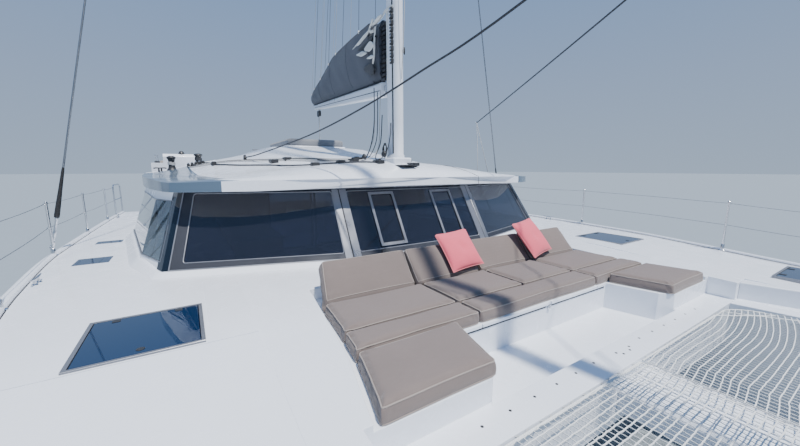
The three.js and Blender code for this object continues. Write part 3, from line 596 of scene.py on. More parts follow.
def sockets(tree: bpy.types.NodeTree, inputs: dict[str, object], outputs: Sequence[str]) -> tuple[Graph, dict,
                                                                                                  dict]:
    """Opens a group with its named sockets.

    Args:
        tree: The empty group.
        inputs: Default of each input: None for a vector, otherwise a number.
        outputs: Names of its value outputs.

    Returns:
        The graph, its input sockets and its output sockets, by name.
    """
    for name, value in inputs.items():
        kind = "NodeSocketVector" if value is None else "NodeSocketFloat"
        made = tree.interface.new_socket(name=name, in_out="INPUT", socket_type=kind)
        if value is not None:
            made.default_value = value
    for name in outputs:
        tree.interface.new_socket(name=name, in_out="OUTPUT", socket_type="NodeSocketFloat")
    graph = Graph(tree)
    start, end = graph.node("NodeGroupInput"), graph.node("NodeGroupOutput")
    return graph, {n: start.outputs[n] for n in inputs}, {n: end.inputs[n] for n in outputs}


def mottle_effect(tree: bpy.types.NodeTree) -> None:
    """Cloudy noise between two values."""
    graph, given, out = sockets(tree, {"Place": None, "Scale": 2.0, "Low": 0.0, "High": 1.0}, ["Value"])
    noise = graph.node("TexNoise", {"Vector": given["Place"], "Scale": given["Scale"], "Detail": 4.0})
    spread = graph.node("MapRange", {0: noise.outputs[0], 1: 0.3, 2: 0.7, 3: given["Low"], 4: given["High"]})
    graph.feed(out["Value"], spread.outputs[0])


def weave_effect(tree: bpy.types.NodeTree) -> None:
    """Over-and-under threads on whichever plane the surface faces, with slubs in them."""
    graph, given, out = sockets(tree, {"Place": None, "Facing": None, "Threads": 400.0}, ["Height", "Shade"])
    around = graph.sum("MULTIPLY", given["Threads"], math.pi)
    waves = [graph.sum("SINE", graph.sum("MULTIPLY", part, around)) for part in graph.apart(given["Place"])]
    faces = [graph.sum("ABSOLUTE", part) for part in graph.apart(given["Facing"])]
    pairs = [(1, 2), (2, 0), (0, 1)]
    woven = [graph.sum("MULTIPLY", graph.sum("MULTIPLY", waves[a], waves[b]), face)
             for (a, b), face in zip(pairs, faces)]
    total = graph.sum("ADD", graph.sum("ADD", woven[0], woven[1]), woven[2])
    graph.feed(out["Height"], graph.sum("MULTIPLY", total, 0.5))
    stretch = graph.node("Mapping", {"Vector": given["Place"], "Scale": (90.0, 14.0, 90.0)})
    slub = graph.node("TexNoise", {"Vector": stretch.outputs[0], "Scale": 1.0, "Detail": 3.0})
    graph.feed(out["Shade"], slub.outputs[0])


def twist_effect(tree: bpy.types.NodeTree) -> None:
    """Strands laid round a cord, from a place whose X runs along it and whose Y runs round it."""
    graph, given, out = sockets(tree, {"Place": None, "Turns": 40.0, "Strands": 3.0}, ["Height"])
    along, around, _ = graph.apart(given["Place"])
    angle = graph.sum("ADD", graph.sum("MULTIPLY", along, given["Turns"]),
                      graph.sum("MULTIPLY", around, given["Strands"]))
    wave = graph.sum("SINE", graph.sum("MULTIPLY", angle, 2 * math.pi))
    graph.feed(out["Height"], graph.sum("ADD", graph.sum("MULTIPLY", wave, 0.5), 0.5))


def streak_effect(tree: bpy.types.NodeTree) -> None:
    """Noise drawn out along one axis."""
    graph, given, out = sockets(tree, {"Place": None, "Scale": 4.0, "Low": 0.0, "High": 1.0}, ["Value"])
    noise = graph.node("TexNoise", {"Vector": given["Place"], "Scale": given["Scale"], "Detail": 5.0,
                                    "Roughness": 0.65})
    spread = graph.node("MapRange",
                        {0: noise.outputs[0], 1: 0.35, 2: 0.65, 3: given["Low"], 4: given["High"]})
    graph.feed(out["Value"], spread.outputs[0])


@dataclass(frozen=True)
class Finish:
    """A finish of the boat: its slot in the record and the look of its surface."""

    name: str
    slot: str | None
    colour: Colour
    roughness: float = 0.4
    shade: float = 0.06

    def material(self) -> bpy.types.Material:
        """The finish's material, made the first time it is asked for."""
        found = bpy.data.materials.get(self.name)
        if found is None:
            found = bpy.data.materials.new(self.name)
            found.use_nodes = True
            graph = Graph(found.node_tree)
            shader = graph.node("BsdfPrincipled")
            graph.node("OutputMaterial", {"Surface": shader.outputs[0]})
            place = graph.node("TexCoord")
            self.paint(graph, shader, place.outputs["Object"], place)
        return found

    def tint(self, amount: float) -> Colour:
        """The finish's colour, lighter or darker by a part."""
        return tuple(min(1.0, c * (1.0 + amount)) for c in self.colour)

    def bump(self, graph: Graph, shader: bpy.types.Node, height: Socket, depth: float,
             strength: float = 1.0) -> None:
        """Raises the surface by a height map, in metres."""
        made = graph.node("Bump", {"Height": height, "Distance": depth, "Strength": strength})
        graph.feed(shader.inputs["Normal"], made.outputs[0])

    def paint(self, graph: Graph, shader: bpy.types.Node, place: Socket, coordinates: bpy.types.Node) -> None:
        """Wires the finish: a plain moulded surface, slightly uneven.

        Args:
            graph: The material's graph.
            shader: Its Principled BSDF.
            place: Object coordinates.
            coordinates: The node that gives them.
        """
        cloud = graph.shared(Effect.MOTTLE, place=place, scale=3.0)
        graph.feed(shader.inputs["Base Color"],
                   graph.blend(cloud.outputs[0], full(self.tint(-self.shade)), full(self.tint(self.shade))))
        rough = graph.shared(Effect.MOTTLE, place=place, scale=24.0, low=self.roughness * 0.8,
                             high=self.roughness * 1.25)
        graph.feed(shader.inputs["Roughness"], rough.outputs[0])
        grain = graph.shared(Effect.MOTTLE, place=place, scale=260.0)
        self.bump(graph, shader, grain.outputs[0], 0.0004, 0.35)


@dataclass(frozen=True)
class Gelcoat(Finish):
    """Polished white moulding, with bottom paint under the waterline where a hull has it."""

    bottom: bool = False
    boot_low: float = 0.07
    boot_high: float = 0.12
    bottom_colour: Colour = (0.022, 0.028, 0.036)
    boot_colour: Colour = (0.10, 0.13, 0.17)

    def paint(self, graph: Graph, shader: bpy.types.Node, place: Socket, coordinates: bpy.types.Node) -> None:
        """Wires glossy gelcoat with faint salt bloom, print-through and the painted bottom."""
        cloud = graph.shared(Effect.MOTTLE, place=place, scale=0.9)
        stretched = graph.node("Mapping", {"Vector": place, "Scale": (5.0, 5.0, 0.35)})
        runs = graph.shared(Effect.STREAK, place=stretched.outputs[0], scale=2.0, low=0.0, high=0.35)
        clean = graph.blend(cloud.outputs[0], full(self.tint(-self.shade)), full(self.colour))
        worn = graph.blend(runs.outputs[0], clean, full(self.tint(-2 * self.shade)))
        rough = graph.shared(Effect.MOTTLE, place=place, scale=7.0, low=self.roughness * 0.75,
                             high=self.roughness * 1.3).outputs[0]
        colour = worn
        if self.bottom:
            height = graph.apart(place)[2]
            under_boot = graph.sum("LESS_THAN", height, self.boot_high)
            under_water = graph.sum("LESS_THAN", height, self.boot_low)
            slime = graph.blend(cloud.outputs[0], full(self.bottom_colour),
                                full(tuple(2 * c for c in self.bottom_colour)))
            colour = graph.blend(under_water, graph.blend(under_boot, worn, full(self.boot_colour)), slime)
            rough = graph.sum("MAXIMUM", rough, graph.sum("MULTIPLY", under_water, 0.75))
        graph.feed(shader.inputs["Base Color"], colour)
        graph.feed(shader.inputs["Roughness"], rough)
        shader.inputs["Coat Weight"].default_value = 0.25
        shader.inputs["Coat Roughness"].default_value = 0.08
        ripple = graph.shared(Effect.MOTTLE, place=place, scale=14.0)
        peel = graph.shared(Effect.MOTTLE, place=place, scale=420.0)
        both = graph.sum("ADD", ripple.outputs[0], graph.sum("MULTIPLY", peel.outputs[0], 0.12))
        self.bump(graph, shader, both, 0.0006, 0.25)


@dataclass(frozen=True)
class Metal(Finish):
    """Metal, brushed or polished along the piece's length."""

    metallic: float = 1.0
    coat: float = 0.0
    grain: tuple[float, float, float] = (60.0, 60.0, 2.0)

    def paint(self, graph: Graph, shader: bpy.types.Node, place: Socket, coordinates: bpy.types.Node) -> None:
        """Wires metal with fine brushing and a few dull patches."""
        shader.inputs["Metallic"].default_value = self.metallic
        shader.inputs["Coat Weight"].default_value = self.coat
        drawn = graph.node("Mapping", {"Vector": place, "Scale": self.grain})
        brushed = graph.shared(Effect.STREAK, place=drawn.outputs[0], scale=4.0)
        dull = graph.shared(Effect.MOTTLE, place=place, scale=5.0, low=self.roughness * 0.7,
                            high=self.roughness * 1.3)
        graph.feed(shader.inputs["Base Color"],
                   graph.blend(brushed.outputs[0], full(self.tint(-self.shade)), full(self.tint(self.shade))))
        graph.feed(shader.inputs["Roughness"], graph.sum(
            "ADD", dull.outputs[0], graph.sum("MULTIPLY", brushed.outputs[0], 0.06)))
        self.bump(graph, shader, brushed.outputs[0], 0.0002, 0.25)


@dataclass(frozen=True)
class Glazing(Finish):
    """Tinted acrylic or glass."""

    transmission: float = 0.0
    coat: float = 0.5

    def paint(self, graph: Graph, shader: bpy.types.Node, place: Socket, coordinates: bpy.types.Node) -> None:
        """Wires glossy tinted glass, with a faint smear over it."""
        smear = graph.shared(Effect.MOTTLE, place=place, scale=2.2, low=self.roughness * 0.5,
                             high=self.roughness * 1.6)
        graph.feed(shader.inputs["Roughness"], smear.outputs[0])
        tone = graph.shared(Effect.MOTTLE, place=place, scale=1.3)
        graph.feed(shader.inputs["Base Color"],
                   graph.blend(tone.outputs[0], full(self.tint(-self.shade)), full(self.tint(self.shade))))
        shader.inputs["Transmission Weight"].default_value = self.transmission
        shader.inputs["IOR"].default_value = 1.5
        shader.inputs["Coat Weight"].default_value = self.coat
        shader.inputs["Coat Roughness"].default_value = 0.02


@dataclass(frozen=True)
class Cloth(Finish):
    """Woven cloth, cut from a roll."""

    threads: float = 420.0
    relief: float = 0.0007
    sheen: float = 0.25
    fade: float = 0.05

    def paint(self, graph: Graph, shader: bpy.types.Node, place: Socket, coordinates: bpy.types.Node) -> None:
        """Wires a weave with slubs, sun-faded patches and a soft nap."""
        woven = graph.shared(Effect.WEAVE, place=place, facing=coordinates.outputs["Normal"],
                             threads=self.threads)
        patch = graph.shared(Effect.MOTTLE, place=place, scale=2.6)
        faded = graph.blend(patch.outputs[0], full(self.tint(-self.fade)), full(self.tint(self.fade)))
        slub = graph.sum("MULTIPLY", woven.outputs["Shade"], 0.5)
        graph.feed(shader.inputs["Base Color"], graph.blend(slub, faded, full(self.tint(-3 * self.shade))))
        rough = graph.shared(Effect.MOTTLE, place=place, scale=30.0, low=self.roughness - 0.05,
                             high=min(1.0, self.roughness + 0.08))
        graph.feed(shader.inputs["Roughness"], rough.outputs[0])
        shader.inputs["Sheen Weight"].default_value = self.sheen
        shader.inputs["Sheen Roughness"].default_value = 0.5
        shader.inputs["Specular IOR Level"].default_value = 0.25
        self.bump(graph, shader, woven.outputs["Height"], self.relief, 0.7)


@dataclass(frozen=True)
class Cordage(Finish):
    """Laid or braided rope, whose strands follow the rope's own UV map."""

    turns: float = 45.0
    relief: float = 0.0012

    def paint(self, graph: Graph, shader: bpy.types.Node, place: Socket, coordinates: bpy.types.Node) -> None:
        """Wires strands in both directions, with painted shade darkening the lay between them."""
        laid = graph.shared(Effect.TWIST, place=coordinates.outputs["UV"], turns=self.turns, strands=3.0)
        crossed = graph.shared(Effect.TWIST, place=coordinates.outputs["UV"], turns=-self.turns, strands=3.0)
        height = graph.sum("MAXIMUM", laid.outputs[0], crossed.outputs[0])
        cloud = graph.shared(Effect.MOTTLE, place=place, scale=6.0)
        strand = graph.blend(cloud.outputs[0], full(self.tint(-self.shade)), full(self.tint(self.shade)))
        # Painted shade: the colour darkens in the lay, where the strands' height is low.
        graph.feed(shader.inputs["Base Color"], graph.blend(height, full(self.tint(-0.3)), strand))
        rough = graph.shared(Effect.MOTTLE, place=place, scale=40.0, low=self.roughness - 0.06,
                             high=min(1.0, self.roughness + 0.06))
        graph.feed(shader.inputs["Roughness"], rough.outputs[0])
        self.bump(graph, shader, height, self.relief, 0.6)


@dataclass(frozen=True)
class Wood(Finish):
    """Oiled wood with long grain."""

    grain_axis: tuple[float, float, float] = (0.5, 9.0, 9.0)

    def paint(self, graph: Graph, shader: bpy.types.Node, place: Socket, coordinates: bpy.types.Node) -> None:
        """Wires growth rings drawn out along the board."""
        drawn = graph.node("Mapping", {"Vector": place, "Scale": self.grain_axis})
        rings = graph.shared(Effect.STREAK, place=drawn.outputs[0], scale=2.4)
        pores = graph.shared(Effect.STREAK, place=drawn.outputs[0], scale=26.0)
        light = graph.blend(rings.outputs[0], full(self.tint(-0.3)), full(self.tint(0.12)))
        graph.feed(shader.inputs["Base Color"],
                   graph.blend(graph.sum("MULTIPLY", pores.outputs[0], 0.3), light, full(self.tint(-0.5))))
        graph.feed(shader.inputs["Roughness"], graph.sum(
            "ADD", graph.sum("MULTIPLY", pores.outputs[0], 0.15), self.roughness))
        self.bump(graph, shader, pores.outputs[0], 0.0003, 0.4)


WHITE = Gelcoat("white_gelcoat", "gelcoat", (0.84, 0.88, 0.95), 0.24, 0.02)
HULL_WHITE = Gelcoat("hull_gelcoat", "gelcoat", (0.84, 0.88, 0.95), 0.24, 0.02, bottom=True)
# Blue-grey gelcoat that paints the shade falling on the roof's outer edge.
ROOF_EDGE_PAINTED_SHADE = Gelcoat("roof_edge_gelcoat", "gelcoat", (0.095, 0.145, 0.205), 0.16, 0.03)
PANE = Glazing("tinted_pane", "glass", (0.085, 0.090, 0.135), 0.02, 0.05, transmission=0.9)
CLEAR_PANE = Glazing("side_pane", "glass", (0.42, 0.52, 0.58), 0.02, 0.05, transmission=0.93)
CORNER_PANE = Glazing("corner_pane", "glass", (0.005, 0.009, 0.015), 0.05, 0.0)
LID = Glazing("smoked_lid", "glass", (0.004, 0.020, 0.060), 0.03, 0.0)
SCREEN_FRAME = Metal("anodised_frame", "alloy", (0.020, 0.024, 0.036), 0.55, 0.05, metallic=0.1)
BRIGHT_FRAME = Metal("bright_frame", "alloy", (0.25, 0.26, 0.29), 0.34, 0.06, metallic=0.6)
SPAR = Metal("spar_paint", "alloy", (0.84, 0.88, 0.94), 0.32, 0.03, metallic=0.08, coat=0.3)
STEEL = Metal("polished_steel", "steel", (0.66, 0.67, 0.69), 0.18, 0.05)
WIRE = Metal("rigging_wire", "steel", (0.30, 0.31, 0.33), 0.35, 0.10)
RUBBER = Finish("black_rubber", "foil", (0.018, 0.018, 0.020), 0.62, 0.15)
PLASTIC = Finish("black_fittings", "foil", (0.030, 0.031, 0.034), 0.42, 0.12)
TAUPE = Cloth("taupe_cloth", "taupe", (0.200, 0.163, 0.149), 0.82)
# A lighter taupe than the cushions' cloth: a painted highlight on the raised piping.
PIPING_HIGHLIGHT = Cloth("taupe_piping", "taupe", (0.33, 0.285, 0.255), 0.8, threads=300.0)
CORAL = Cloth("coral_cloth", "coral", (0.84, 0.135, 0.190), 0.8, threads=330.0)
CORAL_EDGE = Cloth("coral_edge", "coral", (0.80, 0.24, 0.26), 0.8, threads=330.0)
CANVAS = Cloth("grey_canvas", "canvas", (0.062, 0.070, 0.090), 0.8, threads=260.0)
# Near-black cloth: the bag's dark lining, also laid as painted shade in the gaps between the pale sail folds.
NEAR_BLACK_CLOTH_AND_SHADE = Cloth("bag_lining", "canvas", (0.020, 0.021, 0.024), 0.85, threads=260.0)
PAD_CLOTH = Cloth("roof_pad_cloth", "canvas", (0.22, 0.23, 0.25), 0.8, threads=300.0)
BENCH_CLOTH = Cloth("bench_cloth", "taupe", (0.34, 0.31, 0.28), 0.8, threads=300.0)
SAILCLOTH = Cloth("sailcloth", "sailcloth", (0.66, 0.67, 0.66), 0.7, threads=500.0, sheen=0.1)
UV_STRIP = Cloth("sail_cover_strip", "sailcloth", (0.52, 0.55, 0.60), 0.75, threads=400.0, sheen=0.1)
NET_CORD = Cordage("net_cord", "net", (0.84, 0.86, 0.86), 0.75, turns=60.0)
DARK_ROPE = Cordage("dark_rope", "net", (0.045, 0.050, 0.060), 0.75)
PALE_ROPE = Cordage("pale_rope", "net", (0.55, 0.56, 0.57), 0.75)
GOLD_ROPE = Cordage("gold_rope", "net", (0.52, 0.37, 0.16), 0.75)
BOTTOM = Finish("bottom_paint", "foil", (0.022, 0.028, 0.036), 0.7, 0.2)
BRONZE = Metal("bronze", "bronze", (0.42, 0.26, 0.11), 0.28, 0.10)
TABLE_WOOD = Wood("oiled_wood", "joinery", (0.36, 0.22, 0.12), 0.42)
WORKTOP = Finish("galley_worktop", "joinery", (0.20, 0.19, 0.18), 0.35, 0.1)


@dataclass
class Assembly:
    """A sub-assembly of the boat, fitted through the yard."""

    yard: Yard

    def build(self) -> None:
        """Models the sub-assembly's pieces and fits them."""
        raise NotImplementedError


# Station, then distances from the centreline: deck edge and waterline outboard, keel, waterline and deck
# edge inboard; then the height of the deck outboard and inboard, and the depth of the canoe body.
HULL_LINES = Fairing([
    (-7.0, 3.560, 3.400, 2.950, 2.500, 2.360, 0.560, 0.560, -0.025),
    (-6.5, 3.680, 3.480, 2.950, 2.430, 2.230, 1.120, 1.120, -0.150),
    (-5.8, 3.760, 3.560, 2.950, 2.350, 2.100, 1.760, 1.760, -0.290),
    (-5.4, 3.790, 3.590, 2.950, 2.320, 2.100, 1.850, 1.850, -0.350),
    (-4.2, 3.830, 3.640, 2.950, 2.280, 2.100, 1.850, 1.850, -0.480),
    (-2.4, 3.850, 3.680, 2.950, 2.240, 2.100, 1.850, 1.850, -0.560),
    (-0.98, 3.850, 3.680, 2.950, 2.240, 2.100, 1.850, 1.850, -0.560),
    (0.7, 3.725, 3.610, 2.930, 2.250, 2.100, 1.850, 1.850, -0.560),
    (2.0, 3.530, 3.480, 2.910, 2.290, 2.100, 1.850, 1.850, -0.560),
    (3.0, 3.370, 3.370, 2.880, 2.360, 2.100, 1.820, 1.800, -0.550),
    (3.6, 3.300, 3.300, 2.860, 2.400, 2.100, 1.790, 1.780, -0.540),
    (4.6, 3.180, 3.180, 2.830, 2.480, 2.130, 1.755, 1.745, -0.510),
    (5.6, 3.040, 3.030, 2.800, 2.570, 2.330, 1.725, 1.715, -0.440),
    (6.4, 2.930, 2.900, 2.785, 2.670, 2.560, 1.710, 1.705, -0.330),
    (6.88, 2.865, 2.830, 2.780, 2.730, 2.690, 1.702, 1.700, -0.200),
    (7.0, 2.830, 2.800, 2.780, 2.760, 2.725, 1.700, 1.700, -0.090),
])


def deck_edge(x: float) -> tuple[float, float]:
    """The deck's outboard edge at a station: its distance from the centreline and its height."""
    line = HULL_LINES.at(x)
    return float(line[0]), float(line[5])


@dataclass
class Opening:
    """A rectangle in the side deck, port side."""

    name: str
    x: tuple[float, float]
    y: tuple[float, float]
    top: float

    def grown(self, by: float) -> tuple[tuple[float, float], tuple[float, float]]:
        """The rectangle made larger all round."""
        return (self.x[0] - by, self.x[1] + by), (self.y[0] - by, self.y[1] + by)


HATCHES = (
    Opening("hatch", (1.74, 2.33), (2.41, 2.98), 1.852),
    Opening("fore_hatch", (3.75, 4.33), (2.40, 2.96), 1.800),
)
DECK_LIGHTS = (
    Opening("deck_light_fore", (-0.41, -0.10), (3.18, 3.48), 1.85),
    Opening("deck_light_aft", (-1.50, -1.30), (3.22, 3.50), 1.85),
)


@dataclass
class Hulls(Assembly):
    """The two hulls with their keels, stern steps, hatches and lights."""

    station_step: float = 0.18
    gunwale: float = 0.035
    crease_x: float = 2.372
    crease_y: float = 2.36
    seam: float = 0.006
    seam_depth: float = 0.005
    steps: tuple[Point, ...] = ((-7.2, -6.6, 0.33), (-6.6, -6.25, 0.56), (-6.25, -5.95, 0.79),
                                (-5.95, -5.1, 1.0))

    def build(self) -> None:
        """Builds both sides."""
        for side in Side:
            self.shell(side)
            self.keel(side)
            self.ledge(side)
            self.under_fairings(side)
            for hatch in HATCHES:
                self.hatch(hatch, side)
            for light in DECK_LIGHTS:
                self.light(light, side)

    def outline(self, x: float) -> list[tuple[float, float]]:
        """The hull's outline at a station, from the deck round the keel and back: distance out, height."""
        out, wet_out, keel, wet_in, inner, top, top_in, depth = (float(v) for v in HULL_LINES.at(x))
        round_off = min(self.gunwale, 0.25 * (out - inner))
        flare = min(0.45, top * 0.4)
        bridge = min(0.85, top_in * 0.75)

        def bilge(water: float) -> list[tuple[float, float]]:
            """The turn of the bilge on one side, down to the keel line."""
            turns = [t * math.pi / 2 for t in (0.88, 0.75, 0.62, 0.5, 0.37, 0.25, 0.08)]
            return [(mix(keel, water, 0.2 + 0.8 * math.sin(t)), depth * math.cos(t)) for t in turns]

        side = [(out, top - round_off), (mix(wet_out, out, 0.5) + 0.012, flare), (wet_out, 0.0),
                *bilge(wet_out)]
        topside = [tuple(p)[:2] for p in curve_through([(*p, 0.0) for p in side[:3]], 4)]
        corner = [(out - round_off, top), (out - 0.62 * round_off, top - 0.08 * round_off),
                  (out - 0.29 * round_off, top - 0.29 * round_off),
                  (out - 0.08 * round_off, top - 0.62 * round_off)]
        inboard = [(wet_in, 0.0), (mix(wet_in, inner, 0.35), flare), (inner, bridge), (inner, top_in)]
        across = [(mix(inner, out - round_off, t), mix(top_in, top, t)) for t in (0.25, 0.5, 0.75)]
        return [*corner, *topside, *side[3:], *reversed(bilge(wet_in)), *inboard, *across]

    def shell(self, side: Side) -> None:
        """The hull's skin, its stern steps and hatch openings cut from it."""
        count = int(round(13.9 / self.station_step))
        stations = [-7.0 + 13.88 * k / count for k in range(count + 1)] + [6.94, 7.0]
        rings = [[(x, side.value * y, z) for y, z in self.outline(x)] for x in stations]
        hull = Bench.loft(f"hull_shell_{side.label}", rings, angle=28)

        def cutter(x: Point, y: Point, z: Point) -> Piece:
            """A block to cut with."""
            return Bench.block("cutter", x, sorted(side.value * v for v in y), z, bevel=0)

        tools = [cutter((aft, fore), (2.45, 3.3), (tread, 2.2)) for aft, fore, tread in self.steps]
        tools.append(cutter((-5.8003, -5.1), (2.0, 2.5), (1.0, 2.2)))
        for hatch in HATCHES:
            x, y = hatch.grown(0.005)
            tools.append(cutter(x, y, (hatch.top - 0.42, 2.2)))
        for light in DECK_LIGHTS:
            tools.append(cutter(light.x, light.y, (light.top - 0.006, 2.2)))
        half = self.seam / 2
        depth = DECK_Z - self.seam_depth
        tools.append(cutter((self.crease_x - half, self.crease_x + half), (2.0, 3.36),
                            (1.836 - self.seam_depth, 2.2)))
        tools.append(cutter((1.15, self.crease_x), (self.crease_y - half, self.crease_y + half),
                            (depth, 2.2)))
        Bench.cut(hull, tools)
        self.yard.fit(hull, HULL_WHITE, replaces=[f"hull_{side.label}"])

    def keel(self, side: Side) -> None:
        """The fixed keel, a faired fin."""
        fin = [(0.80, -2.00, 0.150, -0.50), (0.76, -1.975, 0.128, -0.70), (0.65, -1.90, 0.100, -0.95),
               (0.54, -1.84, 0.082, -1.18), (0.47, -1.80, 0.076, -1.27), (0.43, -1.78, 0.060, -1.30)]
        form = [(0.0, 0.0), (0.03, 0.42), (0.10, 0.74), (0.22, 0.96), (0.38, 1.0), (0.60, 0.78), (0.82, 0.38),
                (1.0, 0.06)]
        rings = []
        for fore, aft, half, z in fin:
            near = [(mix(fore, aft, t), half * w) for t, w in form]
            whole = near + [(x, -w) for x, w in reversed(near[1:])]
            rings.append([(x, side.value * 2.94 + w, z) for x, w in whole])
        self.yard.fit(Bench.loft(f"keel_{side.label}", rings, angle=50), BOTTOM)

    def ledge(self, side: Side) -> None:
        """The lashing ledge beside the net, the coaming behind it and the socket of the crossbeam."""
        sign = side.value

        def placed(points: Sequence[Point]) -> list[tuple[float, float]]:
            """Points on this side of the boat."""
            return [(x, sign * y) for x, y in points]

        shelf = placed([(3.6003, 1.75), (6.13, 2.25), (6.13, 2.65), (3.6003, 2.30)])
        self.yard.fit(Bench.prism(f"net_ledge_{side.label}", shelf, 1.54, LEDGE_Z, bevel=0.006), WHITE)
        rise = placed([(3.6003, 1.95), (3.78, 2.01), (3.95, 2.07), (4.18, 2.13), (4.40, 2.18),
                       (3.6003, 2.18)])
        self.yard.fit(Bench.prism(f"ledge_coaming_{side.label}", rise, 1.59, 1.772, bevel=0.010, segments=3),
                      WHITE)
        socket = Bench.block(f"beam_socket_{side.label}", (6.13, 6.37), sorted((sign * 2.38, sign * 2.65)),
                             (1.38, 1.61), bevel=0.02, segments=3)
        self.yard.fit(socket, WHITE)

    def under_fairings(self, side: Side) -> None:
        """The fairings that the drive leg and the rudder stock leave the hull through."""
        y = side.value * 2.95
        drive = [[(-4.6 + a, y + b, z) for a,
                  b in ((0.25, 0), (0.17, w), (-0.17, w), (-0.25, 0), (-0.17, -w), (0.17, -w))]
                 for z, w in ((-0.30, 0.10), (-0.44, 0.095), (-0.52, 0.085))]
        self.yard.fit(Bench.bevelled(Bench.loft(f"drive_fairing_{side.label}", drive), 0.01), BOTTOM)
        skeg = Bench.turned(f"rudder_fairing_{side.label}", (-5.9, y, -0.33), (0, 0, 1),
                            [(0, 0.034), (0, 0.075), (0.02, 0.09), (0.1, 0.12), (0.3, 0.13), (0.3, 0.034)],
                            28)
        self.yard.fit(skeg, BOTTOM)

    def hatch(self, hatch: Opening, side: Side) -> None:
        """A deck hatch: its frame, and its smoked lid with hinges and a handle."""
        sign, body = side.value, f"{hatch.name}_{side.label}"
        x, y = hatch.grown(0.026)
        frame = Bench.block(f"{hatch.name}_frame_{side.label}", x, sorted(sign * v for v in y),
                            (hatch.top - 0.05, hatch.top + 0.0015), bevel=0)
        hole_x, hole_y = hatch.grown(0.0045)
        hole = Bench.block("cutter", hole_x, sorted(sign * v for v in hole_y), (0.9, 2.2), bevel=0)
        self.yard.fit(Bench.bevelled(Bench.cut(frame, [hole]), 0.0012, 1), BRIGHT_FRAME)
        lid = Bench.block(f"{hatch.name}_lid_{side.label}", hatch.x, sorted(sign * v for v in hatch.y),
                          (hatch.top - 0.018, hatch.top), bevel=0.003)
        self.yard.fit(lid, LID, body, replaces=[body])
        middle = sign * (hatch.y[0] + hatch.y[1]) / 2
        for k, across in enumerate((-0.17, 0.17)):
            hinge = Bench.block(f"{hatch.name}_hinge_{k + 1}_{side.label}",
                                (hatch.x[0] + 0.003, hatch.x[0] + 0.05),
                                (middle + across - 0.022, middle + across + 0.022),
                                (hatch.top - 0.001, hatch.top + 0.0035), bevel=0.0015)
            self.yard.fit(hinge, PLASTIC, body)
        pull = Bench.turned(f"{hatch.name}_handle_{side.label}",
                            (hatch.x[1] - 0.05, middle, hatch.top - 0.001),
                            (0, 0, 1), [(0, 0.001), (0, 0.021), (0.003, 0.021), (0.0045, 0.017),
                                        (0.0045, 0.001)], 18)
        self.yard.fit(pull, PLASTIC, body)

    def light(self, light: Opening, side: Side) -> None:
        """A fixed light let into the side deck."""
        x, y = light.grown(-0.003)
        pane = Bench.block(f"{light.name}_{side.label}", x, sorted(side.value * v for v in y),
                           (light.top - 0.0055, light.top + 0.001), bevel=0.0008, segments=1)
        self.yard.fit(pane, LID, slot="glass")


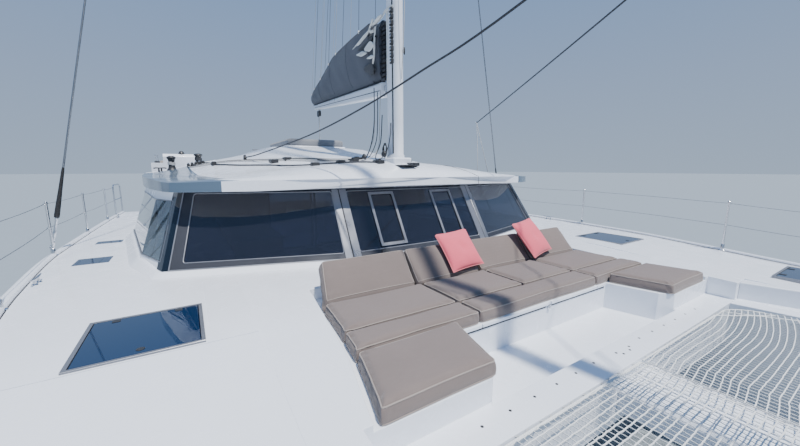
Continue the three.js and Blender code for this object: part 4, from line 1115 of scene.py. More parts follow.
@dataclass
class DeckRails(Assembly):
    """The toe rails with stanchions, pulpits and guard wires, and the cleats beside them."""

    stanchions: tuple[float, ...] = (5.15, 3.12, 1.12, -0.79, -2.4, -3.9)
    height: float = 0.62
    inset: float = 0.087
    radius: float = 0.0125

    def build(self) -> None:
        """Builds both sides."""
        for side in Side:
            self.toe_rail(side)
            self.posts(side)
            self.rails(side)
            self.wires(side)
            for k, x in enumerate((5.75, 0.45, -4.35)):
                self.cleat(f"cleat_{k + 1}_{side.label}", x, side)

    def foot(self, x: float, side: Side, up: float = 0.0) -> Vector:
        """A point over the line on which the stanchions stand."""
        out, top = deck_edge(x)
        return Vector((x, side.value * (out - self.inset), top + up))

    def strip(self, name: str, side: Side, inner: float, outer: float, high: float) -> Piece:
        """A moulded strip that runs along the deck edge.

        Args:
            name: The piece's name.
            side: Which hull it is on.
            inner: How far its inner edge lies in from the deck edge.
            outer: How far its outer edge lies in.
            high: How far it stands up.

        Returns:
            The strip.
        """
        rings = []
        for k in range(62):
            x = mix(-5.4, 6.86, k / 61)
            out, top = deck_edge(x)
            lean = 0.15 * (inner - outer)
            section = [(inner, 0.0003), (inner - lean * 0.4, high * 0.7), (inner - lean * 1.4, high),
                       (outer + lean * 1.4, high), (outer + lean * 0.4, high * 0.7), (outer, 0.0003)]
            rings.append([(x, side.value * (out - into), top + up) for into, up in section])
        return Bench.loft(name, rings, angle=40)

    def toe_rail(self, side: Side) -> None:
        """The white moulded edge with a dark seam along each foot."""
        rail = self.strip(f"toe_rail_moulding_{side.label}", side, 0.112, 0.062, 0.026)
        self.yard.fit(rail, WHITE, replaces=[f"toe_rail_{side.label}"], slot="gelcoat")
        for name, inner in (("inner", 0.121), ("outer", 0.061)):
            seam = self.strip(f"toe_rail_seam_{name}_{side.label}", side, inner, inner - 0.008, 0.0025)
            self.yard.fit(seam, RUBBER)

    def posts(self, side: Side) -> None:
        """The stanchions, each in a socket on a bolted foot."""
        for k, x in enumerate(self.stanchions):
            base = self.foot(x, side, 0.0)
            post = Bench.turned(f"stanchion_{k + 1}_{side.label}", base, (0, 0, 1), [
                (0.0, 0.001), (0.0, 0.038), (0.006, 0.040), (0.010, 0.036), (0.012, 0.021), (0.075, 0.019),
                (0.080, 0.0165), (0.082, self.radius), (self.height - 0.03, self.radius),
                (self.height - 0.022, 0.0145), (self.height - 0.006, 0.0145), (self.height, 0.009),
                (self.height, 0.001)], 18)
            eyes = [Bench.tube("eye", [p + base + Vector((0, 0, up)) for p in
                                       (Vector((0.012 * math.cos(a),
                                                side.value * (0.012 + 0.012 * math.sin(a)), 0))
                                        for a in np.linspace(0, 2 * math.pi, 13)[:-1])], 0.003, 1, True)
                    for up in (self.height - 0.028, self.height * 0.52)]
            self.yard.fit(Bench.joined(post.name, [post, *eyes]), STEEL)

    def rails(self, side: Side) -> None:
        """The pulpit and the pushpit, bent from tube."""
        for name, x in (("pulpit", (6.0, 6.84)), ("pushpit", (-5.35, -4.7))):
            low, high = 0.012, 0.64
            aft, fore = x
            knee = 0.09
            path = [self.foot(aft, side, low), self.foot(aft, side, high - knee),
                    self.foot(aft + 0.3 * knee, side, high - 0.3 * knee), self.foot(aft + knee, side, high),
                    self.foot(mix(aft, fore, 0.5), side, high), self.foot(fore - knee, side, high),
                    self.foot(fore - 0.3 * knee, side, high - 0.3 * knee), self.foot(fore, side, high - knee),
                    self.foot(fore, side, low)]
            hoop = Bench.tube(f"{name}_hoop_{side.label}", curve_through(path, 4), 0.014, 3)
            rung = Bench.tube("rung", [self.foot(mix(aft, fore, t), side, 0.33) for t in (0, 0.25, 0.5, 0.75,
                                                                                          1)],
                              0.0115, 3)
            feet = [Bench.turned("foot", self.foot(end, side, 0.0), (0, 0, 1),
                                 [(0, 0.001), (0, 0.036), (0.007, 0.038), (0.011, 0.03), (0.013, 0.017),
                                  (0.06, 0.015)],
                                 16) for end in x]
            self.yard.fit(Bench.joined(hoop.name, [hoop, rung, *feet]), STEEL)

    def wires(self, side: Side) -> None:
        """Two guard wires from pushpit to pulpit, sagging a little between stanchions."""
        stops = [6.0, *self.stanchions, -4.7]
        for name, up in (("upper", self.height - 0.028), ("lower", self.height * 0.52)):
            path = []
            for a, b in zip(stops, stops[1:]):
                for k in range(8):
                    t = k / 8
                    place = self.foot(mix(a, b, t), side, up - 0.012 * 4 * t * (1 - t))
                    straight = self.foot(a, side).lerp(self.foot(b, side), t)
                    path.append(Vector((place.x, straight.y + side.value * 0.012, place.z)))
            path.append(self.foot(stops[-1], side, up))
            wire = Bench.tube(f"guard_wire_{name}_{side.label}", path, 0.0032, 1)
            self.yard.fit(wire, WIRE)

    def cleat(self, name: str, x: float, side: Side) -> None:
        """A horned mooring cleat on two feet, inboard of the toe rail."""
        base = self.foot(x, side) + Vector((0, -side.value * 0.085, 0.0))
        horn = []
        for k in range(13):
            t = k / 12 * 2 - 1
            reach = 0.125 * t
            horn.append([base + Vector((reach, 0, 0.045 + 0.012 * t * t)) + p for p in
                         round_ring((0, 0, 0), (1, 0, 0), 0.011 * (1 - 0.6 * abs(t) ** 3), 10)])
        bar = Bench.loft("horn", horn, angle=60)
        feet = [Bench.turned("foot", base + Vector((t, 0, 0)), (0, 0, 1),
                             [(0, 0.001), (0, 0.024), (0.006, 0.022), (0.012, 0.012), (0.04, 0.010),
                              (0.04, 0.001)], 14)
                for t in (-0.045, 0.045)]
        self.yard.fit(Bench.joined(name, [bar, *feet]), STEEL)


@dataclass
class Cabin(Assembly):
    """The cabin walls with their glass, frames and doors, and what stands inside."""

    # Port half: x and y of each corner's foot, then of its head.
    corners: tuple[Point, ...] = (
        (1.325, 0.972, 0.855, 0.958), (0.80, 2.677, 0.371, 2.481), (0.20, 2.90, -0.079, 2.678),
        (-1.63, 3.15, -1.779, 2.91), (-3.14, 3.09, -3.14, 2.856))
    foot_z: float = 1.8503
    head_z: float = 2.6117
    bead: float = 0.006

    def __post_init__(self) -> None:
        """Lays the line of corners from the starboard quarter round the front to the port quarter."""
        port = [((fx, fy, self.foot_z), (hx, hy, self.head_z)) for fx, fy, hx, hy in self.corners]
        starboard = [tuple((x, -y, z) for x, y, z in corner) for corner in reversed(port)]
        self.line = starboard + port

    def build(self) -> None:
        """Builds the walls, the front, the sides, the aft end and the inside."""
        self.walls()
        self.boot()
        self.front()
        for side in Side:
            self.side_window(side)
        self.aft_end()
        self.inside()

    def normal(self, leg: int) -> Vector:
        """The level normal of a leg, pointing out of the cabin."""
        a, b = Vector(self.line[leg][0]), Vector(self.line[leg + 1][0])
        return Vector((b.y - a.y, a.x - b.x, 0)).normalized()

    def wall(self, t: float, f: float, out: float = 0.0) -> Vector:
        """A point of the wall: t legs along it, a part f of the way up it and proud of it by out."""
        leg = min(int(t), len(self.line) - 2)
        (fa, ha), (fb, hb) = self.line[leg], self.line[leg + 1]
        u = t - leg
        foot, head = Vector(fa).lerp(Vector(fb), u), Vector(ha).lerp(Vector(hb), u)
        normal = self.normal(leg)
        corner = round(t)
        if abs(t - corner) < 1e-3 and 0 < corner < len(self.line) - 1:
            half = (self.normal(corner - 1) + self.normal(corner)).normalized()
            normal = half / half.dot(self.normal(corner))
        return foot.lerp(head, f) + normal * out

    def ribbon(self, name: str, t: Point, f: Point, out: Point, bevel: float = 0.002) -> Piece:
        """A flat strip that lies on the wall.

        Args:
            name: The piece's name.
            t: Where along the wall it starts and ends.
            f: Its lower and upper edge, as parts of the wall's height.
            out: How proud its back and its face stand.
            bevel: The radius of its edges.

        Returns:
            The strip.
        """
        stops = [t[0], *(k for k in range(math.ceil(t[0] + 1e-6), math.ceil(t[1] - 1e-6))), t[1]]
        rings = [[self.wall(k, f[0], out[0]), self.wall(k, f[0], out[1]), self.wall(k, f[1], out[1]),
                  self.wall(k, f[1], out[0])] for k in stops]
        piece = Bench.loft(name, rings)
        return Bench.bevelled(piece, bevel, 1) if bevel else piece

    def hoop(self, name: str, t: Point, f: Point, out: float, radius: float) -> Piece:
        """A bead that runs round a pane, its corners turned on a small radius."""
        ease_t, ease_f = 0.012, 0.03
        stops = [k for k in range(math.ceil(t[0] + 0.05), math.ceil(t[1] - 0.05))]
        low = [(t[0] + ease_t, f[0]), *((k, f[0]) for k in stops), (t[1] - ease_t, f[0])]
        high = [(k, f[1]) for k, _ in reversed(low)]
        path = [*low, (t[1] - 0.3 * ease_t, f[0] + 0.3 * ease_f), (t[1], f[0] + ease_f),
                (t[1], f[1] - ease_f),
                (t[1] - 0.3 * ease_t, f[1] - 0.3 * ease_f), *high, (t[0] + 0.3 * ease_t, f[1] - 0.3 * ease_f),
                (t[0], f[1] - ease_f), (t[0], f[0] + ease_f), (t[0] + 0.3 * ease_t, f[0] + 0.3 * ease_f)]
        return Bench.tube(name, [self.wall(a, b, out) for a, b in path], radius, 2, True)

    def walls(self) -> None:
        """The moulded walls, their edges softened."""
        nodes = self.yard.nodes
        frame = Bench.softened(nodes, "windscreen_frame", "windscreen_surround", 0.004)
        self.yard.fit(frame, SCREEN_FRAME, replaces=["windscreen_frame"])
        for side in Side:
            wall = Bench.softened(nodes, f"cabin_side_{side.label}", f"cabin_wall_{side.label}", 0.006)
            self.yard.fit(wall, WHITE, replaces=[f"cabin_side_{side.label}"])
        for name in ("windscreen_port", "windscreen_centre", "windscreen_starboard"):
            self.yard.dress(name, PANE)
        for name in ("side_glass_port", "side_glass_starboard", "aft_glass"):
            self.yard.dress(name, CLEAR_PANE)

    def boot(self) -> None:
        """The raised white moulding that the walls stand in, swept from quarter to quarter."""
        rings = []
        for k in range(91):
            t = 0.02 + (8.96 * k / 90)
            near = round(t)
            t = near if abs(t - near) < 0.051 and 0 < near < 9 else t
            front = max(0.0, 1.0 - max(0.0, abs(t - 4.5) - 1.6) * 1.6)
            high = mix(0.090, 0.052, front)
            section = [(-0.004, 0.0), (0.075, 0.0), (0.062, high * 0.22), (0.044, high * 0.55),
                       (0.030, high * 0.85),
                       (0.020, high), (-0.004, high)]
            rings.append([self.wall(t, f, out) for out, f in section])
        unique = [ring for k, ring in enumerate(rings) if not k or (ring[0] - rings[k - 1][0]).length > 1e-4]
        self.yard.fit(Bench.loft("cabin_boot", unique, angle=50), WHITE, slot="gelcoat")

    def front(self) -> None:
        """The windscreen's pillars, beads, corner glass and its two opening windows."""
        for name, t in (("starboard", (3.09, 3.95)), ("centre", (4.045, 4.955)), ("port", (5.05, 5.91))):
            self.yard.fit(self.hoop(f"windscreen_bead_{name}", t, (0.13, 0.955), 0.001, self.bead),
                          BRIGHT_FRAME)
        for k, (a, b) in enumerate(((3.953, 3.997), (4.003, 4.047), (4.953, 4.997), (5.003, 5.047))):
            bar = self.ribbon(f"windscreen_pillar_{k + 1}", (a, b), (0.06, 0.985), (-0.002, 0.009))
            self.yard.fit(bar, BRIGHT_FRAME)
        for k, t in enumerate((4.0, 5.0)):
            seam = self.ribbon(f"windscreen_seam_{k + 1}", (t - 0.0031, t + 0.0031), (0.055, 0.985),
                               (-0.002, 0.004), 0)
            self.yard.fit(seam, RUBBER)
        for name, (a, b), line in (("starboard", (2.80, 3.028), 3.030), ("port", (5.972, 6.20), 5.970)):
            self.yard.fit(self.ribbon(f"corner_glass_{name}", (a, b), (0.055, 0.985), (0.0005, 0.006)),
                          CORNER_PANE)
            edge = self.ribbon(f"corner_bead_{name}", (line - 0.003, line + 0.003), (0.055, 0.985),
                               (0.0, 0.009), 0.001)
            self.yard.fit(edge, BRIGHT_FRAME)
        sill = self.ribbon("windscreen_sill", (3.032, 5.968), (0.054, 0.066), (0.0, 0.012))
        self.yard.fit(sill, BRIGHT_FRAME)
        for name, t in (("starboard", (4.185, 4.365)), ("port", (4.655, 4.835))):
            self.opening_window(name, t)

    def opening_window(self, name: str, t: Point) -> None:
        """An opening window of the centre pane: its sash, seal and latch."""
        bar_t, bar_f = 0.016, 0.038
        low, high = 0.165, 0.93
        bars = [self.ribbon("bar", (t[0], t[0] + bar_t), (low, high), (0.0, 0.014)),
                self.ribbon("bar", (t[1] - bar_t, t[1]), (low, high), (0.0, 0.014)),
                self.ribbon("bar", t, (low, low + bar_f), (0.0, 0.013)),
                self.ribbon("bar", t, (high - bar_f, high), (0.0, 0.013))]
        self.yard.fit(Bench.joined(f"window_sash_{name}", bars), BRIGHT_FRAME)
        inner = (t[0] + bar_t, t[1] - bar_t), (low + bar_f, high - bar_f)
        self.yard.fit(self.hoop(f"window_seal_{name}", *inner, 0.002, 0.0045), RUBBER)
        latch_t = mix(*t, 0.08)
        latch = self.ribbon(f"window_latch_{name}", (latch_t - 0.022, latch_t + 0.022), (0.075, 0.118),
                            (0.0, 0.02), 0.004)
        self.yard.fit(latch, PLASTIC)

    def side_window(self, side: Side) -> None:
        """The trim round a side window and the posts behind it."""
        a, b = (6.12, 8.8) if side is Side.PORT else (0.2, 2.88)
        self.yard.fit(self.hoop(f"side_bead_{side.label}", (a, b), (0.14, 0.86), 0.001, self.bead),
                      BRIGHT_FRAME)
        stops = (6.62, 7.35, 8.1) if side is Side.PORT else (2.38, 1.65, 0.9)
        for k, t in enumerate(stops):
            post = self.ribbon(f"side_post_{k + 1}_{side.label}", (t - 0.012, t + 0.012), (0.13, 0.87),
                               (-0.04, -0.02))
            self.yard.fit(post, SCREEN_FRAME)

    def aft_end(self) -> None:
        """The aft bulkhead with the sliding door, its frame, pane and handle, and the fixed light's frame."""
        nodes = self.yard.nodes
        self.yard.fit(Bench.softened(nodes, "aft_bulkhead", "aft_bulkhead_moulding", 0.005, 1), WHITE,
                      replaces=["aft_bulkhead"])
        low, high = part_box("saloon_door")
        stile = 0.055
        x = (low.x + 0.002, high.x - 0.002)
        bars = [Bench.block("bar", x, (low.y, low.y + stile), (low.z, high.z), 0.004),
                Bench.block("bar", x, (high.y - stile, high.y), (low.z, high.z), 0.004),
                Bench.block("bar", x, (low.y + stile, high.y - stile), (low.z, low.z + stile), 0.004),
                Bench.block("bar", x, (low.y + stile, high.y - stile), (high.z - stile, high.z), 0.004)]
        self.yard.fit(Bench.joined("door_frame", bars), BRIGHT_FRAME, "saloon_door", replaces=["saloon_door"])
        pane = Bench.block("door_pane", (mix(*x, 0.35), mix(*x, 0.65)),
                           (low.y + stile - 0.004, high.y - stile + 0.004),
                           (low.z + stile - 0.004, high.z - stile + 0.004), 0.001, 1)
        self.yard.fit(pane, CLEAR_PANE, "saloon_door")
        grip = Bench.tube("door_grip", curve_through([
            (low.x + 0.003, low.y + 0.028, 1.86), (low.x - 0.022, low.y + 0.028, 1.88),
            (low.x - 0.028, low.y + 0.028, 1.98),
            (low.x - 0.028, low.y + 0.028, 2.06), (low.x - 0.022, low.y + 0.028, 2.16),
            (low.x + 0.003, low.y + 0.028, 2.18)], 4), 0.009, 2)
        self.yard.fit(grip, STEEL, "saloon_door")
        fixed = [((0.03, 0.075), (1.055, 2.875)), ((0.905, 0.95), (1.055, 2.875)),
                 ((0.075, 0.905), (1.055, 1.10)), ((0.075, 0.905), (2.83, 2.875))]
        frame = [Bench.block("bar", (-3.186, -3.1602), y, z, 0.003) for y, z in fixed]
        self.yard.fit(Bench.joined("fixed_light_frame", frame), BRIGHT_FRAME)

    def inside(self) -> None:
        """The galley units that show through the glass."""
        nodes = self.yard.nodes
        self.yard.fit(Bench.softened(nodes, "galley", "galley_units", 0.008), TABLE_WOOD, replaces=["galley"])
        tops = [Bench.block("top", (-2.72, -0.18), (-1.99, -1.33), (1.9003, 1.93), 0.006),
                Bench.block("top", (-0.1798, 0.52), (-1.99, -0.88), (1.7003, 1.73), 0.006)]
        self.yard.fit(Bench.joined("galley_worktops", tops), WORKTOP)


@dataclass
class Cushion:
    """A foam cushion in a piped cloth cover, over four corners."""

    name: str
    corners: Sequence[tuple[float, float]]
    low: float
    high: float
    crown: float = 0.012
    tuck: float = 0.006
    ease: float = 0.024
    cells: int = 18

    def mesh(self) -> Piece:
        """The cushion's closed form: a crowned top, rounded edges and sides that pull in between corners."""
        corners = [Vector((*c, 0)) for c in self.corners]
        n = self.cells
        thick = self.high - self.low
        turns = [(0.0, 0.05), (0.15, 0.012), (0.5, -0.1), (0.85, 0.0), (1.0, 0.22)]

        def plan(u: float, v: float, inset: float) -> Vector:
            """A point of the plan, pulled towards the middle."""
            a, b, c, d = corners
            place = a.lerp(b, u).lerp(d.lerp(c, u), v)
            middle = (a + b + c + d) / 4
            reach = (place - middle)
            return place - reach.normalized() * inset if reach.length > 1e-6 else place

        def border() -> list[tuple[float, float]]:
            """The edge of the plan, walked once round."""
            steps = [k / n for k in range(n)]
            return [*((t, 0.0) for t in steps), *((1.0, t) for t in steps), *((1 - t, 1.0) for t in steps),
                    *((0.0, 1 - t) for t in steps)]

        edge = border()

        def pulled(u: float, v: float) -> float:
            """How far the side draws in at a place on the border."""
            along = u if v in (0.0, 1.0) else v
            corner = min(along, 1 - along) * 2
            round_in = self.ease * 0.45 * max(0.0, 1 - corner * 7) ** 2
            return self.tuck * min(1.0, corner * 3) + round_in

        rings = []
        for share, inset in turns:
            rings.append([plan(u, v, pulled(u, v) + inset * self.ease) + Vector((0, 0, self.low + share * (
                thick - self.crown * 0.6))) for u, v in edge])
        top = self.high - self.crown * 0.6
        for k in range(1, 9):
            t = k / 9
            inset_share = t
            ring = []
            for u, v in edge:
                uu, vv = mix(u, 0.5, inset_share), mix(v, 0.5, inset_share)
                place = plan(uu, vv, (pulled(u, v) + 0.22 * self.ease) * (1 - t))
                near = min(uu, 1 - uu, vv, 1 - vv) * 2
                rise = self.crown * 0.6 * min(1.0, near * 2.2) ** 0.7
                ring.append(place + Vector((0, 0, top + rise)))
            rings.append(ring)
        return Bench.loft(self.name, rings, angle=80)


@dataclass
class Lounge(Assembly):
    """The forward lounge: its moulding, cushions, backrests and the two loose pillows."""

    seam: float = 0.004
    sides: Fairing = field(default_factory=lambda: Fairing([
        (1.85, 1.600, 1.625), (2.17, 1.618, 1.655), (2.665, 1.662, 1.703), (2.90, 1.690, 1.730),
        (3.39, 1.803, 1.832)]))
    backs: tuple[tuple[float, float], ...] = ((-1.622, -1.556), (-0.77, -0.77), (0.0, 0.0), (0.77, 0.77),
                                              (1.622, 1.556))
    swell: float = 4.0
    cap: float = 0.010

    def build(self) -> None:
        """Builds the moulding, then every cushion and pillow."""
        self.moulding()
        self.seats()
        self.backrests()
        self.pillows()

    def moulding(self) -> None:
        """The bridgedeck with its recess, footwell and coamings, its edges rounded as moulded."""

        def stays(middle: Vector) -> bool:
            """Whether an edge stays crisp: where the deck meets the hulls, and in the saloon."""
            return abs(middle.y) > 2.06 or middle.x < 0.9

        deck = Bench.softened(self.yard.nodes, "bridgedeck", "bridgedeck_moulding", 0.022, 4, stays)
        self.yard.fit(deck, WHITE, replaces=["bridgedeck"])

    def spans(self) -> list[tuple[str, tuple[float, float], tuple[float, float]]]:
        """The seat cushions: name, place along the boat and place across it."""
        half = self.seam / 2
        rear, strip, far = (2.17, 2.665 - half), (2.665 + half, 2.90 - half), 2.5
        rows = [(f"seat_cushion_{k + 1}", rear, pair) for k, pair in
                enumerate(((-far, -0.725), (-0.725, 0.04), (0.04, 0.77), (0.77, far)))]
        rows += [(f"seat_strip_{k + 1}", strip, pair) for k, pair in
                 enumerate(((-far, -0.725), (-0.725, 0.77), (0.77, far)))]
        return rows

    def seats(self) -> None:
        """The flat cushions of the seat and the two ottomans, with piped upper edges."""
        half = self.seam / 2
        made = []
        for name, x, y in self.spans():
            corners = []
            for i, j in ((0, 0), (1, 0), (1, 1), (0, 1)):
                side = float(self.sides.at(x[i])[0])
                corners.append((x[i], max(-side, min(side, y[j] + (-half if j else half)))))
            made.append((name, corners))
        for side in Side:
            aft, fore = 2.90 + half, 3.385
            plan = [(aft, 0.955), (fore, 1.085), (fore, float(self.sides.at(fore)[0])),
                    (aft, float(self.sides.at(aft)[0]))]
            corners = [(x, side.value * y) for x, y in plan]
            made.append((f"ottoman_{side.label}", corners))
        for name, corners in made:
            cushion = Cushion(f"{name}_cover", corners, SEAT_Z, CUSHION_TOP).mesh()
            cushion = self.filled(cushion, pinned=lambda p: p.z < SEAT_Z + 0.02)
            self.yard.fit(cushion, TAUPE, replaces=[name])
            self.piping(f"{name}_piping", corners, cushion)

    def piping(self, name: str, corners: Sequence[tuple[float, float]], cushion: Piece) -> None:
        """The piped seams round the top and the foot of a cushion, laid on its cloth."""
        middle = sum((Vector((*c, 0)) for c in corners), Vector()) / 4
        loops = []
        for up, into in ((CUSHION_TOP - 0.007, 0.0075), (SEAT_Z + 0.006, 0.006)):
            path = []
            for a, b in zip(corners, [*corners[1:], corners[0]]):
                a, b = Vector((*a, up)), Vector((*b, up))
                for t in (0.04, 0.12, 0.3, 0.5, 0.7, 0.88, 0.96):
                    place = a.lerp(b, t)
                    pull = (Vector((middle.x, middle.y, up)) - place).normalized()
                    path.append(place + pull * (into + 0.004 * math.sin(math.pi * t)))
            laid = Bench.resting(cushion, curve_through([*path, path[0]], 2)[:-1])
            loops.append(Bench.tube("loop", laid, 0.0042, 1, True))
        self.yard.fit(Bench.joined(name, loops), PIPING_HIGHLIGHT)

    def filled(self, piece: Piece, pinned: Callable[[Vector], bool], voxel: float = 0.016,
               levels: int = 1) -> Piece:
        """Swells a cover over its filling by cloth simulation, and keeps the result in its mesh.

        Args:
            piece: The cover.
            pinned: Tells which points lie on something and stay.
            voxel: The size of the remeshed cloth's cells.
            levels: How often the filled cover is subdivided.

        Returns:
            The filled cushion.
        """
        Bench.apply(piece, "REMESH", mode="VOXEL", voxel_size=voxel)
        group = piece.vertex_groups.new(name="held")
        group.add([v.index for v in piece.data.vertices if pinned(v.co)], 1.0, "REPLACE")
        rest = np.empty(len(piece.data.vertices) * 3, np.float32)
        piece.data.vertices.foreach_get("co", rest)
        cloth = piece.modifiers.new("Cloth", "CLOTH")
        cloth.settings.use_pressure = True
        cloth.settings.uniform_pressure_force = self.swell
        cloth.settings.effector_weights.gravity = 0.0
        cloth.settings.vertex_group_mass = "held"
        for frame in range(1, 21):
            bpy.context.scene.frame_set(frame)
        Bench.pick(piece)
        bpy.ops.object.modifier_apply(modifier=cloth.name)
        moved = np.empty_like(rest)
        piece.data.vertices.foreach_get("co", moved)
        shift = (moved - rest).reshape(-1, 3)
        length = np.linalg.norm(shift, axis=1, keepdims=True)
        shift *= np.minimum(1.0, self.cap / np.maximum(length, 1e-9))
        piece.data.vertices.foreach_set("co", (rest.reshape(-1, 3) + shift).ravel())
        bpy.context.scene.frame_set(1)
        piece.vertex_groups.clear()
        if levels:
            Bench.apply(piece, "SUBSURF", levels=levels, render_levels=levels)
        return Bench.settle(piece, 80)

    def backrests(self) -> None:
        """The four leaning backrests over their moulded back, each with piping round its face."""
        section = [Vector((x, 0, z)) for x,
                   z in ((2.1097, 1.7503), (2.1697, 1.7503), (2.1697, 1.8453), (1.950, 2.115),
                                                  (1.872, 2.052), (2.0947, 1.7773))]
        half = self.seam / 2
        for k, (start, stop) in enumerate(zip(self.backs, self.backs[1:])):
            low = (start[0] + half, start[1] + half)
            high = (stop[0] - half, stop[1] - half)
            rings = []
            for t, inset in ((0, 0.026), (0.006, 0.012), (0.02, 0.003), (0.06, 0), (0.2, -0.001), (0.35, 0),
                             (0.5, 0.001),
                             (0.65, 0), (0.8, -0.001), (0.94, 0), (0.98, 0.003), (0.994, 0.012), (1, 0.026)):
                ring = []
                for p in self.rounded(section, 0.020, max(0.0, inset)):
                    rise = (p.z - 1.7503) / (2.115 - 1.7503)
                    side = (mix(low[0], low[1], rise), mix(high[0], high[1], rise))
                    ring.append(Vector((p.x, mix(side[0], side[1], t), p.z)))
                rings.append(ring)
            cover = Bench.loft(f"backrest_{k + 1}_cover", rings, angle=80)
            cover = self.filled(cover, pinned=lambda p: p.z < 1.80)
            self.yard.fit(cover, TAUPE, replaces=[f"backrest_{k + 1}"])
            self.back_piping(k, low, high, cover)

    def back_piping(self, k: int, low: Point, high: Point, cover: Piece) -> None:
        """The piping round the sitting face of a backrest, laid on its cloth."""
        foot, head = Vector((2.162, 0, 1.853)), Vector((1.962, 0, 2.0985))
        out = Vector((0.2695, 0, 0.2197)).normalized() * 0.002

        def on_face(across: float, up: float) -> Vector:
            """A point of the sitting face."""
            place = foot.lerp(head, up) + out
            rise = (place.z - 1.7503) / (2.115 - 1.7503)
            place.y = mix(mix(low[0], low[1], rise) + 0.010, mix(high[0], high[1], rise) - 0.010, across)
            return place

        walk = [(0.02, 0), (0.3, 0.01), (0.7, 0.01), (0.98, 0), (1, 0.03), (1, 0.5), (1, 0.95), (0.98, 1),
                (0.7, 0.99),
                (0.3, 0.99), (0.02, 1), (0, 0.95), (0, 0.5), (0, 0.03)]
        path = Bench.resting(cover, curve_through([on_face(a, b) for a, b in [*walk, walk[0]]], 3)[:-1])
        self.yard.fit(Bench.tube(f"backrest_{k + 1}_piping", path, 0.0042, 1, True), PIPING_HIGHLIGHT)

    def rounded(self, outline: Sequence[Vector], radius: float, inset: float) -> list[Vector]:
        """An outline in the XZ plane with every corner on an arc, drawn in by an inset."""
        middle = sum(outline, Vector()) / len(outline)
        points = []
        count = len(outline)
        for k in range(count):
            before, here, after = outline[k - 1], outline[k], outline[(k + 1) % count]
            reach = min(radius, (before - here).length * 0.4, (after - here).length * 0.4)
            start, stop = (here + (before - here).normalized() * reach,
                           here + (after - here).normalized() * reach)
            for t in (0.0, 0.25, 0.5, 0.75, 1.0):
                points.append(start.lerp(here, t).lerp(here.lerp(stop, t), t))
            long = (after - here).length
            if long > 0.12:
                end = here + (after - here).normalized() * (long - reach)
                points += [stop.lerp(end, t) for t in (0.2, 0.4, 0.6, 0.8)]
        return [p + (middle - p).normalized() * inset for p in points]

    def pillows(self) -> None:
        """Two loose coral pillows with dimpled middles and flanged edges, leaning on the backrests."""
        lean = math.atan2(2.1697 - 1.95, 2.115 - 1.8453)
        specs = ((0.025, 0.42, 4.0, 0.0), (1.125, 0.45, 5.0, 9.0))
        for k, (edge, side, tilt, turn) in enumerate(specs):
            half, angle = side / 2, math.radians(tilt)
            frame = (Matrix.Translation((2.1701, edge, 1.8457)) @ Matrix.Rotation(math.radians(turn), 4, "Z")
                     @ Matrix.Rotation(-lean, 4, "Y")
                     @ Matrix.Translation((0, -half * (math.cos(angle) + 0.8 * math.sin(angle)),
                                           half * (math.cos(angle) + 0.9 * math.sin(angle))))
                     @ Matrix.Rotation(angle, 4, "X"))
            pillow = self.pillow(f"pillow_{k + 1}_cover", half, 0.108, frame, seed=k)
            self.yard.fit(pillow, CORAL, replaces=[f"pillow_{k + 1}"])

    def pillow(self, name: str, half: float, thick: float, frame: Matrix, seed: int) -> Piece:
        """A square stuffed pillow with a flat piped edge.

        Args:
            name: The piece's name.
            half: Half its side.
            thick: Its greatest thickness.
            frame: Where its flat back lies: X out of the backrest, Y across, Z up.
            seed: Sets its folds apart from the other one's.

        Returns:
            The pillow.
        """
        n = 34
        rng = random.Random(11 + seed)
        folds = [(rng.uniform(0, 2 * math.pi), rng.uniform(3, 7), rng.uniform(0, 6)) for _ in range(5)]
        verts, faces = [], []
        for face in (1, -1):
            for i in range(n + 1):
                for j in range(n + 1):
                    u, v = 2 * i / n - 1, 2 * j / n - 1
                    pinch = 1 - 0.055 * (1 - u * u) ** 1.0 * abs(v) ** 6
                    pinch_u = 1 - 0.055 * (1 - v * v) ** 1.0 * abs(u) ** 6
                    belly = max(0.0, (1 - abs(u) ** 2.6) * (1 - abs(v) ** 2.6)) ** 0.62
                    dimple = 0.16 * math.exp(-((u - 0.06) ** 2 + (v + 0.05) ** 2) / 0.07)
                    crease = sum(math.sin(f * (math.cos(a) * u + math.sin(a) * v) * 2 + c) for a, f,
                                 c in folds) * 0.012
                    depth = belly * (1 - dimple + crease) * 0.5 + 0.035
                    x = thick * (0.5 + face * depth * 0.98) if face > 0 else thick * max(0.0, 0.5 - depth)
                    verts.append(frame @ Vector((x, half * 0.96 * u * pinch_u, half * 0.96 * v * pinch)))
        size = (n + 1) ** 2
        for i in range(n):
            for j in range(n):
                a = i * (n + 1) + j
                quad = (a, a + n + 1, a + n + 2, a + 1)
                faces.append(quad)
                faces.append(tuple(size + q for q in reversed(quad)))
        rim = ([j for j in range(n)] + [i * (n + 1) + n for i in range(n)]
               + [n * (n + 1) + n - j for j in range(n)] + [(n - i) * (n + 1) for i in range(n)])
        for a, b in zip(rim, [*rim[1:], rim[0]]):
            faces.append((a, b, size + b, size + a))
        cover = Bench.from_arrays(name, np.array([tuple(v) for v in verts]), np.array(faces))
        Bench.apply(cover, "SUBSURF", levels=1, render_levels=1)
        path = [(verts[a] + verts[size + a]) / 2 for a in rim[::3]]
        middle = sum(path, Vector()) / len(path)
        path = [p + (p - middle).normalized() * 0.002 for p in path]
        self.yard.fit(Bench.tube(f"{name}_piping", path, 0.0045, 1, True), CORAL_EDGE)
        return Bench.settle(cover, 80)


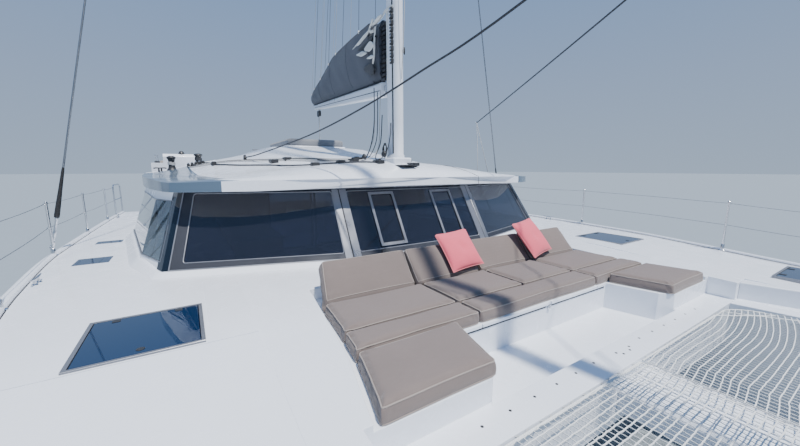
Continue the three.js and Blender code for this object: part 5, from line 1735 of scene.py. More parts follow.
@dataclass
class Trampolines(Assembly):
    """The two nets forward of the lounge, their lashings, the spine under them and the forebeam."""

    low_x: float = 3.6003
    high_x: float = 6.22
    inner_y: float = 0.020
    cord_z: float = 1.5965
    pitch: float = 0.0378

    def build(self) -> None:
        """Builds both nets, then the spine and the beam."""
        for side in Side:
            self.net(side)
            self.lacing(side)
        self.spine()
        self.beam()

    def outer_y(self, x: float) -> float:
        """The outboard edge of a net at a station."""
        return mix(1.75, 2.25, (x - 3.6) / 2.53) - 0.012

    def border(self, side: Side) -> list[Vector]:
        """The rope round a net, its aft outboard corner turned on a radius."""
        a, b = self.low_x + 0.012, self.high_x
        corner = [(a + 0.28 * (1 - math.sin(t)), self.outer_y(a) - 0.28 * (1 - math.cos(t)))
                  for t in (math.pi / 2 * k / 6 for k in range(7))]
        path = [(b, self.inner_y), (a, self.inner_y),
                *((a, mix(self.inner_y, corner[0][1], t)) for t in (0.25, 0.5, 0.75)),
                *corner, *((mix(corner[-1][0], b, t), self.outer_y(mix(corner[-1][0], b, t)))
                           for t in (0.2, 0.4, 0.6, 0.8, 1.0))]
        return [Vector((x, side.value * y, self.cord_z)) for x, y in path]

    def edge_at(self, x: float) -> float:
        """How far outboard the net reaches at a station, its rounded corner counted."""
        start = self.low_x + 0.012
        full_width = self.outer_y(x)
        into = (x - start) / 0.28
        if into >= 1:
            return full_width
        return full_width - 0.28 * (1 - math.sqrt(max(0.0, 1 - (1 - into) ** 2)))

    def sway(self, side: Side, y: np.ndarray) -> np.ndarray:
        """How far a cord across the boat hangs fore or aft of its line: the port net is laced slack."""
        if side is Side.STARBOARD:
            return 0.006 * np.sin(y * 1.9)
        outboard = np.clip(y - 0.95, 0, None) / 0.8
        inboard = np.clip(0.22 - y, 0, None) / 0.22
        return -0.125 * outboard ** 1.7 + 0.032 * inboard ** 0.8

    def net(self, side: Side) -> None:
        """A net's cords: thick ones across the boat and thinner ones along it."""
        rng = np.random.default_rng(5 if side is Side.PORT else 9)
        across, along = [], []
        for k, x in enumerate(np.arange(self.low_x + 0.012, self.high_x + 0.12, self.pitch)):
            y = np.append(np.arange(self.inner_y, 2.3, 0.0185), 2.3)
            place = x + self.sway(side, y) + 0.0035 * np.sin(y * 5.1 + k * 0.9) + rng.normal(0, 0.0008,
                                                                                             len(y))
            place = np.where(place < self.low_x + 0.02, self.low_x + 0.02 + rng.normal(0, 0.002, len(y)),
                             place)
            inside = (y < np.array([self.edge_at(float(v)) for v in place])) & (place < self.high_x)
            if inside.sum() > 3:
                z = self.cord_z + 0.0012 * np.sin(math.pi * y / self.pitch + k * math.pi)
                across.append(np.stack([place, side.value * y, z], 1)[inside])
        for k, y in enumerate(np.arange(self.inner_y + 0.6 * self.pitch, self.outer_y(self.high_x),
                                        self.pitch)):
            x = np.arange(self.low_x + 0.012, self.high_x, 0.019)
            x = x[np.array([self.edge_at(float(v)) > y for v in x])]
            if len(x) > 3:
                wave = 0.0025 * np.sin(x * 3.7 + k) + 0.0012 * np.sin(math.pi * x / self.pitch + k * math.pi)
                z = self.cord_z - 0.0012 * np.sin(math.pi * x / self.pitch + k * math.pi)
                along.append(np.stack([x, side.value * (y + wave), z], 1))
        name = f"net_{side.label}"
        self.yard.fit(self.cords(f"net_cords_across_{side.label}", across, 0.0037), NET_CORD, replaces=[name])
        self.yard.fit(self.cords(f"net_cords_along_{side.label}", along, 0.0022), NET_CORD)
        rope = Bench.tube(f"net_rope_{side.label}", self.border(side), 0.0056, 2, True)
        self.yard.fit(rope, NET_CORD)

    def cords(self, name: str, runs: Sequence[np.ndarray], radius: float, sides: int = 4) -> Piece:
        """Many like cords in one mesh, each closed at its ends, their length along their UV map.

        Args:
            name: The mesh's name.
            runs: The points of each cord.
            radius: Half its thickness.
            sides: How many facets go round one.

        Returns:
            The cords.
        """
        points, quads, maps, base = [], [], [], 0
        for run in runs:
            ahead = np.gradient(run, axis=0)
            ahead /= np.linalg.norm(ahead, axis=1, keepdims=True)
            up = np.array([0.0, 0.0, 1.0])
            beside = np.cross(ahead, up)
            beside /= np.linalg.norm(beside, axis=1, keepdims=True)
            above = np.cross(beside, ahead)
            turn = np.arange(sides) * 2 * math.pi / sides + math.pi / 4
            ring = (run[:, None] + radius * (np.cos(turn)[None, :, None] * beside[:, None]
                                             + np.sin(turn)[None, :, None] * above[:, None]))
            gone = np.concatenate([[0], np.cumsum(np.linalg.norm(np.diff(run, axis=0), axis=1))])
            count = len(run)
            points.append(ring.reshape(-1, 3))
            maps.append(np.stack([np.repeat(gone, sides), np.tile(np.arange(sides) / sides, count)], 1))
            i = np.arange(count - 1)[:, None] * sides
            j = np.arange(sides)[None]
            k = (j + 1) % sides
            quads.append((base + np.stack([i + j, i + k, i + sides + k, i + sides + j], -1)).reshape(-1, 4))
            last = base + (count - 1) * sides
            quads.append(np.array([[base + s for s in reversed(range(4))], [last + s for s in range(4)]]))
            base += count * sides
        return Bench.from_arrays(name, np.concatenate(points), np.concatenate(quads), np.concatenate(maps))

    def lacing(self, side: Side) -> None:
        """The lashing round a net's edge, zigzag to the eyes in the ledges around it."""
        eyes, lines = [], []
        for start, stop, out in self.sides_of(side):
            length = (stop - start).length
            count = max(3, round(length / 0.095))
            zigzag = []
            for k in range(count + 1):
                place = start.lerp(stop, k / count)
                zigzag.append(place + (out * 0.030 if k % 2 else out * -0.004)
                              + Vector((0, 0, 0.008 if k % 2 else 0)))
                if k % 2:
                    eyes.append(place + out * 0.032)
            lines.append(Bench.tube("line", zigzag, 0.0028, 1))
        self.yard.fit(Bench.joined(f"net_lacing_{side.label}", lines), PALE_ROPE)
        LOG.info("%s net: %d eyes", side.label, len(eyes))
        rings = [Bench.turned("eye", e + Vector((0, 0, 0.0045)), (0, 0, 1),
                              [(0, 0.011), (0.004, 0.011), (0.004, 0.006)], 10)
                 for e in eyes]
        self.yard.fit(Bench.joined(f"net_eyes_{side.label}", rings), PLASTIC)

    def sides_of(self, side: Side) -> list[tuple[Vector, Vector, Vector]]:
        """The straight edges of a net: start, end and the way out."""
        s = side.value
        a, b = self.low_x + 0.012, self.high_x
        edges = [((a, 0.05), (a, self.outer_y(a) - 0.30), (-1, 0)),
                 ((a + 0.30, self.outer_y(a + 0.3)), (b - 0.03, self.outer_y(b)), (0.0, 1.0))]
        return [(Vector((*p[:1], s * p[1], self.cord_z)), Vector((q[0], s * q[1], self.cord_z)),
                 Vector((out[0], s * out[1], 0))) for p, q, out in edges]

    def spine(self) -> None:
        """The moulded spine under the nets' inner edges, and the dark line that joins the nets over it."""
        nodes = self.yard.nodes
        self.yard.fit(Bench.softened(nodes, "spine", "spine_moulding", 0.02, 3), WHITE, replaces=["spine"])
        zigzag = [Vector((x, (0.017 if k % 2 else -0.017), self.cord_z + 0.004))
                  for k, x in enumerate(np.arange(self.low_x + 0.02, self.high_x, 0.075))]
        self.yard.fit(Bench.tube("net_seam_lacing", zigzag, 0.0028, 1), PALE_ROPE)

    def beam(self) -> None:
        """The forebeam, round and polished, its centre casting, its collars and the bowsprit with its cheeks
        and stays.
        """
        ring_at = [-2.3797, -2.36, -2.34, -0.2, 0.2, 2.34, 2.36, 2.3797]
        rings = [round_ring((BEAM.x, y, BEAM.z), (0, 1, 0), 0.0945 if abs(y) < 2.37 else 0.092,
                            28) for y in ring_at]
        tube = Bench.loft("forebeam_tube", rings)
        self.yard.fit(tube, SPAR, replaces=["forebeam"])
        casting = Bench.block("beam_casting", (6.15, 6.41), (-0.2, 0.2), (1.39, 1.588), 0.016, 3)
        sprit = Bench.block("bowsprit", (6.4, 7.15), (-0.07, 0.07), (1.435, 1.535), 0.018, 3)
        self.yard.fit(casting, WHITE, slot="alloy")
        self.yard.fit(sprit, WHITE, slot="alloy")
        cheeks = [Bench.block("cheek", (7.0, 7.15), (y - 0.006, y + 0.006), (1.42, 1.56),
                              0.004) for y in (-0.068, 0.068)]
        self.yard.fit(Bench.joined("bowsprit_cheeks", cheeks), STEEL)
        for side in Side:
            s = side.value
            collar = Bench.turned(f"beam_collar_{side.label}", (BEAM.x, s * 2.30, BEAM.z), (0, 1, 0),
                                  [(0, 0.0965), (0.03, 0.0985), (0.05, 0.0985)] if s > 0 else
                                  [(0, 0.0965), (-0.03, 0.0985), (-0.05, 0.0985)], 24)
            self.yard.fit(collar, RUBBER)
            stays = [Bench.tube("stay", [(BEAM.x + 0.06, s * 2.1, BEAM.z + 0.05), (7.05, s * 0.06, 1.50)],
                                0.004, 2)]
            self.yard.fit(Bench.joined(f"bowsprit_stay_{side.label}", stays), WIRE)


@dataclass
class Roof(Assembly):
    """The roof over the saloon and cockpit, and everything that is fixed on it."""

    spread: tuple[float, ...] = (0.0, 0.3, 0.45, 0.66, 0.79, 0.86, 1.0)
    # Station, how far its edge lies aft, half width, underside at the centre, top at each part of the spread.
    rows: tuple[tuple[float, ...], ...] = (
        (-5.25, 0.0, 2.90, 3.17, 3.290, 3.275, 3.115, 2.970, 2.870, 2.800, 2.760),
        (-4.70, 0.0, 3.00, 3.17, 3.300, 3.285, 3.125, 2.980, 2.880, 2.810, 2.760),
        (-3.25, 0.0, 3.04, 3.15, 3.298, 3.280, 3.115, 2.975, 2.885, 2.815, 2.750),
        (-2.60, 0.0, 3.00, 3.15, 3.290, 3.270, 3.100, 2.955, 2.880, 2.810, 2.745),
        (-1.60, 0.0, 2.94, 3.08, 3.180, 3.125, 3.040, 2.930, 2.800, 2.750, 2.738),
        (-0.60, 0.100, 2.850, 2.930, 3.065, 3.010, 2.930, 2.830, 2.738, 2.735, 2.733),
        (0.10, 0.300, 2.780, 2.640, 2.990, 2.898, 2.850, 2.785, 2.738, 2.735, 2.730),
        (0.56, 0.380, 2.690, 2.612, 2.935, 2.885, 2.845, 2.775, 2.733, 2.728, 2.718),
        (0.95, 0.283, 2.547, 2.612, 2.838, 2.810, 2.785, 2.755, 2.735, 2.725, 2.700),
        (1.15, 0.299, 2.127, 2.637, 2.728, 2.728, 2.726, 2.722, 2.718, 2.716, 2.712))
    under_z: float = 2.612
    level_from: float = 0.86
    # The band of painted shade along the roof's outer edge: the distance off the centreline where it starts,
    # ahead of a station and, aft of it, as a share of the half width there.
    edging_from: float = 0.62
    edging_front: float = 2.10
    edging_share: float = 0.775

    def __post_init__(self) -> None:
        """Fairs the stations into a smooth roof."""
        self.lines = Fairing(self.rows)

    def build(self) -> None:
        """Builds the shell, then what stands on it."""
        self.shell()
        self.seams()
        self.posts()
        self.mast_step()
        self.winches()
        self.lines_aft()
        self.pad()
        self.coil()

    def top(self, x: float, y: float) -> Vector:
        """The point of the roof's top at a station of the centreline and a distance off it."""
        drop, half, _, *tops = self.lines.at(x)
        f = min(1.0, abs(y) / half)
        return Vector((x - drop * f * f, y, self.height(tops, f)))

    def over(self, x: float, y: float) -> float:
        """The height of the roof's top straight above a place."""
        station = x
        for _ in range(6):
            drop, half, *_ = self.lines.at(station)
            station = x + drop * min(1.0, abs(y) / half) ** 2
        return self.top(station, y).z

    def height(self, tops: Sequence[float], f: float) -> float:
        """The top's height at a part of the half width, its knuckles eased."""
        knots = list(self.spread)
        eased = 0.0
        for shift, weight in ((-0.03, 0.25), (0.0, 0.5), (0.03, 0.25)):
            eased += weight * float(np.interp(min(1.0, abs(f + shift)), knots, tops))
        return eased

    def underside(self, under: float, f: float) -> float:
        """The lining's height at a part of the half width."""
        return self.under_z if f >= self.level_from else mix(under, self.under_z, (f / self.level_from) ** 2)

    def shell(self) -> None:
        """The roof's moulding, open at the helm, its rim rounded and its outer edge coloured with painted
        shade.
        """
        stations = [-5.25, -5.1, -4.7, -4.2, -3.7, -3.25, -2.9, -2.6, -2.3, -2.0, -1.6, -1.3, -1.0, -0.8,
                    -0.6, -0.4, -0.2,
                    -0.05, 0.1, 0.25, 0.4, 0.56, 0.7, 0.83, 0.95, 1.02, 1.09, 1.15]
        share = [0, 0.08, 0.16, 0.23, 0.3, 0.34, 0.39, 0.45, 0.52, 0.59, 0.66, 0.72, 0.76, 0.79, 0.82, 0.86,
                 0.93, 1.0]
        across = [-f for f in reversed(share[1:])] + share
        rings = []
        for x in stations:
            drop, half, under, *tops = self.lines.at(x)
            over = [Vector((x - drop * f * f, f * half, self.height(tops, abs(f)))) for f in across]
            below = [Vector((x - drop * f * f, f * half, self.underside(under, abs(f)))) for f in across]
            rings.append(below + over[::-1])
        shell = Bench.loft("roof_shell", rings, angle=25)
        notch = Bench.block("notch", (-4.70, -3.25), (-3.4, -1.95), (2.3, 3.5), 0.0)
        shell = Bench.cut(shell, [notch])
        Bench.apply(shell, "BEVEL", width=0.010, segments=3, limit_method="ANGLE",
                    angle_limit=math.radians(48),
                    use_clamp_overlap=True)
        self.yard.fit(Bench.settle(shell, 30), WHITE, replaces=["roof"])
        # The outer edge's faces take the painted shade.
        shell.data.materials.append(ROOF_EDGE_PAINTED_SHADE.material())
        for face in shell.data.polygons:
            middle = face.center
            inboard = (self.edging_front if middle.x > self.edging_from
                       else self.edging_share * float(self.lines.at(middle.x)[1]))
            in_painted_shade = abs(middle.y) > inboard and middle.z > self.under_z + 0.002
            face.material_index = 1 if in_painted_shade and (middle.x > -3.2 or middle.y > 0) else 0
        rim = [Vector((-3.25, -3.03, 0)), Vector((-3.25, -1.98, 0)), Vector((-3.28, -1.95, 0)),
               Vector((-4.67, -1.95, 0)),
               Vector((-4.70, -1.98, 0)), Vector((-4.70, -2.99, 0))]
        edge = [Vector((p.x, p.y, self.over(p.x, p.y) - 0.004)) for p in curve_through(rim, 5)]
        self.yard.fit(Bench.tube("helm_opening_moulding", edge, 0.009, 2), WHITE, slot="gelcoat")

    def seams(self) -> None:
        """The fine joint across the roof's port side."""
        path = []
        for k in range(13):
            t = k / 12
            y = mix(0.62, 1.02, t)
            path.append(self.top(mix(-0.1, 1.145, t), y) + Vector((0, 0, 0.0005)))
        foot = path[-1].copy()
        foot.z = 2.625
        self.yard.fit(Bench.tube("roof_seam", [*path, foot + Vector((0.003, 0, 0))], 0.0035, 1), RUBBER)

    def posts(self) -> None:
        """The two raked posts at the roof's aft corners, with their plates."""
        for side in Side:
            s = side.value
            rings = []
            for t in (0.0, 0.02, 0.5, 0.98, 1.0):
                lean, z = -0.06 * t, mix(1.8503, 2.66, t)
                wide = 1.12 if t in (0.0, 1.0) else 1.0
                rings.append([Vector((-4.95 + lean + 0.057 * wide * math.cos(a) * abs(math.cos(a)) ** -0.4,
                                      s * 2.6 + 0.033 * wide * math.sin(a) * abs(math.sin(a)) ** -0.4, z))
                              for a in ((k + 0.5) * math.pi / 10 for k in range(20))])
            post = Bench.loft(f"roof_post_{side.label}", rings, angle=40)
            self.yard.fit(post, WHITE, slot="gelcoat")

    def mast_step(self) -> None:
        """The moulded step under the mast and the black organisers beside it."""
        step = Bench.block("mast_step", (0.362, 0.738), (-0.138, 0.138), (2.84, 2.975), 0.022, 3)
        self.yard.fit(step, WHITE, slot="gelcoat")
        pads = [Bench.block("pad", (x - 0.09, x + 0.09), (y - 0.045, y + 0.045),
                            (self.over(x, y) - 0.01, self.over(x, y)
                + 0.035), 0.010, 2) for x,
                y in ((0.05, -0.34), (0.20, -0.46), (0.62, -0.30), (0.82, 0.10), (0.20, 0.40))]
        wheels = [Bench.turned("sheave", (x, y, self.over(x, y) + 0.02), (0, 0, 1),
                               [(0, 0.035), (0.012, 0.028), (0.024, 0.035)], 14)
                  for x, y in ((0.05, -0.34), (0.20, -0.46), (0.62, -0.30))]
        self.yard.fit(Bench.joined("mast_organisers", pads + wheels), PLASTIC)
        plate = Bench.block("mast_partner_plate", (0.70, 0.98), (-0.16, 0.06),
                            (self.over(0.84, -0.05) - 0.005,
                            self.over(0.84, -0.05) + 0.012), 0.004)
        self.yard.fit(plate, PLASTIC)

    def winches(self) -> None:
        """The two winches by the helm, their clutches and a cleat."""
        drums, tops, bases = [], [], []
        for k, (x, y, top) in enumerate(((-2.9, -2.61, 3.06), (-2.9, -2.19, 3.11))):
            foot = self.over(x, y) - 0.02
            tall = top - foot
            profile = [(0, 0.080), (0.05 * tall, 0.082), (0.12 * tall, 0.070), (0.20 * tall, 0.058),
                       (0.36 * tall, 0.049),
                       (0.62 * tall, 0.048), (0.78 * tall, 0.058), (0.84 * tall, 0.072), (0.88 * tall, 0.074),
                       (0.94 * tall, 0.066), (tall, 0.034)]
            drums.append(Bench.turned("drum", (x, y, foot), (0, 0, 1), profile, 28))
            tops.append(Bench.turned("cap", (x, y, top - 0.012), (0, 0, 1), [(0, 0.030), (0.012, 0.028)], 20))
            bases.append(Bench.turned("base", (x, y, foot - 0.02), (0, 0, 1),
                                      [(0, 0.084), (0.028, 0.084), (0.034, 0.078)], 28))
            ribs = 14
            for r in range(ribs):
                a = 2 * math.pi * r / ribs
                out = Vector((math.cos(a), math.sin(a), 0))
                start, stop = (Vector((x, y, foot + 0.36 * tall)) + out * 0.0485,
                               Vector((x, y, foot + 0.6 * tall)) + out * 0.0485)
                drums.append(Bench.tube("rib", [start, stop], 0.0022, 1))
            LOG.info("winch %d stands %.0f mm high", k + 1, tall * 1000)
        self.yard.fit(Bench.joined("winch_drums", drums), PLASTIC)
        self.yard.fit(Bench.joined("winch_caps", tops), STEEL)
        self.yard.fit(Bench.joined("winch_bases", bases), RUBBER)
        clutches, levers = [], []
        for k in range(5):
            y = -2.36 + 0.055 * k
            for x in (-2.35,):
                z = self.over(x, y)
                clutches.append(Bench.block("clutch", (x - 0.10, x + 0.10), (y - 0.022, y + 0.022),
                                            (z - 0.015, z + 0.052),
                                            0.010, 2))
                levers.append(Bench.block("lever", (x - 0.09, x + 0.05), (y - 0.013, y + 0.013),
                                          (z + 0.052, z + 0.066),
                                          0.004, 2))
        clutches += [Bench.block("clutch", (-1.62, -1.40), (-2.06, -2.00), (self.over(-1.5, -2.03) - 0.02,
                                 self.over(-1.5, -2.03) + 0.05), 0.012, 2)]
        self.yard.fit(Bench.joined("rope_clutches", clutches), PLASTIC)
        self.yard.fit(Bench.joined("clutch_levers", levers), STEEL)
        z = self.over(-3.12, -2.80)
        cleat = [Bench.tube("horn", curve_through([(-3.12, -2.90, z + 0.055), (-3.12, -2.86, z + 0.062),
                                                   (-3.12, -2.80, z + 0.060), (-3.12, -2.74, z + 0.062),
                                                   (-3.12, -2.70, z + 0.055)], 3), 0.011, 2),
                 Bench.turned("stem", (-3.12, -2.82, z - 0.01), (0, 0, 1), [(0, 0.018), (0.065, 0.010)], 12),
                 Bench.turned("stem", (-3.12, -2.78, z - 0.01), (0, 0, 1), [(0, 0.018), (0.065, 0.010)], 12)]
        self.yard.fit(Bench.joined("roof_cleat", cleat), PLASTIC)

    def laid(self, points: Sequence[tuple[float, float]], lift: float = 0.008) -> list[Vector]:
        """A rope's route over the roof, resting on it, from places seen from above."""
        run = curve_through([Vector((x, y, 0)) for x, y in points], 8)
        return [Vector((p.x, p.y, self.over(p.x, p.y) + lift)) for p in run]

    def lines_aft(self) -> None:
        """The control lines led from the foot of the mast along the roof to the clutches and winches."""
        lanes = ((0.05, -0.36, -2.33), (0.05, -0.30, -2.28), (0.20, -0.47, -2.22), (0.20, -0.42, -2.17),
                 (0.02, -0.24, -2.13))
        for k, (x, start, stop) in enumerate(lanes):
            swing = 0.05 * math.sin(2.3 * k)
            path = self.laid([(x, start), (-0.35, mix(start, stop, 0.28) + swing),
                              (-0.95, mix(start, stop, 0.56)),
                              (-1.6, mix(start, stop, 0.82) - swing), (-2.1, stop), (-2.5, stop)], 0.0075)
            self.yard.fit(Bench.tube(f"control_line_{k + 1}", path, 0.0085, 2),
                          DARK_ROPE if k % 2 else PALE_ROPE)
        guides = []
        for x, y, long in ((-0.62, -1.33, 0.20), (-0.62, -1.14, 0.16), (0.28, -1.02, 0.10),
                           (0.34, -0.70, 0.10)):
            z = self.over(x, y)
            guides.append(Bench.block("guide", (x - long / 2, x + long / 2), (y - 0.05, y + 0.05),
                                      (z - 0.02, z + 0.042), 0.012, 2))
        self.yard.fit(Bench.joined("rope_guides", guides), PLASTIC)
        sheet = self.laid([(0.62, -0.33), (0.2, -0.9), (-0.4, -1.45), (-1.0, -1.85), (-1.5, -2.03),
                           (-2.1, -2.06),
                           (-2.86, -2.13)], 0.0085)
        self.yard.fit(Bench.tube("roof_sheet_lead", sheet, 0.0105, 2), DARK_ROPE)
        for k, (x, y, top) in enumerate(((-2.9, -2.61, 3.06), (-2.9, -2.19, 3.11))):
            tall = top - self.over(x, y) + 0.02
            turns = []
            for i in range(57):
                a = 2 * math.pi * i / 14
                turns.append((x + 0.056 * math.cos(a), y + 0.056 * math.sin(a),
                              top - 0.62 * tall + 0.013 * i / 14))
            self.yard.fit(Bench.tube(f"winch_turns_{k + 1}", turns, 0.0062, 2), DARK_ROPE if k else PALE_ROPE)

    def pad(self) -> None:
        """The grey lounging pad on the roof and its plinth."""
        self.yard.fit(Bench.block("pad_plinth", (-4.448, -2.652), (-0.638, 0.638), (3.18, 3.3045), 0.012, 3),
                      WHITE,
                      slot="gelcoat")
        corners = [(-4.428, -0.618), (-2.672, -0.618), (-2.672, 0.618), (-4.428, 0.618)]
        cushion = Cushion("roof_pad_cover", corners, 3.3055, 3.452, 0.02, 0.008, 0.03, 20).mesh()
        lounge = Lounge(self.yard)
        cushion = lounge.filled(cushion, pinned=lambda p: p.z < 3.33, voxel=0.030)
        self.yard.fit(cushion, PAD_CLOTH, replaces=["roof_sunpad"])

    def coil(self) -> None:
        """The coiled golden line that hangs inside, behind the starboard side glass."""
        top = Vector((-2.95, -2.80, 2.43))
        loops = []
        for k in range(7):
            drop, wide = 0.42 + 0.03 * math.sin(2.1 * k), 0.055 + 0.008 * math.cos(1.7 * k)
            shift = Vector((0.008 * (k - 3), -0.014 - 0.004 * (k % 3), 0))
            ring = [top + shift + Vector((wide * math.sin(a) * (0.5 + 0.5 * (1 - math.cos(a)) / 2),
                                          0.004 * math.sin(3 * a + k),
                                          -drop * (1 - math.cos(a)) / 2))
                    for a in (2 * math.pi * i / 26 for i in range(26))]
            loops.append(Bench.tube("loop", ring, 0.0065, 2, True))
        wraps = [Bench.tube("wrap", [top + Vector((0.034 * math.cos(a), -0.016 + 0.022 * math.sin(a),
                                                   -0.10 - 0.011 * k))
                                     for a in (2 * math.pi * i / 14 for i in range(14))], 0.0065, 2,
                                     True) for k in range(5)]
        self.yard.fit(Bench.joined("spare_line_coil", loops + wraps), GOLD_ROPE)
        hook = Bench.tube("coil_hook",
                          curve_through([top + Vector((0, 0.02, 0.05)), top + Vector((0, -0.012, 0.03)),
                                                      top + Vector((0, -0.02, 0.004)),
                                                      top + Vector((0, -0.008, -0.01))], 4),
                          0.005, 2)
        self.yard.fit(hook, STEEL)
@dataclass
class Rig(Assembly):
    """The mast, its stays, the furled genoa and the lines between them."""

    foot_z: float = 2.9755
    hounds_z: float = 17.2
    head_z: float = 19.6
    half: tuple[float, float] = (0.1345, 0.0815)
    chainplate: Point = (-1.0, 3.83, 1.85)
    spreader: Point = (-1.0, 1.998, 10.5)
    stay_foot: Point = (6.3, 0.0, 1.64)
    stay_head_z: float = 17.5
    clew: Point = (5.20, 0.0, 4.74)

    def build(self) -> None:
        """Builds the spar, then what hangs on it."""
        self.mast()
        self.mast_fittings()
        self.spreaders()
        for side in Side:
            self.shroud(side)
        self.genoa()
        self.furler()
        self.halyards()
        self.sheets()

    def mast_x(self, z: float) -> float:
        """The middle of the raked mast at a height."""
        return 0.55 - (z - 2.975) * MAST_RAKE

    def on_mast(self, z: float, forward: float, out: float) -> Vector:
        """A place on or beside the mast: how high, how far ahead of its middle, how far to port."""
        return Vector((self.mast_x(z) + forward, out, z))

    def section(self, z: float, scale: float = 1.0, grown: float = 0.0) -> list[Vector]:
        """The mast's rounded section at a height."""
        ring = []
        for k in range(28):
            a = 2 * math.pi * k / 28
            c, s = math.cos(a), math.sin(a)
            x = math.copysign(abs(c) ** 0.82, c) * (self.half[0] * scale + grown)
            y = math.copysign(abs(s) ** 0.82, s) * (self.half[1] * scale + grown)
            ring.append(self.on_mast(z, x, y))
        return ring

    def mast(self) -> None:
        """The spar with its foot, and the luff track up its after face."""
        levels = [(self.foot_z, 0.012), (self.foot_z + 0.03, 0.012), (self.foot_z + 0.045, 0.0)]
        rings = [self.section(z, 1.0, grown) for z, grown in levels]
        rings += [self.section(z) for z in (3.4, 4.5, 6.0, 8.0, 10.5, 13.0, 15.5, 17.4)]
        rings += [self.section(mix(17.4, self.head_z, t), mix(1.0, 0.6, t)) for t in (0.35, 0.7, 1.0)]
        self.yard.fit(Bench.loft("mast_spar", rings, angle=50), SPAR, replaces=["mast"])
        for name, forward, out, wide, low, high in (("mast_luff_track", -0.1345, 0.0, 0.011, 4.05, 17.3),
                                                    ("mast_side_groove", 0.066, -0.0735, 0.010, 3.03, 17.3)):
            bar = [[self.on_mast(z, forward + dx, out + dy) for dx, dy in
                    (((-0.009, -wide), (-0.009, wide), (0.004, wide), (0.004, -wide)) if out == 0.0 else
                     ((-wide, -0.007), (wide, -0.003), (wide, 0.006), (-wide, 0.006)))] for z in (low, 8.0,
                                                                                                  12.0, high)]
            self.yard.fit(Bench.loft(name, bar), RUBBER)
        crane = Bench.block("mast_crane", (-0.26, 0.06), (-0.03, 0.03), (-0.06, 0.02), 0.010, 2)
        crane.data.transform(Matrix.Translation((self.mast_x(self.head_z), 0, self.head_z)))
        light = Bench.turned("lamp", (self.mast_x(19.6) + 0.01, 0, 19.61), (0, 0, 1),
                             [(0, 0.028), (0.01, 0.03), (0.02, 0.022), (0.06, 0.022), (0.07, 0.012)], 16)
        sheaves = [Bench.turned("sheave", (self.mast_x(19.6) + x, -0.036, 19.56), (0, 1, 0),
                                [(0, 0.030), (0.02, 0.034), (0.052, 0.034), (0.072, 0.030)],
                                18) for x in (-0.22, 0.03)]
        self.yard.fit(crane, SPAR)
        self.yard.fit(Bench.joined("masthead_light", [light]), PANE)
        self.yard.fit(Bench.joined("masthead_sheaves", sheaves), PLASTIC)

    def mast_fittings(self) -> None:
        """Gooseneck lugs, a head strap and luff tape, a cleat, the slides stacked above the boom and the
        steaming light.
        """
        lugs = []
        for low, high in ((-0.077, -0.047), (0.047, 0.077)):
            lugs.append(Bench.block("lug", (GOOSENECK.x - 0.027, 0.44), (-0.027, 0.027),
                                    (GOOSENECK.z + low, GOOSENECK.z + high), 0.008, 2))
        lugs.append(Bench.block("heel", (0.392, 0.412), (-0.045, 0.045),
                                (GOOSENECK.z - 0.14, GOOSENECK.z + 0.14), 0.006, 2))
        self.yard.fit(Bench.joined("gooseneck_lugs", lugs), STEEL)
        cars, pads = [], []
        dice = random.Random(4)
        for k in range(9):
            z = 4.14 + 0.075 * k
            wide = 0.026 + 0.006 * dice.random()
            cars.append(Bench.block("car", (self.mast_x(z) + 0.066 - wide, self.mast_x(z) + 0.066 + wide),
                                    (-0.105, -0.070), (z, z + 0.058), 0.006, 2))
            pads.append(Bench.block("pad", (self.mast_x(z) + 0.052, self.mast_x(z) + 0.080), (-0.112, -0.10),
                                    (z + 0.018, z + 0.040), 0.003, 1))
        self.yard.fit(Bench.joined("mast_side_cars", cars), PLASTIC)
        self.yard.fit(Bench.joined("mast_side_car_pads", pads), STEEL)
        strap = [self.on_mast(4.80, 0.10, -0.081), self.on_mast(4.805, 0.04, -0.094),
                 self.on_mast(4.805, -0.05, -0.094),
                 Vector((0.36, -0.082, 4.785)), Vector((0.24, -0.078, 4.765)), Vector((0.10, -0.05, 4.79))]
        self.yard.fit(self.webbing("head_strap", strap, 0.020, 0.005), SAILCLOTH)
        tape = [self.on_mast(z, -0.050, -0.0835) for z in (4.82, 4.5, 4.2, 3.95)]
        self.yard.fit(self.webbing("luff_tape", tape, 0.012, 0.004), SAILCLOTH)
        horn = curve_through([self.on_mast(4.25, 0.145, 0.052), self.on_mast(4.275, 0.152, 0.05),
                              self.on_mast(4.305, 0.152, 0.05),
                              self.on_mast(4.335, 0.145, 0.052)], 4)
        plate = Bench.block("plate", (self.mast_x(4.3) + 0.122, self.mast_x(4.3) + 0.150), (0.038, 0.064),
                            (4.27, 4.315), 0.004)
        self.yard.fit(Bench.joined("mast_cleat", [Bench.tube("horn", horn, 0.009, 2), plate]), PLASTIC)
        lamp = Bench.turned("mast_steaming_light", self.on_mast(9.6, 0.133, 0), (1, 0, 0),
                            [(0, 0.05), (0.012, 0.052), (0.03, 0.04), (0.075, 0.034), (0.085, 0.02)], 18)
        self.yard.fit(lamp, BRIGHT_FRAME)

    def webbing(self, name: str, path: Sequence[Vector], wide: float, thick: float) -> Piece:
        """A flat strap that follows points, its width kept upright or along the spar."""
        run = curve_through(path, 5)
        rings = []
        for k, p in enumerate(run):
            ahead = run[min(k + 1, len(run) - 1)] - run[max(k - 1, 0)]
            across = ahead.cross(Vector((0, 1, 0))).normalized() * wide
            through = Vector((0, 1, 0)) * thick / 2
            rings.append([p - across - through, p + across - through, p + across + through,
                          p - across + through])
        return Bench.loft(name, rings, angle=60)

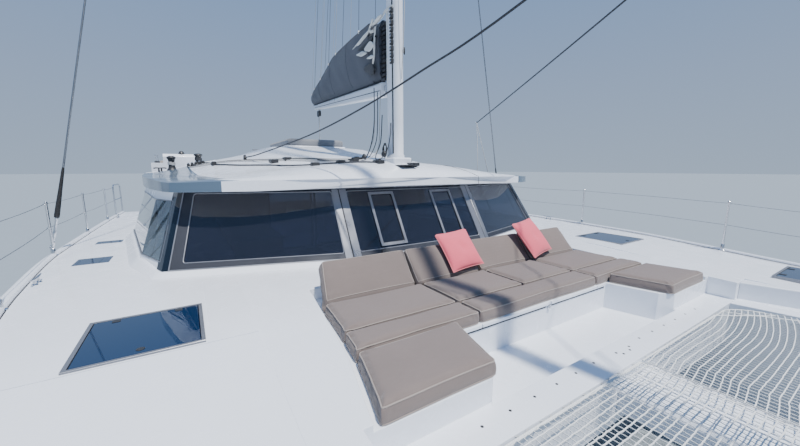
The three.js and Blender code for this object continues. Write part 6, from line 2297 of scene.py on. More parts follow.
    def spreaders(self) -> None:
        """The swept wing-shaped spreaders and the diamond wires that brace the mast."""
        root_x, tip_x = self.mast_x(10.5) - 0.06, self.spreader[0] + 0.01
        for side in Side:
            rings = []
            for t in (0.0, 0.25, 0.5, 0.75, 0.96, 1.0):
                x, y = mix(root_x, tip_x, t), side.value * mix(0.06, 1.97, t)
                half, thick = mix(0.07, 0.03, t), mix(0.0155, 0.009, t)
                if t == 1.0:
                    half, thick = 0.02, 0.005
                rings.append([Vector((x + half * math.cos(a), y, 10.5 + thick * math.sin(a)))
                              for a in (2 * math.pi * k / 16 for k in range(16))])
            self.yard.fit(Bench.loft(f"spreader_{side.label}", rings, angle=50), SPAR)
            boot = Bench.turned(f"spreader_boot_{side.label}", (self.spreader[0], side.value * 1.955, 10.5),
                                (0, side.value, 0),
                                [(0, 0.014), (0.012, 0.024), (0.048, 0.026), (0.062, 0.016)], 14)
            self.yard.fit(boot, RUBBER)

    def shroud(self, side: Side) -> None:
        """One cap shroud: chainplate, toggle and turnbuckle, tapered black boot, covered wire."""
        s = side.value
        foot = Vector((self.chainplate[0], s * self.chainplate[1], self.chainplate[2]))
        tip = Vector((self.spreader[0], s * self.spreader[1], self.spreader[2]))
        head = Vector((self.mast_x(self.hounds_z), s * 0.095, self.hounds_z))
        run = (tip - foot).normalized()

        def at(z: float) -> Vector:
            """The place on the lower wire at a height."""
            return foot.lerp(tip, (z - foot.z) / (tip.z - foot.z))

        plate = Bench.prism("plate",
                            [(-0.030, 0.0), (0.030, 0.0), (0.022, 0.075), (0.0, 0.089), (-0.022, 0.075)],
                            s * 3.824, s * 3.836, "xzy", 0.003)
        plate.data.transform(Matrix.Translation((foot.x, 0, foot.z + 0.0005)))
        parts = [plate]
        low = at(1.915)
        parts.append(Bench.turned("fork", low, run, [(0, 0.013), (0.02, 0.017), (0.05, 0.017), (0.07, 0.009)],
                                  14))
        parts.append(Bench.turned("stud", at(1.975), run, [(0, 0.0085), (0.08, 0.0085)], 12))
        parts.append(Bench.turned("body", at(2.03), run,
                                  [(0, 0.012), (0.015, 0.0165), (0.06, 0.0165), (0.075, 0.013),
                                                          (0.20, 0.013), (0.215, 0.0165), (0.25, 0.0165),
                                                          (0.262, 0.010)], 16))
        parts.append(Bench.turned("pin", foot + Vector((0, -s * 0.018, 0.062)), (0, s, 0),
                                  [(0, 0.007), (0.036, 0.007)], 12))
        self.yard.fit(Bench.joined(f"turnbuckle_{side.label}", parts), STEEL)
        boot = Bench.turned(f"shroud_boot_{side.label}", at(2.26), run,
                            [(0, 0.012), (0.004, 0.024), (0.03, 0.026), (0.16, 0.0235), (0.34, 0.0185),
                             (0.56, 0.014),
                             (0.60, 0.011)], 20)
        self.yard.fit(boot, RUBBER)
        wire = Bench.tube(f"shroud_wire_{side.label}",
                          [at(2.27), at(4.0), at(6.0), at(8.0), tip, tip.lerp(head, 0.5), head],
                          0.0105, 2)
        tang = Bench.block("tang", (head.x - 0.025, head.x + 0.025),
                           (min(s * 0.080, s * 0.112), max(s * 0.080, s * 0.112)),
                           (self.hounds_z - 0.05, self.hounds_z + 0.04), 0.006, 2)
        self.yard.fit(Bench.joined(f"shroud_wire_{side.label}", [wire, tang]), WIRE,
                      replaces=[f"shroud_{side.label}"])

    def genoa(self) -> None:
        """The furled genoa: rolled cloth, its coloured edge winding up the stay, and the clew left out."""
        foot = Vector(self.stay_foot)
        head = Vector((self.mast_x(self.stay_head_z) + 0.15, 0, self.stay_head_z))
        run, length = (head - foot).normalized(), (head - foot).length
        turn = run.to_track_quat("Z", "Y").to_matrix()
        outline = Fairing([(0.52, 0.046), (0.9, 0.078), (3.0, 0.088), (9.0, 0.068), (length - 1.5, 0.042),
                           (length - 1.2, 0.014)])
        sides, rings, levels = 28, [], 190
        for k in range(levels + 1):
            along = mix(0.52, length - 1.2, k / levels)
            radius = float(outline.at(along)[0])
            lap = along * 2.4
            ring = []
            for j in range(sides):
                a = 2 * math.pi * j / sides
                fall = (a - lap) % (2 * math.pi) / (2 * math.pi)
                soft = 0.0022 * math.sin(9 * a + 5 * along) + 0.0018 * math.sin(4 * a - 11 * along)
                ring.append(foot + run * along + turn @ Vector((math.cos(a), math.sin(a), 0)) *
                            (radius - 0.006 + 0.008 * fall + soft))
            rings.append(ring)
        roll = Bench.loft("genoa_roll", rings, angle=70)
        self.yard.fit(roll, SAILCLOTH, replaces=["genoa_furled"])
        roll.data.materials.append(UV_STRIP.material())
        for face in roll.data.polygons:
            middle = face.center - foot
            along = middle.dot(run)
            flat = turn.inverted() @ (middle - run * along)
            a = (math.atan2(flat.y, flat.x) - along * 2.4) % (2 * math.pi)
            face.material_index = 1 if a < 2.5 else 0
        stay = Bench.tube("forestay", [foot, foot + run * 0.5, foot + run * (length - 1.3), head], 0.0085, 2)
        self.yard.fit(stay, WIRE)
        clew = Vector(self.clew)
        along = (clew - foot).dot(run)
        near = foot + run * along
        patch = Bench.prism("genoa_clew",
                            [(0.0, -0.10), (0.11, -0.02), (0.115, 0.02), (0.0, 0.13), (-0.05, 0.0)], -0.006,
                            0.006,
                            "xzy", 0.003)
        patch.data.transform(Matrix.Translation(near + Vector((-0.075, 0.0, 0.0))) @ Matrix.Rotation(math.pi,
                                                                                                     4, "Z"))
        ring = Bench.tube("clew_ring", round_ring(near + Vector((-0.165, 0, 0)), (0, 1, 0), 0.018, 16), 0.005,
                          2, True)
        self.yard.fit(patch, UV_STRIP)
        self.yard.fit(ring, STEEL)

    def furler(self) -> None:
        """The furling drum with its flanges and line, and the swivel at the head."""
        foot = Vector(self.stay_foot)
        head = Vector((self.mast_x(self.stay_head_z) + 0.15, 0, self.stay_head_z))
        run, length = (head - foot).normalized(), (head - foot).length
        drum = Bench.turned("furling_drum", foot + run * 0.262, run,
                            [(0, 0.03), (0.001, 0.094), (0.008, 0.0945), (0.012, 0.05), (0.112, 0.05),
                             (0.118, 0.0945),
                             (0.128, 0.094), (0.132, 0.04), (0.16, 0.032), (0.25, 0.030)], 32)
        toggle = Bench.turned("toggle", foot + run * 0.02, run,
                              [(0, 0.011), (0.03, 0.0165), (0.12, 0.0165), (0.15, 0.0115),
                                                                (0.24, 0.0115)], 16)
        plates = [Bench.block("plate", (6.282, 6.328), (y, y + 0.006), (1.5902, 1.688),
                              0.004) for y in (-0.012, 0.006)]
        self.yard.fit(drum, PLASTIC)
        self.yard.fit(Bench.joined("forestay_toggle", [toggle, *plates]), STEEL)
        turns = []
        turn = run.to_track_quat("Z", "Y").to_matrix()
        for k in range(133):
            a = 2 * math.pi * k / 19
            turns.append(foot + run * (0.284 + 0.0115 * a / (2 * math.pi))
                         + turn @ Vector((0.057 * math.cos(a), 0.057 * math.sin(a), 0)))
        self.yard.fit(Bench.tube("furling_line_turns", turns, 0.0055, 2), DARK_ROPE)
        swivel = Bench.turned("genoa_swivel", foot + run * (length - 1.22), run,
                              [(0, 0.014), (0.01, 0.030), (0.10, 0.032), (0.11, 0.024), (0.18, 0.020),
                               (0.19, 0.010)], 20)
        self.yard.fit(swivel, PLASTIC)
        face = self.mast_x(self.stay_head_z) + 0.134
        tang = Bench.block("forestay_tang", (face, face + 0.046), (-0.014, 0.014), (self.stay_head_z - 0.02,
                           self.stay_head_z + 0.02), 0.005)
        self.yard.fit(tang, STEEL)

    def halyards(self) -> None:
        """Halyards and reef lines: down the mast, out at its foot and into the organisers."""
        runs = (
            ("halyard_1", DARK_ROPE, 0.0062,
             [(0.17, -0.115, 3.93), (0.175, -0.12, 3.5), (0.165, -0.16, 3.2), (0.15, -0.24, 2.99),
                                              (0.10, -0.33, 2.965)]),
            ("halyard_2", PALE_ROPE, 0.0058,
             [(0.155, -0.10, 3.50), (0.16, -0.13, 3.25), (0.14, -0.20, 3.06), (0.13, -0.26, 2.99),
                                              (0.06, -0.30, 2.955)]),
            ("halyard_3", DARK_ROPE, 0.0060,
             [(0.24, -0.10, 3.86), (0.235, -0.10, 3.5), (0.24, -0.13, 3.2), (0.25, -0.26, 2.98),
                                              (0.22, -0.42, 2.945)]),
            ("halyard_4", PALE_ROPE, 0.0060,
             [(0.30, -0.085, 3.88), (0.285, -0.095, 3.5), (0.30, -0.12, 3.15), (0.32, -0.24, 2.99),
                                              (0.26, -0.44, 2.94)]),
            ("halyard_5", DARK_ROPE, 0.0065, [(0.345, -0.088, 3.55), (0.355, -0.12, 3.2), (0.37, -0.20, 3.02),
                                              (0.50, -0.28, 2.96), (0.58, -0.31, 2.955)]),
            ("halyard_6", DARK_ROPE, 0.0065,
             [(0.575, -0.0905, 3.42), (0.583, -0.105, 3.25), (0.59, -0.15, 3.08),
                                              (0.60, -0.24, 2.97), (0.61, -0.29, 2.955)]),
        )
        for name, finish, radius, points in runs:
            self.yard.fit(Bench.tube(name, curve_through([Vector(p) for p in points], 6), radius, 2), finish)
        loops = []
        for k in range(4):
            loops.append(Bench.tube("loop", [Vector((0.455 + 0.012 * k, -0.110 - 0.008 * k, 3.17)) + Vector((
                0.030 * math.sin(a) * (1 + 0.3 * k), 0.006 * math.sin(2 * a),
                -0.16 * (1 - math.cos(a)) / 2 - 0.01 * k))
                for a in (2 * math.pi * i / 22 for i in range(22))], 0.0055, 2, True))
        self.yard.fit(Bench.joined("halyard_hanks", loops), DARK_ROPE)
        blocks = []
        for x, y, z in ((0.16, -0.28, 2.99), (0.27, -0.33, 2.985), (0.60, -0.21, 3.02)):
            blocks.append(Bench.prism("cheek",
                                      [(-0.04, -0.03), (0.04, -0.03), (0.05, 0.01), (0.0, 0.05),
                                       (-0.05, 0.01)],
                                      -0.016, 0.016, "xzy", 0.008))
            blocks[-1].data.transform(Matrix.Translation((x, y, z)))
        self.yard.fit(Bench.joined("mast_foot_blocks", blocks), PLASTIC)
        for side in Side:
            s = side.value
            up = [self.on_mast(z, -0.02, s * 0.088) for z in (5.2, 7.0, 9.0, 11.0, 13.5, 15.4)]
            self.yard.fit(Bench.tube(f"topping_line_{side.label}", up, 0.005, 1), PALE_ROPE)
        spare = [self.on_mast(z, forward, 0.005) for z,
                 forward in ((3.95, 0.150), (4.6, 0.215), (6.0, 0.260), (9.0, 0.270),
                                                                    (13.0, 0.215), (17.2, 0.14))]
        self.yard.fit(Bench.tube("spare_halyard", curve_through(spare, 6), 0.0052, 2), PALE_ROPE)

    def sheets(self) -> None:
        """The genoa's two sheets, from the clew to their leads."""
        start = Vector(self.clew) + Vector((-0.19, 0, -0.02))
        block = Vector((-1.30, -1.61, 3.005))

        def hung(a: Vector, b: Vector, sag: float, count: int = 28) -> list[Vector]:
            """A line that hangs between two places."""
            return [a.lerp(b, k / count) - Vector((0, 0, 4 * sag * (k / count) * (1 - k / count)))
                    for k in range(count + 1)]

        starboard = curve_through([start + Vector((0, -0.012, 0)), (2.97, -0.532, 3.862), (2.15, -0.74, 3.60),
                                   (1.40, -0.93, 3.395),
                                   (0.505, -1.153, 3.215), (-0.786, -1.477, 3.045),
                                   block + Vector((0.03, 0.008, 0))], 7)
        self.yard.fit(Bench.tube("genoa_sheet_starboard", starboard, 0.0085, 2), DARK_ROPE)
        ring = Vector((-0.40, 2.39, 3.70))
        port = hung(start + Vector((0, 0.012, 0)), ring, 0.02)
        self.yard.fit(Bench.tube("genoa_sheet_port", port, 0.0085, 2), DARK_ROPE)
        shell = Bench.prism("block",
                            [(-0.045, -0.03), (0.045, -0.03), (0.05, 0.015), (0.0, 0.055), (-0.05, 0.015)],
                            -0.02, 0.02, "xzy", 0.010)
        shell.data.transform(Matrix.Translation(block + Vector((0, 0, -0.012))))
        eye = Bench.block("eye", (block.x - 0.04, block.x + 0.04), (block.y - 0.025, block.y + 0.025),
                          (block.z - 0.11, block.z - 0.03), 0.010, 2)
        self.yard.fit(Bench.joined("sheet_lead_block", [shell, eye]), PLASTIC)
        self.yard.fit(Bench.tube("sheet_ring", round_ring(ring, (0.3, 1, 0.2), 0.022, 18), 0.007, 2, True),
                      STEEL)
        deck = Vector((-0.40, 3.10, 1.86))
        tail = [ring, ring.lerp(deck, 0.35), ring.lerp(deck, 0.7), deck]
        self.yard.fit(Bench.tube("sheet_strop_port", curve_through(tail, 6), 0.0085, 2), PALE_ROPE)
        roof_foot = Vector((-0.40, 2.46, 2.76))
        self.yard.fit(Bench.tube("sheet_tail_port",
                                 curve_through([ring, ring.lerp(roof_foot, 0.5) + Vector((0, 0.012, 0)),
                                                                   roof_foot], 6), 0.0075, 2), PALE_ROPE)
        pads = [Bench.turned("pad", deck - Vector((0, 0, 0.012)), (0, 0, 1),
                             [(0, 0.035), (0.012, 0.032), (0.03, 0.014)], 16),
                Bench.turned("pad", roof_foot - Vector((0, 0, 0.03)), (0, 0, 1),
                             [(0, 0.03), (0.02, 0.028), (0.04, 0.012)], 16)]
        self.yard.fit(Bench.joined("sheet_pad_eyes", pads), STEEL)


@dataclass
class BoomAndBag(Assembly):
    """The boom, the bag that holds the lowered mainsail, and the lines that lead from them."""

    length: float = 5.30
    rise: float = 0.618
    depth: tuple[float, float] = (0.200, 0.125)
    # Distance aft, half width of the belly, height of the bag.
    rows: tuple[tuple[float, ...], ...] = (
        (0.110, 0.100, 0.840), (0.500, 0.150, 0.805), (1.300, 0.170, 0.790), (2.500, 0.172, 0.755),
        (3.350, 0.168, 0.605),
        (4.200, 0.160, 0.460), (4.900, 0.148, 0.360), (5.440, 0.130, 0.255))

    def __post_init__(self) -> None:
        """Fairs the bag's stations."""
        self.lines = Fairing(self.rows)

    def build(self) -> None:
        """Builds the boom, then the bag with the sail in it, then their lines."""
        self.boom()
        self.boom_fittings()
        self.bag()
        self.folds()
        self.luff()
        self.lazy_jacks()
        self.mainsheet()

    def place(self, aft: float, out: float, up: float) -> Vector:
        """A place given along the boom, in the boat's frame.

        Args:
            aft: Distance aft of the gooseneck.
            out: Distance to port of the boom's middle.
            up: Height above the gooseneck.

        Returns:
            The place, with the boom swung as it rests.
        """
        c, s = math.cos(BOOM_REST), math.sin(BOOM_REST)
        return GOOSENECK + Vector((-aft * c - out * s, -aft * s + out * c, up))

    def share(self, aft: float) -> float:
        """How far along the boom a station lies."""
        return (aft - 0.095) / (self.length - 0.095)

    def boom_top(self, aft: float) -> float:
        """The height of the boom's top above the gooseneck."""
        return mix(self.depth[0] - 0.115, self.depth[1] - 0.115 + self.rise, self.share(aft))

    def boom(self) -> None:
        """The rounded, tapering spar, with its side groove and cast ends."""
        outline = [(0.0, 0.0), (0.026, 0.004), (0.044, 0.018), (0.056, 0.05), (0.063, 0.11), (0.0645, 0.2),
                   (0.0645, 0.5),
                   (0.0645, 0.78), (0.060, 0.9), (0.050, 0.965), (0.034, 0.998), (0.012, 1.0)]
        rings = []
        for aft in (0.095, 0.10, 0.6, 1.5, 2.5, 3.5, 4.5, 5.24, 5.29, 5.30):
            t = self.share(aft)
            depth, low = mix(*self.depth, t), mix(-0.115, -0.115 + self.rise, t)
            tuck = 0.86 if aft in (0.095, 5.30) else 1.0
            side = [(y * tuck, 0.5 + (f - 0.5) * (0.96 if tuck < 1 else 1)) for y, f in outline]
            ring = side + [(-y, f) for y, f in reversed(side)][:-1]
            rings.append([self.place(aft, y, low + f * depth) for y, f in ring[1:]])
        self.yard.fit(Bench.loft("boom_spar", rings, angle=42), SPAR, "boom", replaces=["boom"])
        for s in (-1, 1):
            groove = []
            for aft in (0.14, 1.8, 3.6, 5.22):
                t = self.share(aft)
                mid = mix(-0.115, -0.115 + self.rise, t) + 0.42 * mix(*self.depth, t)
                groove.append([self.place(aft, s * (0.062 + dy), mid + dz) for dy, dz in
                               ((0.0, -0.006), (0.0037, -0.006), (0.0037, 0.006), (0.0, 0.006))])
            self.yard.fit(Bench.loft(f"boom_groove_{'port' if s > 0 else 'starboard'}", groove), PLASTIC,
                          "boom")
        for name, lead, aft, deep, finish in (("boom_end_cap", -0.004, 5.296, 0.004, PLASTIC),
                                              ("boom_heel_cap", 0.0, 0.094, 0.002, SPAR)):
            t = self.share(aft)
            depth, low = mix(*self.depth, t), mix(-0.115, -0.115 + self.rise, t)
            cap = [[self.place(aft + d, y * 0.84, low + (0.5 + (f - 0.5) * 0.9) * depth) for y, f in
                    outline[1:] + [(-y, f) for y, f in reversed(outline[1:])]] for d in (lead, deep)]
            self.yard.fit(Bench.loft(name, cap), finish, "boom")

    def boom_fittings(self) -> None:
        """The gooseneck toggle and pin, and the blocks and eyes on the boom."""
        knuckle = [[self.place(aft, y, z) for y, z in ((-h, -v), (h, -v), (h, v), (-h, v))]
                   for aft, h, v in ((0.0, 0.014, 0.036), (0.02, 0.0175, 0.0375), (0.128, 0.0175, 0.0375))]
        pieces = [Bench.bevelled(Bench.loft("toggle", knuckle), 0.005),
                  Bench.turned("pin", GOOSENECK - Vector((0, 0, 0.0464)), (0, 0, 1),
                               [(0, 0.018), (0.004, 0.0238), (0.0888, 0.0238), (0.0928, 0.018)], 20)]
        self.yard.fit(Bench.joined("gooseneck_toggle", pieces), STEEL, "boom")
        blocks, eyes = [], []
        for aft, drop in ((4.92, 0.100), (5.10, 0.110)):
            t = self.share(aft)
            low = mix(-0.115, -0.115 + self.rise, t)
            shell = [[self.place(aft + dx, out, low - drop + dz) for dx, dz in
                      ((-0.055, -0.07), (0.055, -0.07), (0.068, 0.0), (0.05, 0.06), (0.0, 0.085),
                       (-0.05, 0.06), (-0.068, 0.0))]
                     for out in (-0.028, 0.028)]
            blocks.append(Bench.bevelled(Bench.loft("block", shell), 0.010, 2))
            eyes.append(Bench.tube("eye", [self.place(aft, 0, low + 0.006), self.place(aft, 0, low - 0.05)],
                                   0.009, 2))
        self.yard.fit(Bench.joined("boom_blocks", blocks), PLASTIC, "boom")
        self.yard.fit(Bench.joined("boom_eyes", eyes), STEEL, "boom")

    def skin(self, aft: float, f: float, s: int, grown: float = 0.0) -> Vector:
        """A point of the bag's side.

        Args:
            aft: The station.
            f: How far up the side, from the boom to the top edge.
            s: The side, 1 to port and -1 to starboard.
            grown: How far outside the skin.

        Returns:
            The point.
        """
        half, height = self.lines.at(aft)
        wide = float(np.interp(f, [0.0, 0.2, 0.42, 0.62, 0.82, 1.0],
                               [0.045, half * 0.70, half * 0.90, half * 0.985, half * 0.93, half * 0.78]))
        return self.place(aft, s * (wide + grown), self.boom_top(aft) + 0.0006 + f * height)

    def bag(self) -> None:
        """The grey canvas bag: one shell with soft wrinkles, its top closed by a zip over the sail."""
        sides, levels = 60, 22
        grid = []
        for i in range(sides + 1):
            aft = mix(0.42, 5.44, i / sides)
            row = []
            crown = 0.014 * math.sin(math.pi * min(1.0, (5.44 - aft) / 0.5) / 2)
            for s in (-1, 1):
                line = []
                for k in range(levels + 1):
                    f = k / levels
                    fold = (0.004 * math.sin(3.4 * aft + 5.0 * f + s)
                            + 0.0035 * math.sin(9.0 * aft - 7 * f + 2 * s))
                    fold += 0.003 * math.sin(17.0 * aft * (1 - 0.4 * f) + 3 * s) * f
                    sag = -0.010 * math.sin(math.pi * f) * (0.5 + 0.5 * math.sin(1.9 * aft + 0.7 * s))
                    line.append(self.skin(aft, f, s,
                                          (fold + sag) * min(1.0, 4 * f) * min(1.0, 6 * (1.02 - f))))
                row += line if s < 0 else line[::-1]
            middle = [row[levels].lerp(row[levels + 1], t) + Vector((0, 0, crown * math.sin(math.pi * t)))
                      for t in (0.2, 0.4, 0.6, 0.8)]
            grid.append(row[:levels + 1] + middle + row[levels + 1:])
        shell = Bench.loft("bag_shell", grid, angle=60)
        self.yard.fit(shell, CANVAS, "boom", replaces=["sail_bag"])
        for s in (-1, 1):
            label = "port" if s > 0 else "starboard"
            edge = [self.skin(mix(0.42, 5.43, k / 60), 0.985, s, 0.002) for k in range(61)]
            self.yard.fit(Bench.tube(f"bag_edge_{label}", edge, 0.0065, 2), CANVAS, "boom")
            # A black strip along the bag's foot, where it meets the boom.
            foot_strip = []
            for k in range(61):
                aft = mix(0.16, 5.42, k / 60)
                foot_strip.append([self.place(aft, s * y, self.boom_top(aft) + z) for y, z in
                            ((0.050, 0.002), (0.0685, -0.012), (0.0715, -0.012), (0.060, 0.012))])
            self.yard.fit(Bench.loft(f"bag_hem_{label}", foot_strip, angle=60), RUBBER, "boom")
            for m, aft in enumerate((1.45, 2.75, 4.05)):
                seam = [self.skin(aft + 0.10 * (k / 16), k / 16, s, 0.0035) for k in range(1, 17)]
                self.yard.fit(Bench.tube(f"bag_seam_{label}_{m + 1}", seam, 0.0022, 1), CANVAS, "boom")
        zipper = [self.skin(mix(0.45, 5.40, k / 50), 1.0, 1).lerp(self.skin(mix(0.45, 5.40, k / 50), 1.0, -1),
                                                                  0.5)
                  + Vector((0, 0, 0.0155 * math.sin(math.pi * min(1.0, (5.44 - mix(0.45, 5.40,
                                                                                   k / 50)) / 0.5) / 2)))
                  for k in range(51)]
        self.yard.fit(Bench.tube("bag_zip", zipper, 0.006, 1), RUBBER, "boom")

    def flake(self, name: str, path: Sequence[tuple[float, float]], wide: float, out: float, lift: float,
              seed: int) -> Piece:
        """One soft fold of sailcloth bulging from the bag's open end.

        Args:
            name: The piece's name.
            path: Distance aft and height above the gooseneck along the fold.
            wide: Its width at the middle.
            out: How far to starboard it starts.
            lift: How far its belly stands out.
            seed: Varies its wrinkles.

        Returns:
            The finished piece.
        """
        run = curve_through([Vector((a, 0, u)) for a, u in path], 7)
        rings = []
        for k, p in enumerate(run):
            t = k / (len(run) - 1)
            ahead = (run[min(k + 1, len(run) - 1)] - run[max(k - 1, 0)]).normalized()
            across = Vector((-ahead.z, 0, ahead.x))
            width = wide * (0.25 + 0.75 * math.sin(math.pi * min(1.0, max(0.0, t * 0.9 + 0.05)))) * (
                1 + 0.18 * math.sin(7 * t + seed))
            ring = []
            for j in range(14):
                a = 2 * math.pi * j / 14
                u = math.cos(a) * width / 2
                bulge = lift * math.sin(math.pi * t) * (0.6 + 0.4 * math.cos(2.3 * math.cos(a) + seed))
                thick = 0.011 * math.sin(a) * (1 + 0.4 * math.sin(5 * t + seed + math.cos(a) * 3))
                q = p + across * u
                ring.append(self.place(q.x, -(out + bulge + thick), q.z))
            rings.append(ring)
        return Bench.loft(name, rings, angle=70)

    def folds(self) -> None:
        """The folded sail that shows at the bag's open forward end: pale folds over a dark core and dark
        flaps, partly the bag's lining and partly painted shade between the folds.
        """
        core = []
        for k in range(9):
            aft = mix(0.12, 0.60, k / 8)
            half, height = (float(v) for v in self.lines.at(aft))
            ring = []
            for j in range(24):
                a = 2 * math.pi * j / 24
                y = 0.80 * half * math.copysign(abs(math.cos(a)) ** 0.7, math.cos(a))
                z = (self.boom_top(aft) + 0.012
                     + height * (0.47 + 0.46 * math.copysign(abs(math.sin(a)) ** 0.8, math.sin(a))))
                ring.append(self.place(aft, y * (1 + 0.06 * math.sin(5 * a + 2 * k)), z))
            core.append(ring)
        # The sail's heart in dark canvas: partly the bag's lining, partly painted shade deep in the opening.
        heart = Bench.loft("sail_bunt", core, angle=60)
        self.yard.fit(heart, CANVAS, "boom", slot="sailcloth")
        pale = (([(-0.05, 0.855), (0.10, 0.86), (0.27, 0.86), (0.44, 0.87)], 0.060, 0.104, 0.010, 0),
                ([(0.20, 0.90), (0.34, 0.80), (0.18, 0.74)], 0.045, 0.126, 0.012, 1),
                ([(1.12, 0.79), (0.86, 0.78), (0.55, 0.785), (0.30, 0.80)], 0.052, 0.142, 0.010, 2),
                ([(0.50, 0.60), (0.30, 0.575), (0.12, 0.55)], 0.115, 0.150, 0.014, 3),
                ([(0.88, 0.635), (0.62, 0.575), (0.42, 0.53)], 0.060, 0.158, 0.010, 4),
                ([(0.40, 0.455), (0.22, 0.425), (0.10, 0.395)], 0.045, 0.150, 0.010, 5),
                ([(0.24, 0.34), (0.16, 0.46), (0.14, 0.62), (0.12, 0.78)], 0.028, 0.124, 0.008, 6))
        # Near-black flaps: partly the bag's lining, partly painted shade in the gaps between the pale folds.
        dark = (([(1.00, 0.71), (0.70, 0.68), (0.42, 0.66), (0.20, 0.66)], 0.090, 0.136, 0.006, 7),
                ([(0.44, 0.73), (0.24, 0.69), (0.12, 0.66)], 0.070, 0.120, 0.006, 8),
                ([(0.60, 0.36), (0.34, 0.30), (0.16, 0.22)], 0.150, 0.128, 0.008, 9))
        for m, (path, wide, out, lift, seed) in enumerate(pale):
            self.yard.fit(self.flake(f"sail_fold_{m + 1}", path, wide, out, lift, seed), SAILCLOTH, "boom")
        for m, (path, wide, out, lift, seed) in enumerate(dark):
            self.yard.fit(self.flake(f"bag_flap_{m + 1}", path, wide, out, lift, seed), NEAR_BLACK_CLOTH_AND_SHADE, "boom",
                          slot="canvas")
        for m, (path, wide, out, lift, seed) in enumerate(pale[::2]):
            twin = [(a + 0.05, u - 0.02) for a, u in path]
            piece = self.flake(f"sail_fold_port_{m + 1}", twin, wide, -out - 0.004, -lift, seed + 3)
            self.yard.fit(piece, SAILCLOTH, "boom")

    def luff(self) -> None:
        """The stack of black slides and rolled luff tape between the sail and the mast."""
        dice = random.Random(9)
        slides, tapes = [], []
        for k in range(13):
            up = mix(0.11, 0.80, k / 12)
            aft = 0.055 + 0.02 * dice.random()
            block = [[self.place(aft + dx, y, up + dz) for dx,
                      y in ((-0.045, -0.036), (0.105, -0.050), (0.105, 0.050), (-0.045, 0.036))]
                     for dz in (-0.021, 0.021)]
            slides.append(Bench.bevelled(Bench.loft("slide", block), 0.007))
            tape = [self.place(aft + 0.05 + 0.03 * math.sin(a), -0.045 + 0.018 * math.cos(a) * (-1) ** k,
                               up + 0.024 * math.cos(a)) for a in (math.pi * i / 8 for i in range(9))]
            tapes.append(Bench.tube("tape", tape, 0.009, 1))
        self.yard.fit(Bench.joined("luff_slides", slides), PLASTIC, "boom")
        self.yard.fit(Bench.joined("luff_tape_folds", tapes), NEAR_BLACK_CLOTH_AND_SHADE, "boom", slot="canvas")

    def lazy_jacks(self) -> None:
        """The light lines from the mast that hold the bag up, each with an eye patch where it meets the bag.
        """
        top = Vector((0.55 - (15.5 - 2.975) * MAST_RAKE - 0.02, 0, 15.5))
        for s in (-1, 1):
            label = "port" if s > 0 else "starboard"
            for m, aft in enumerate((0.85, 2.35, 3.00, 3.95, 4.85, 5.36)):
                low = self.skin(aft, 0.99, s, 0.004)
                head = top + Vector((0, s * 0.088, -0.10 * m))
                points = [low.lerp(head, t) for t in (0.0, 0.02, 0.05, 0.1, 0.2, 0.35, 0.5, 0.65, 0.8, 0.95,
                                                      1.0)]
                line = Bench.tube(f"lazy_jack_{label}_{m + 1}", points, 0.0036, 1)
                line.data.materials.clear()
                line.data.materials.append(PALE_ROPE.material() if m % 2 else DARK_ROPE.material())
                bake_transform(line)
                patch = Bench.turned("patch", low - Vector((0, 0, 0.02)), (0, 0, 1),
                                     [(0, 0.006), (0.01, 0.014), (0.03, 0.014),
                                                                                      (0.045, 0.005)], 10)
                patch.name = patch.data.name = f"lazy_jack_eye_{label}_{m + 1}"
                self.yard.fit(patch, SAILCLOTH, "boom")

    def mainsheet(self) -> None:
        """The mainsheet from the blocks under the boom's end to the block on the roof's after edge."""
        low = Vector((-4.80, 0.80, 3.375))
        parts = []
        for k, aft in enumerate((4.90, 4.94, 5.08, 5.12)):
            t = self.share(aft)
            high = self.place(aft, 0.0, mix(-0.115, -0.115 + self.rise, t) - 0.115)
            foot = low + Vector((0.035 * (k - 1.5), 0.0, 0.015))
            parts.append(Bench.tube("part", [high.lerp(foot, i / 10) for i in range(11)], 0.0062, 2))
        sheet = Bench.joined("mainsheet_falls", parts)
        sheet.data.materials.clear()
        sheet.data.materials.append(PALE_ROPE.material())
        high = self.place(5.0, 0, 0.4)
        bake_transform(sheet)
        shell = Bench.prism("block",
                            [(-0.08, -0.03), (0.08, -0.03), (0.085, 0.02), (0.0, 0.05), (-0.085, 0.02)],
                            -0.024, 0.024,
                            "xzy", 0.010)
        shell.data.transform(Matrix.Translation(low))
        track = Bench.block("track", (-4.86, -4.74), (-0.95, 0.95), (3.288, 3.312), 0.006, 2)
        car = Bench.block("car", (-4.87, -4.73), (0.71, 0.89), (3.312, 3.345), 0.008, 2)
        self.yard.fit(Bench.joined("mainsheet_block", [shell, car]), PLASTIC)
        self.yard.fit(track, BRIGHT_FRAME)


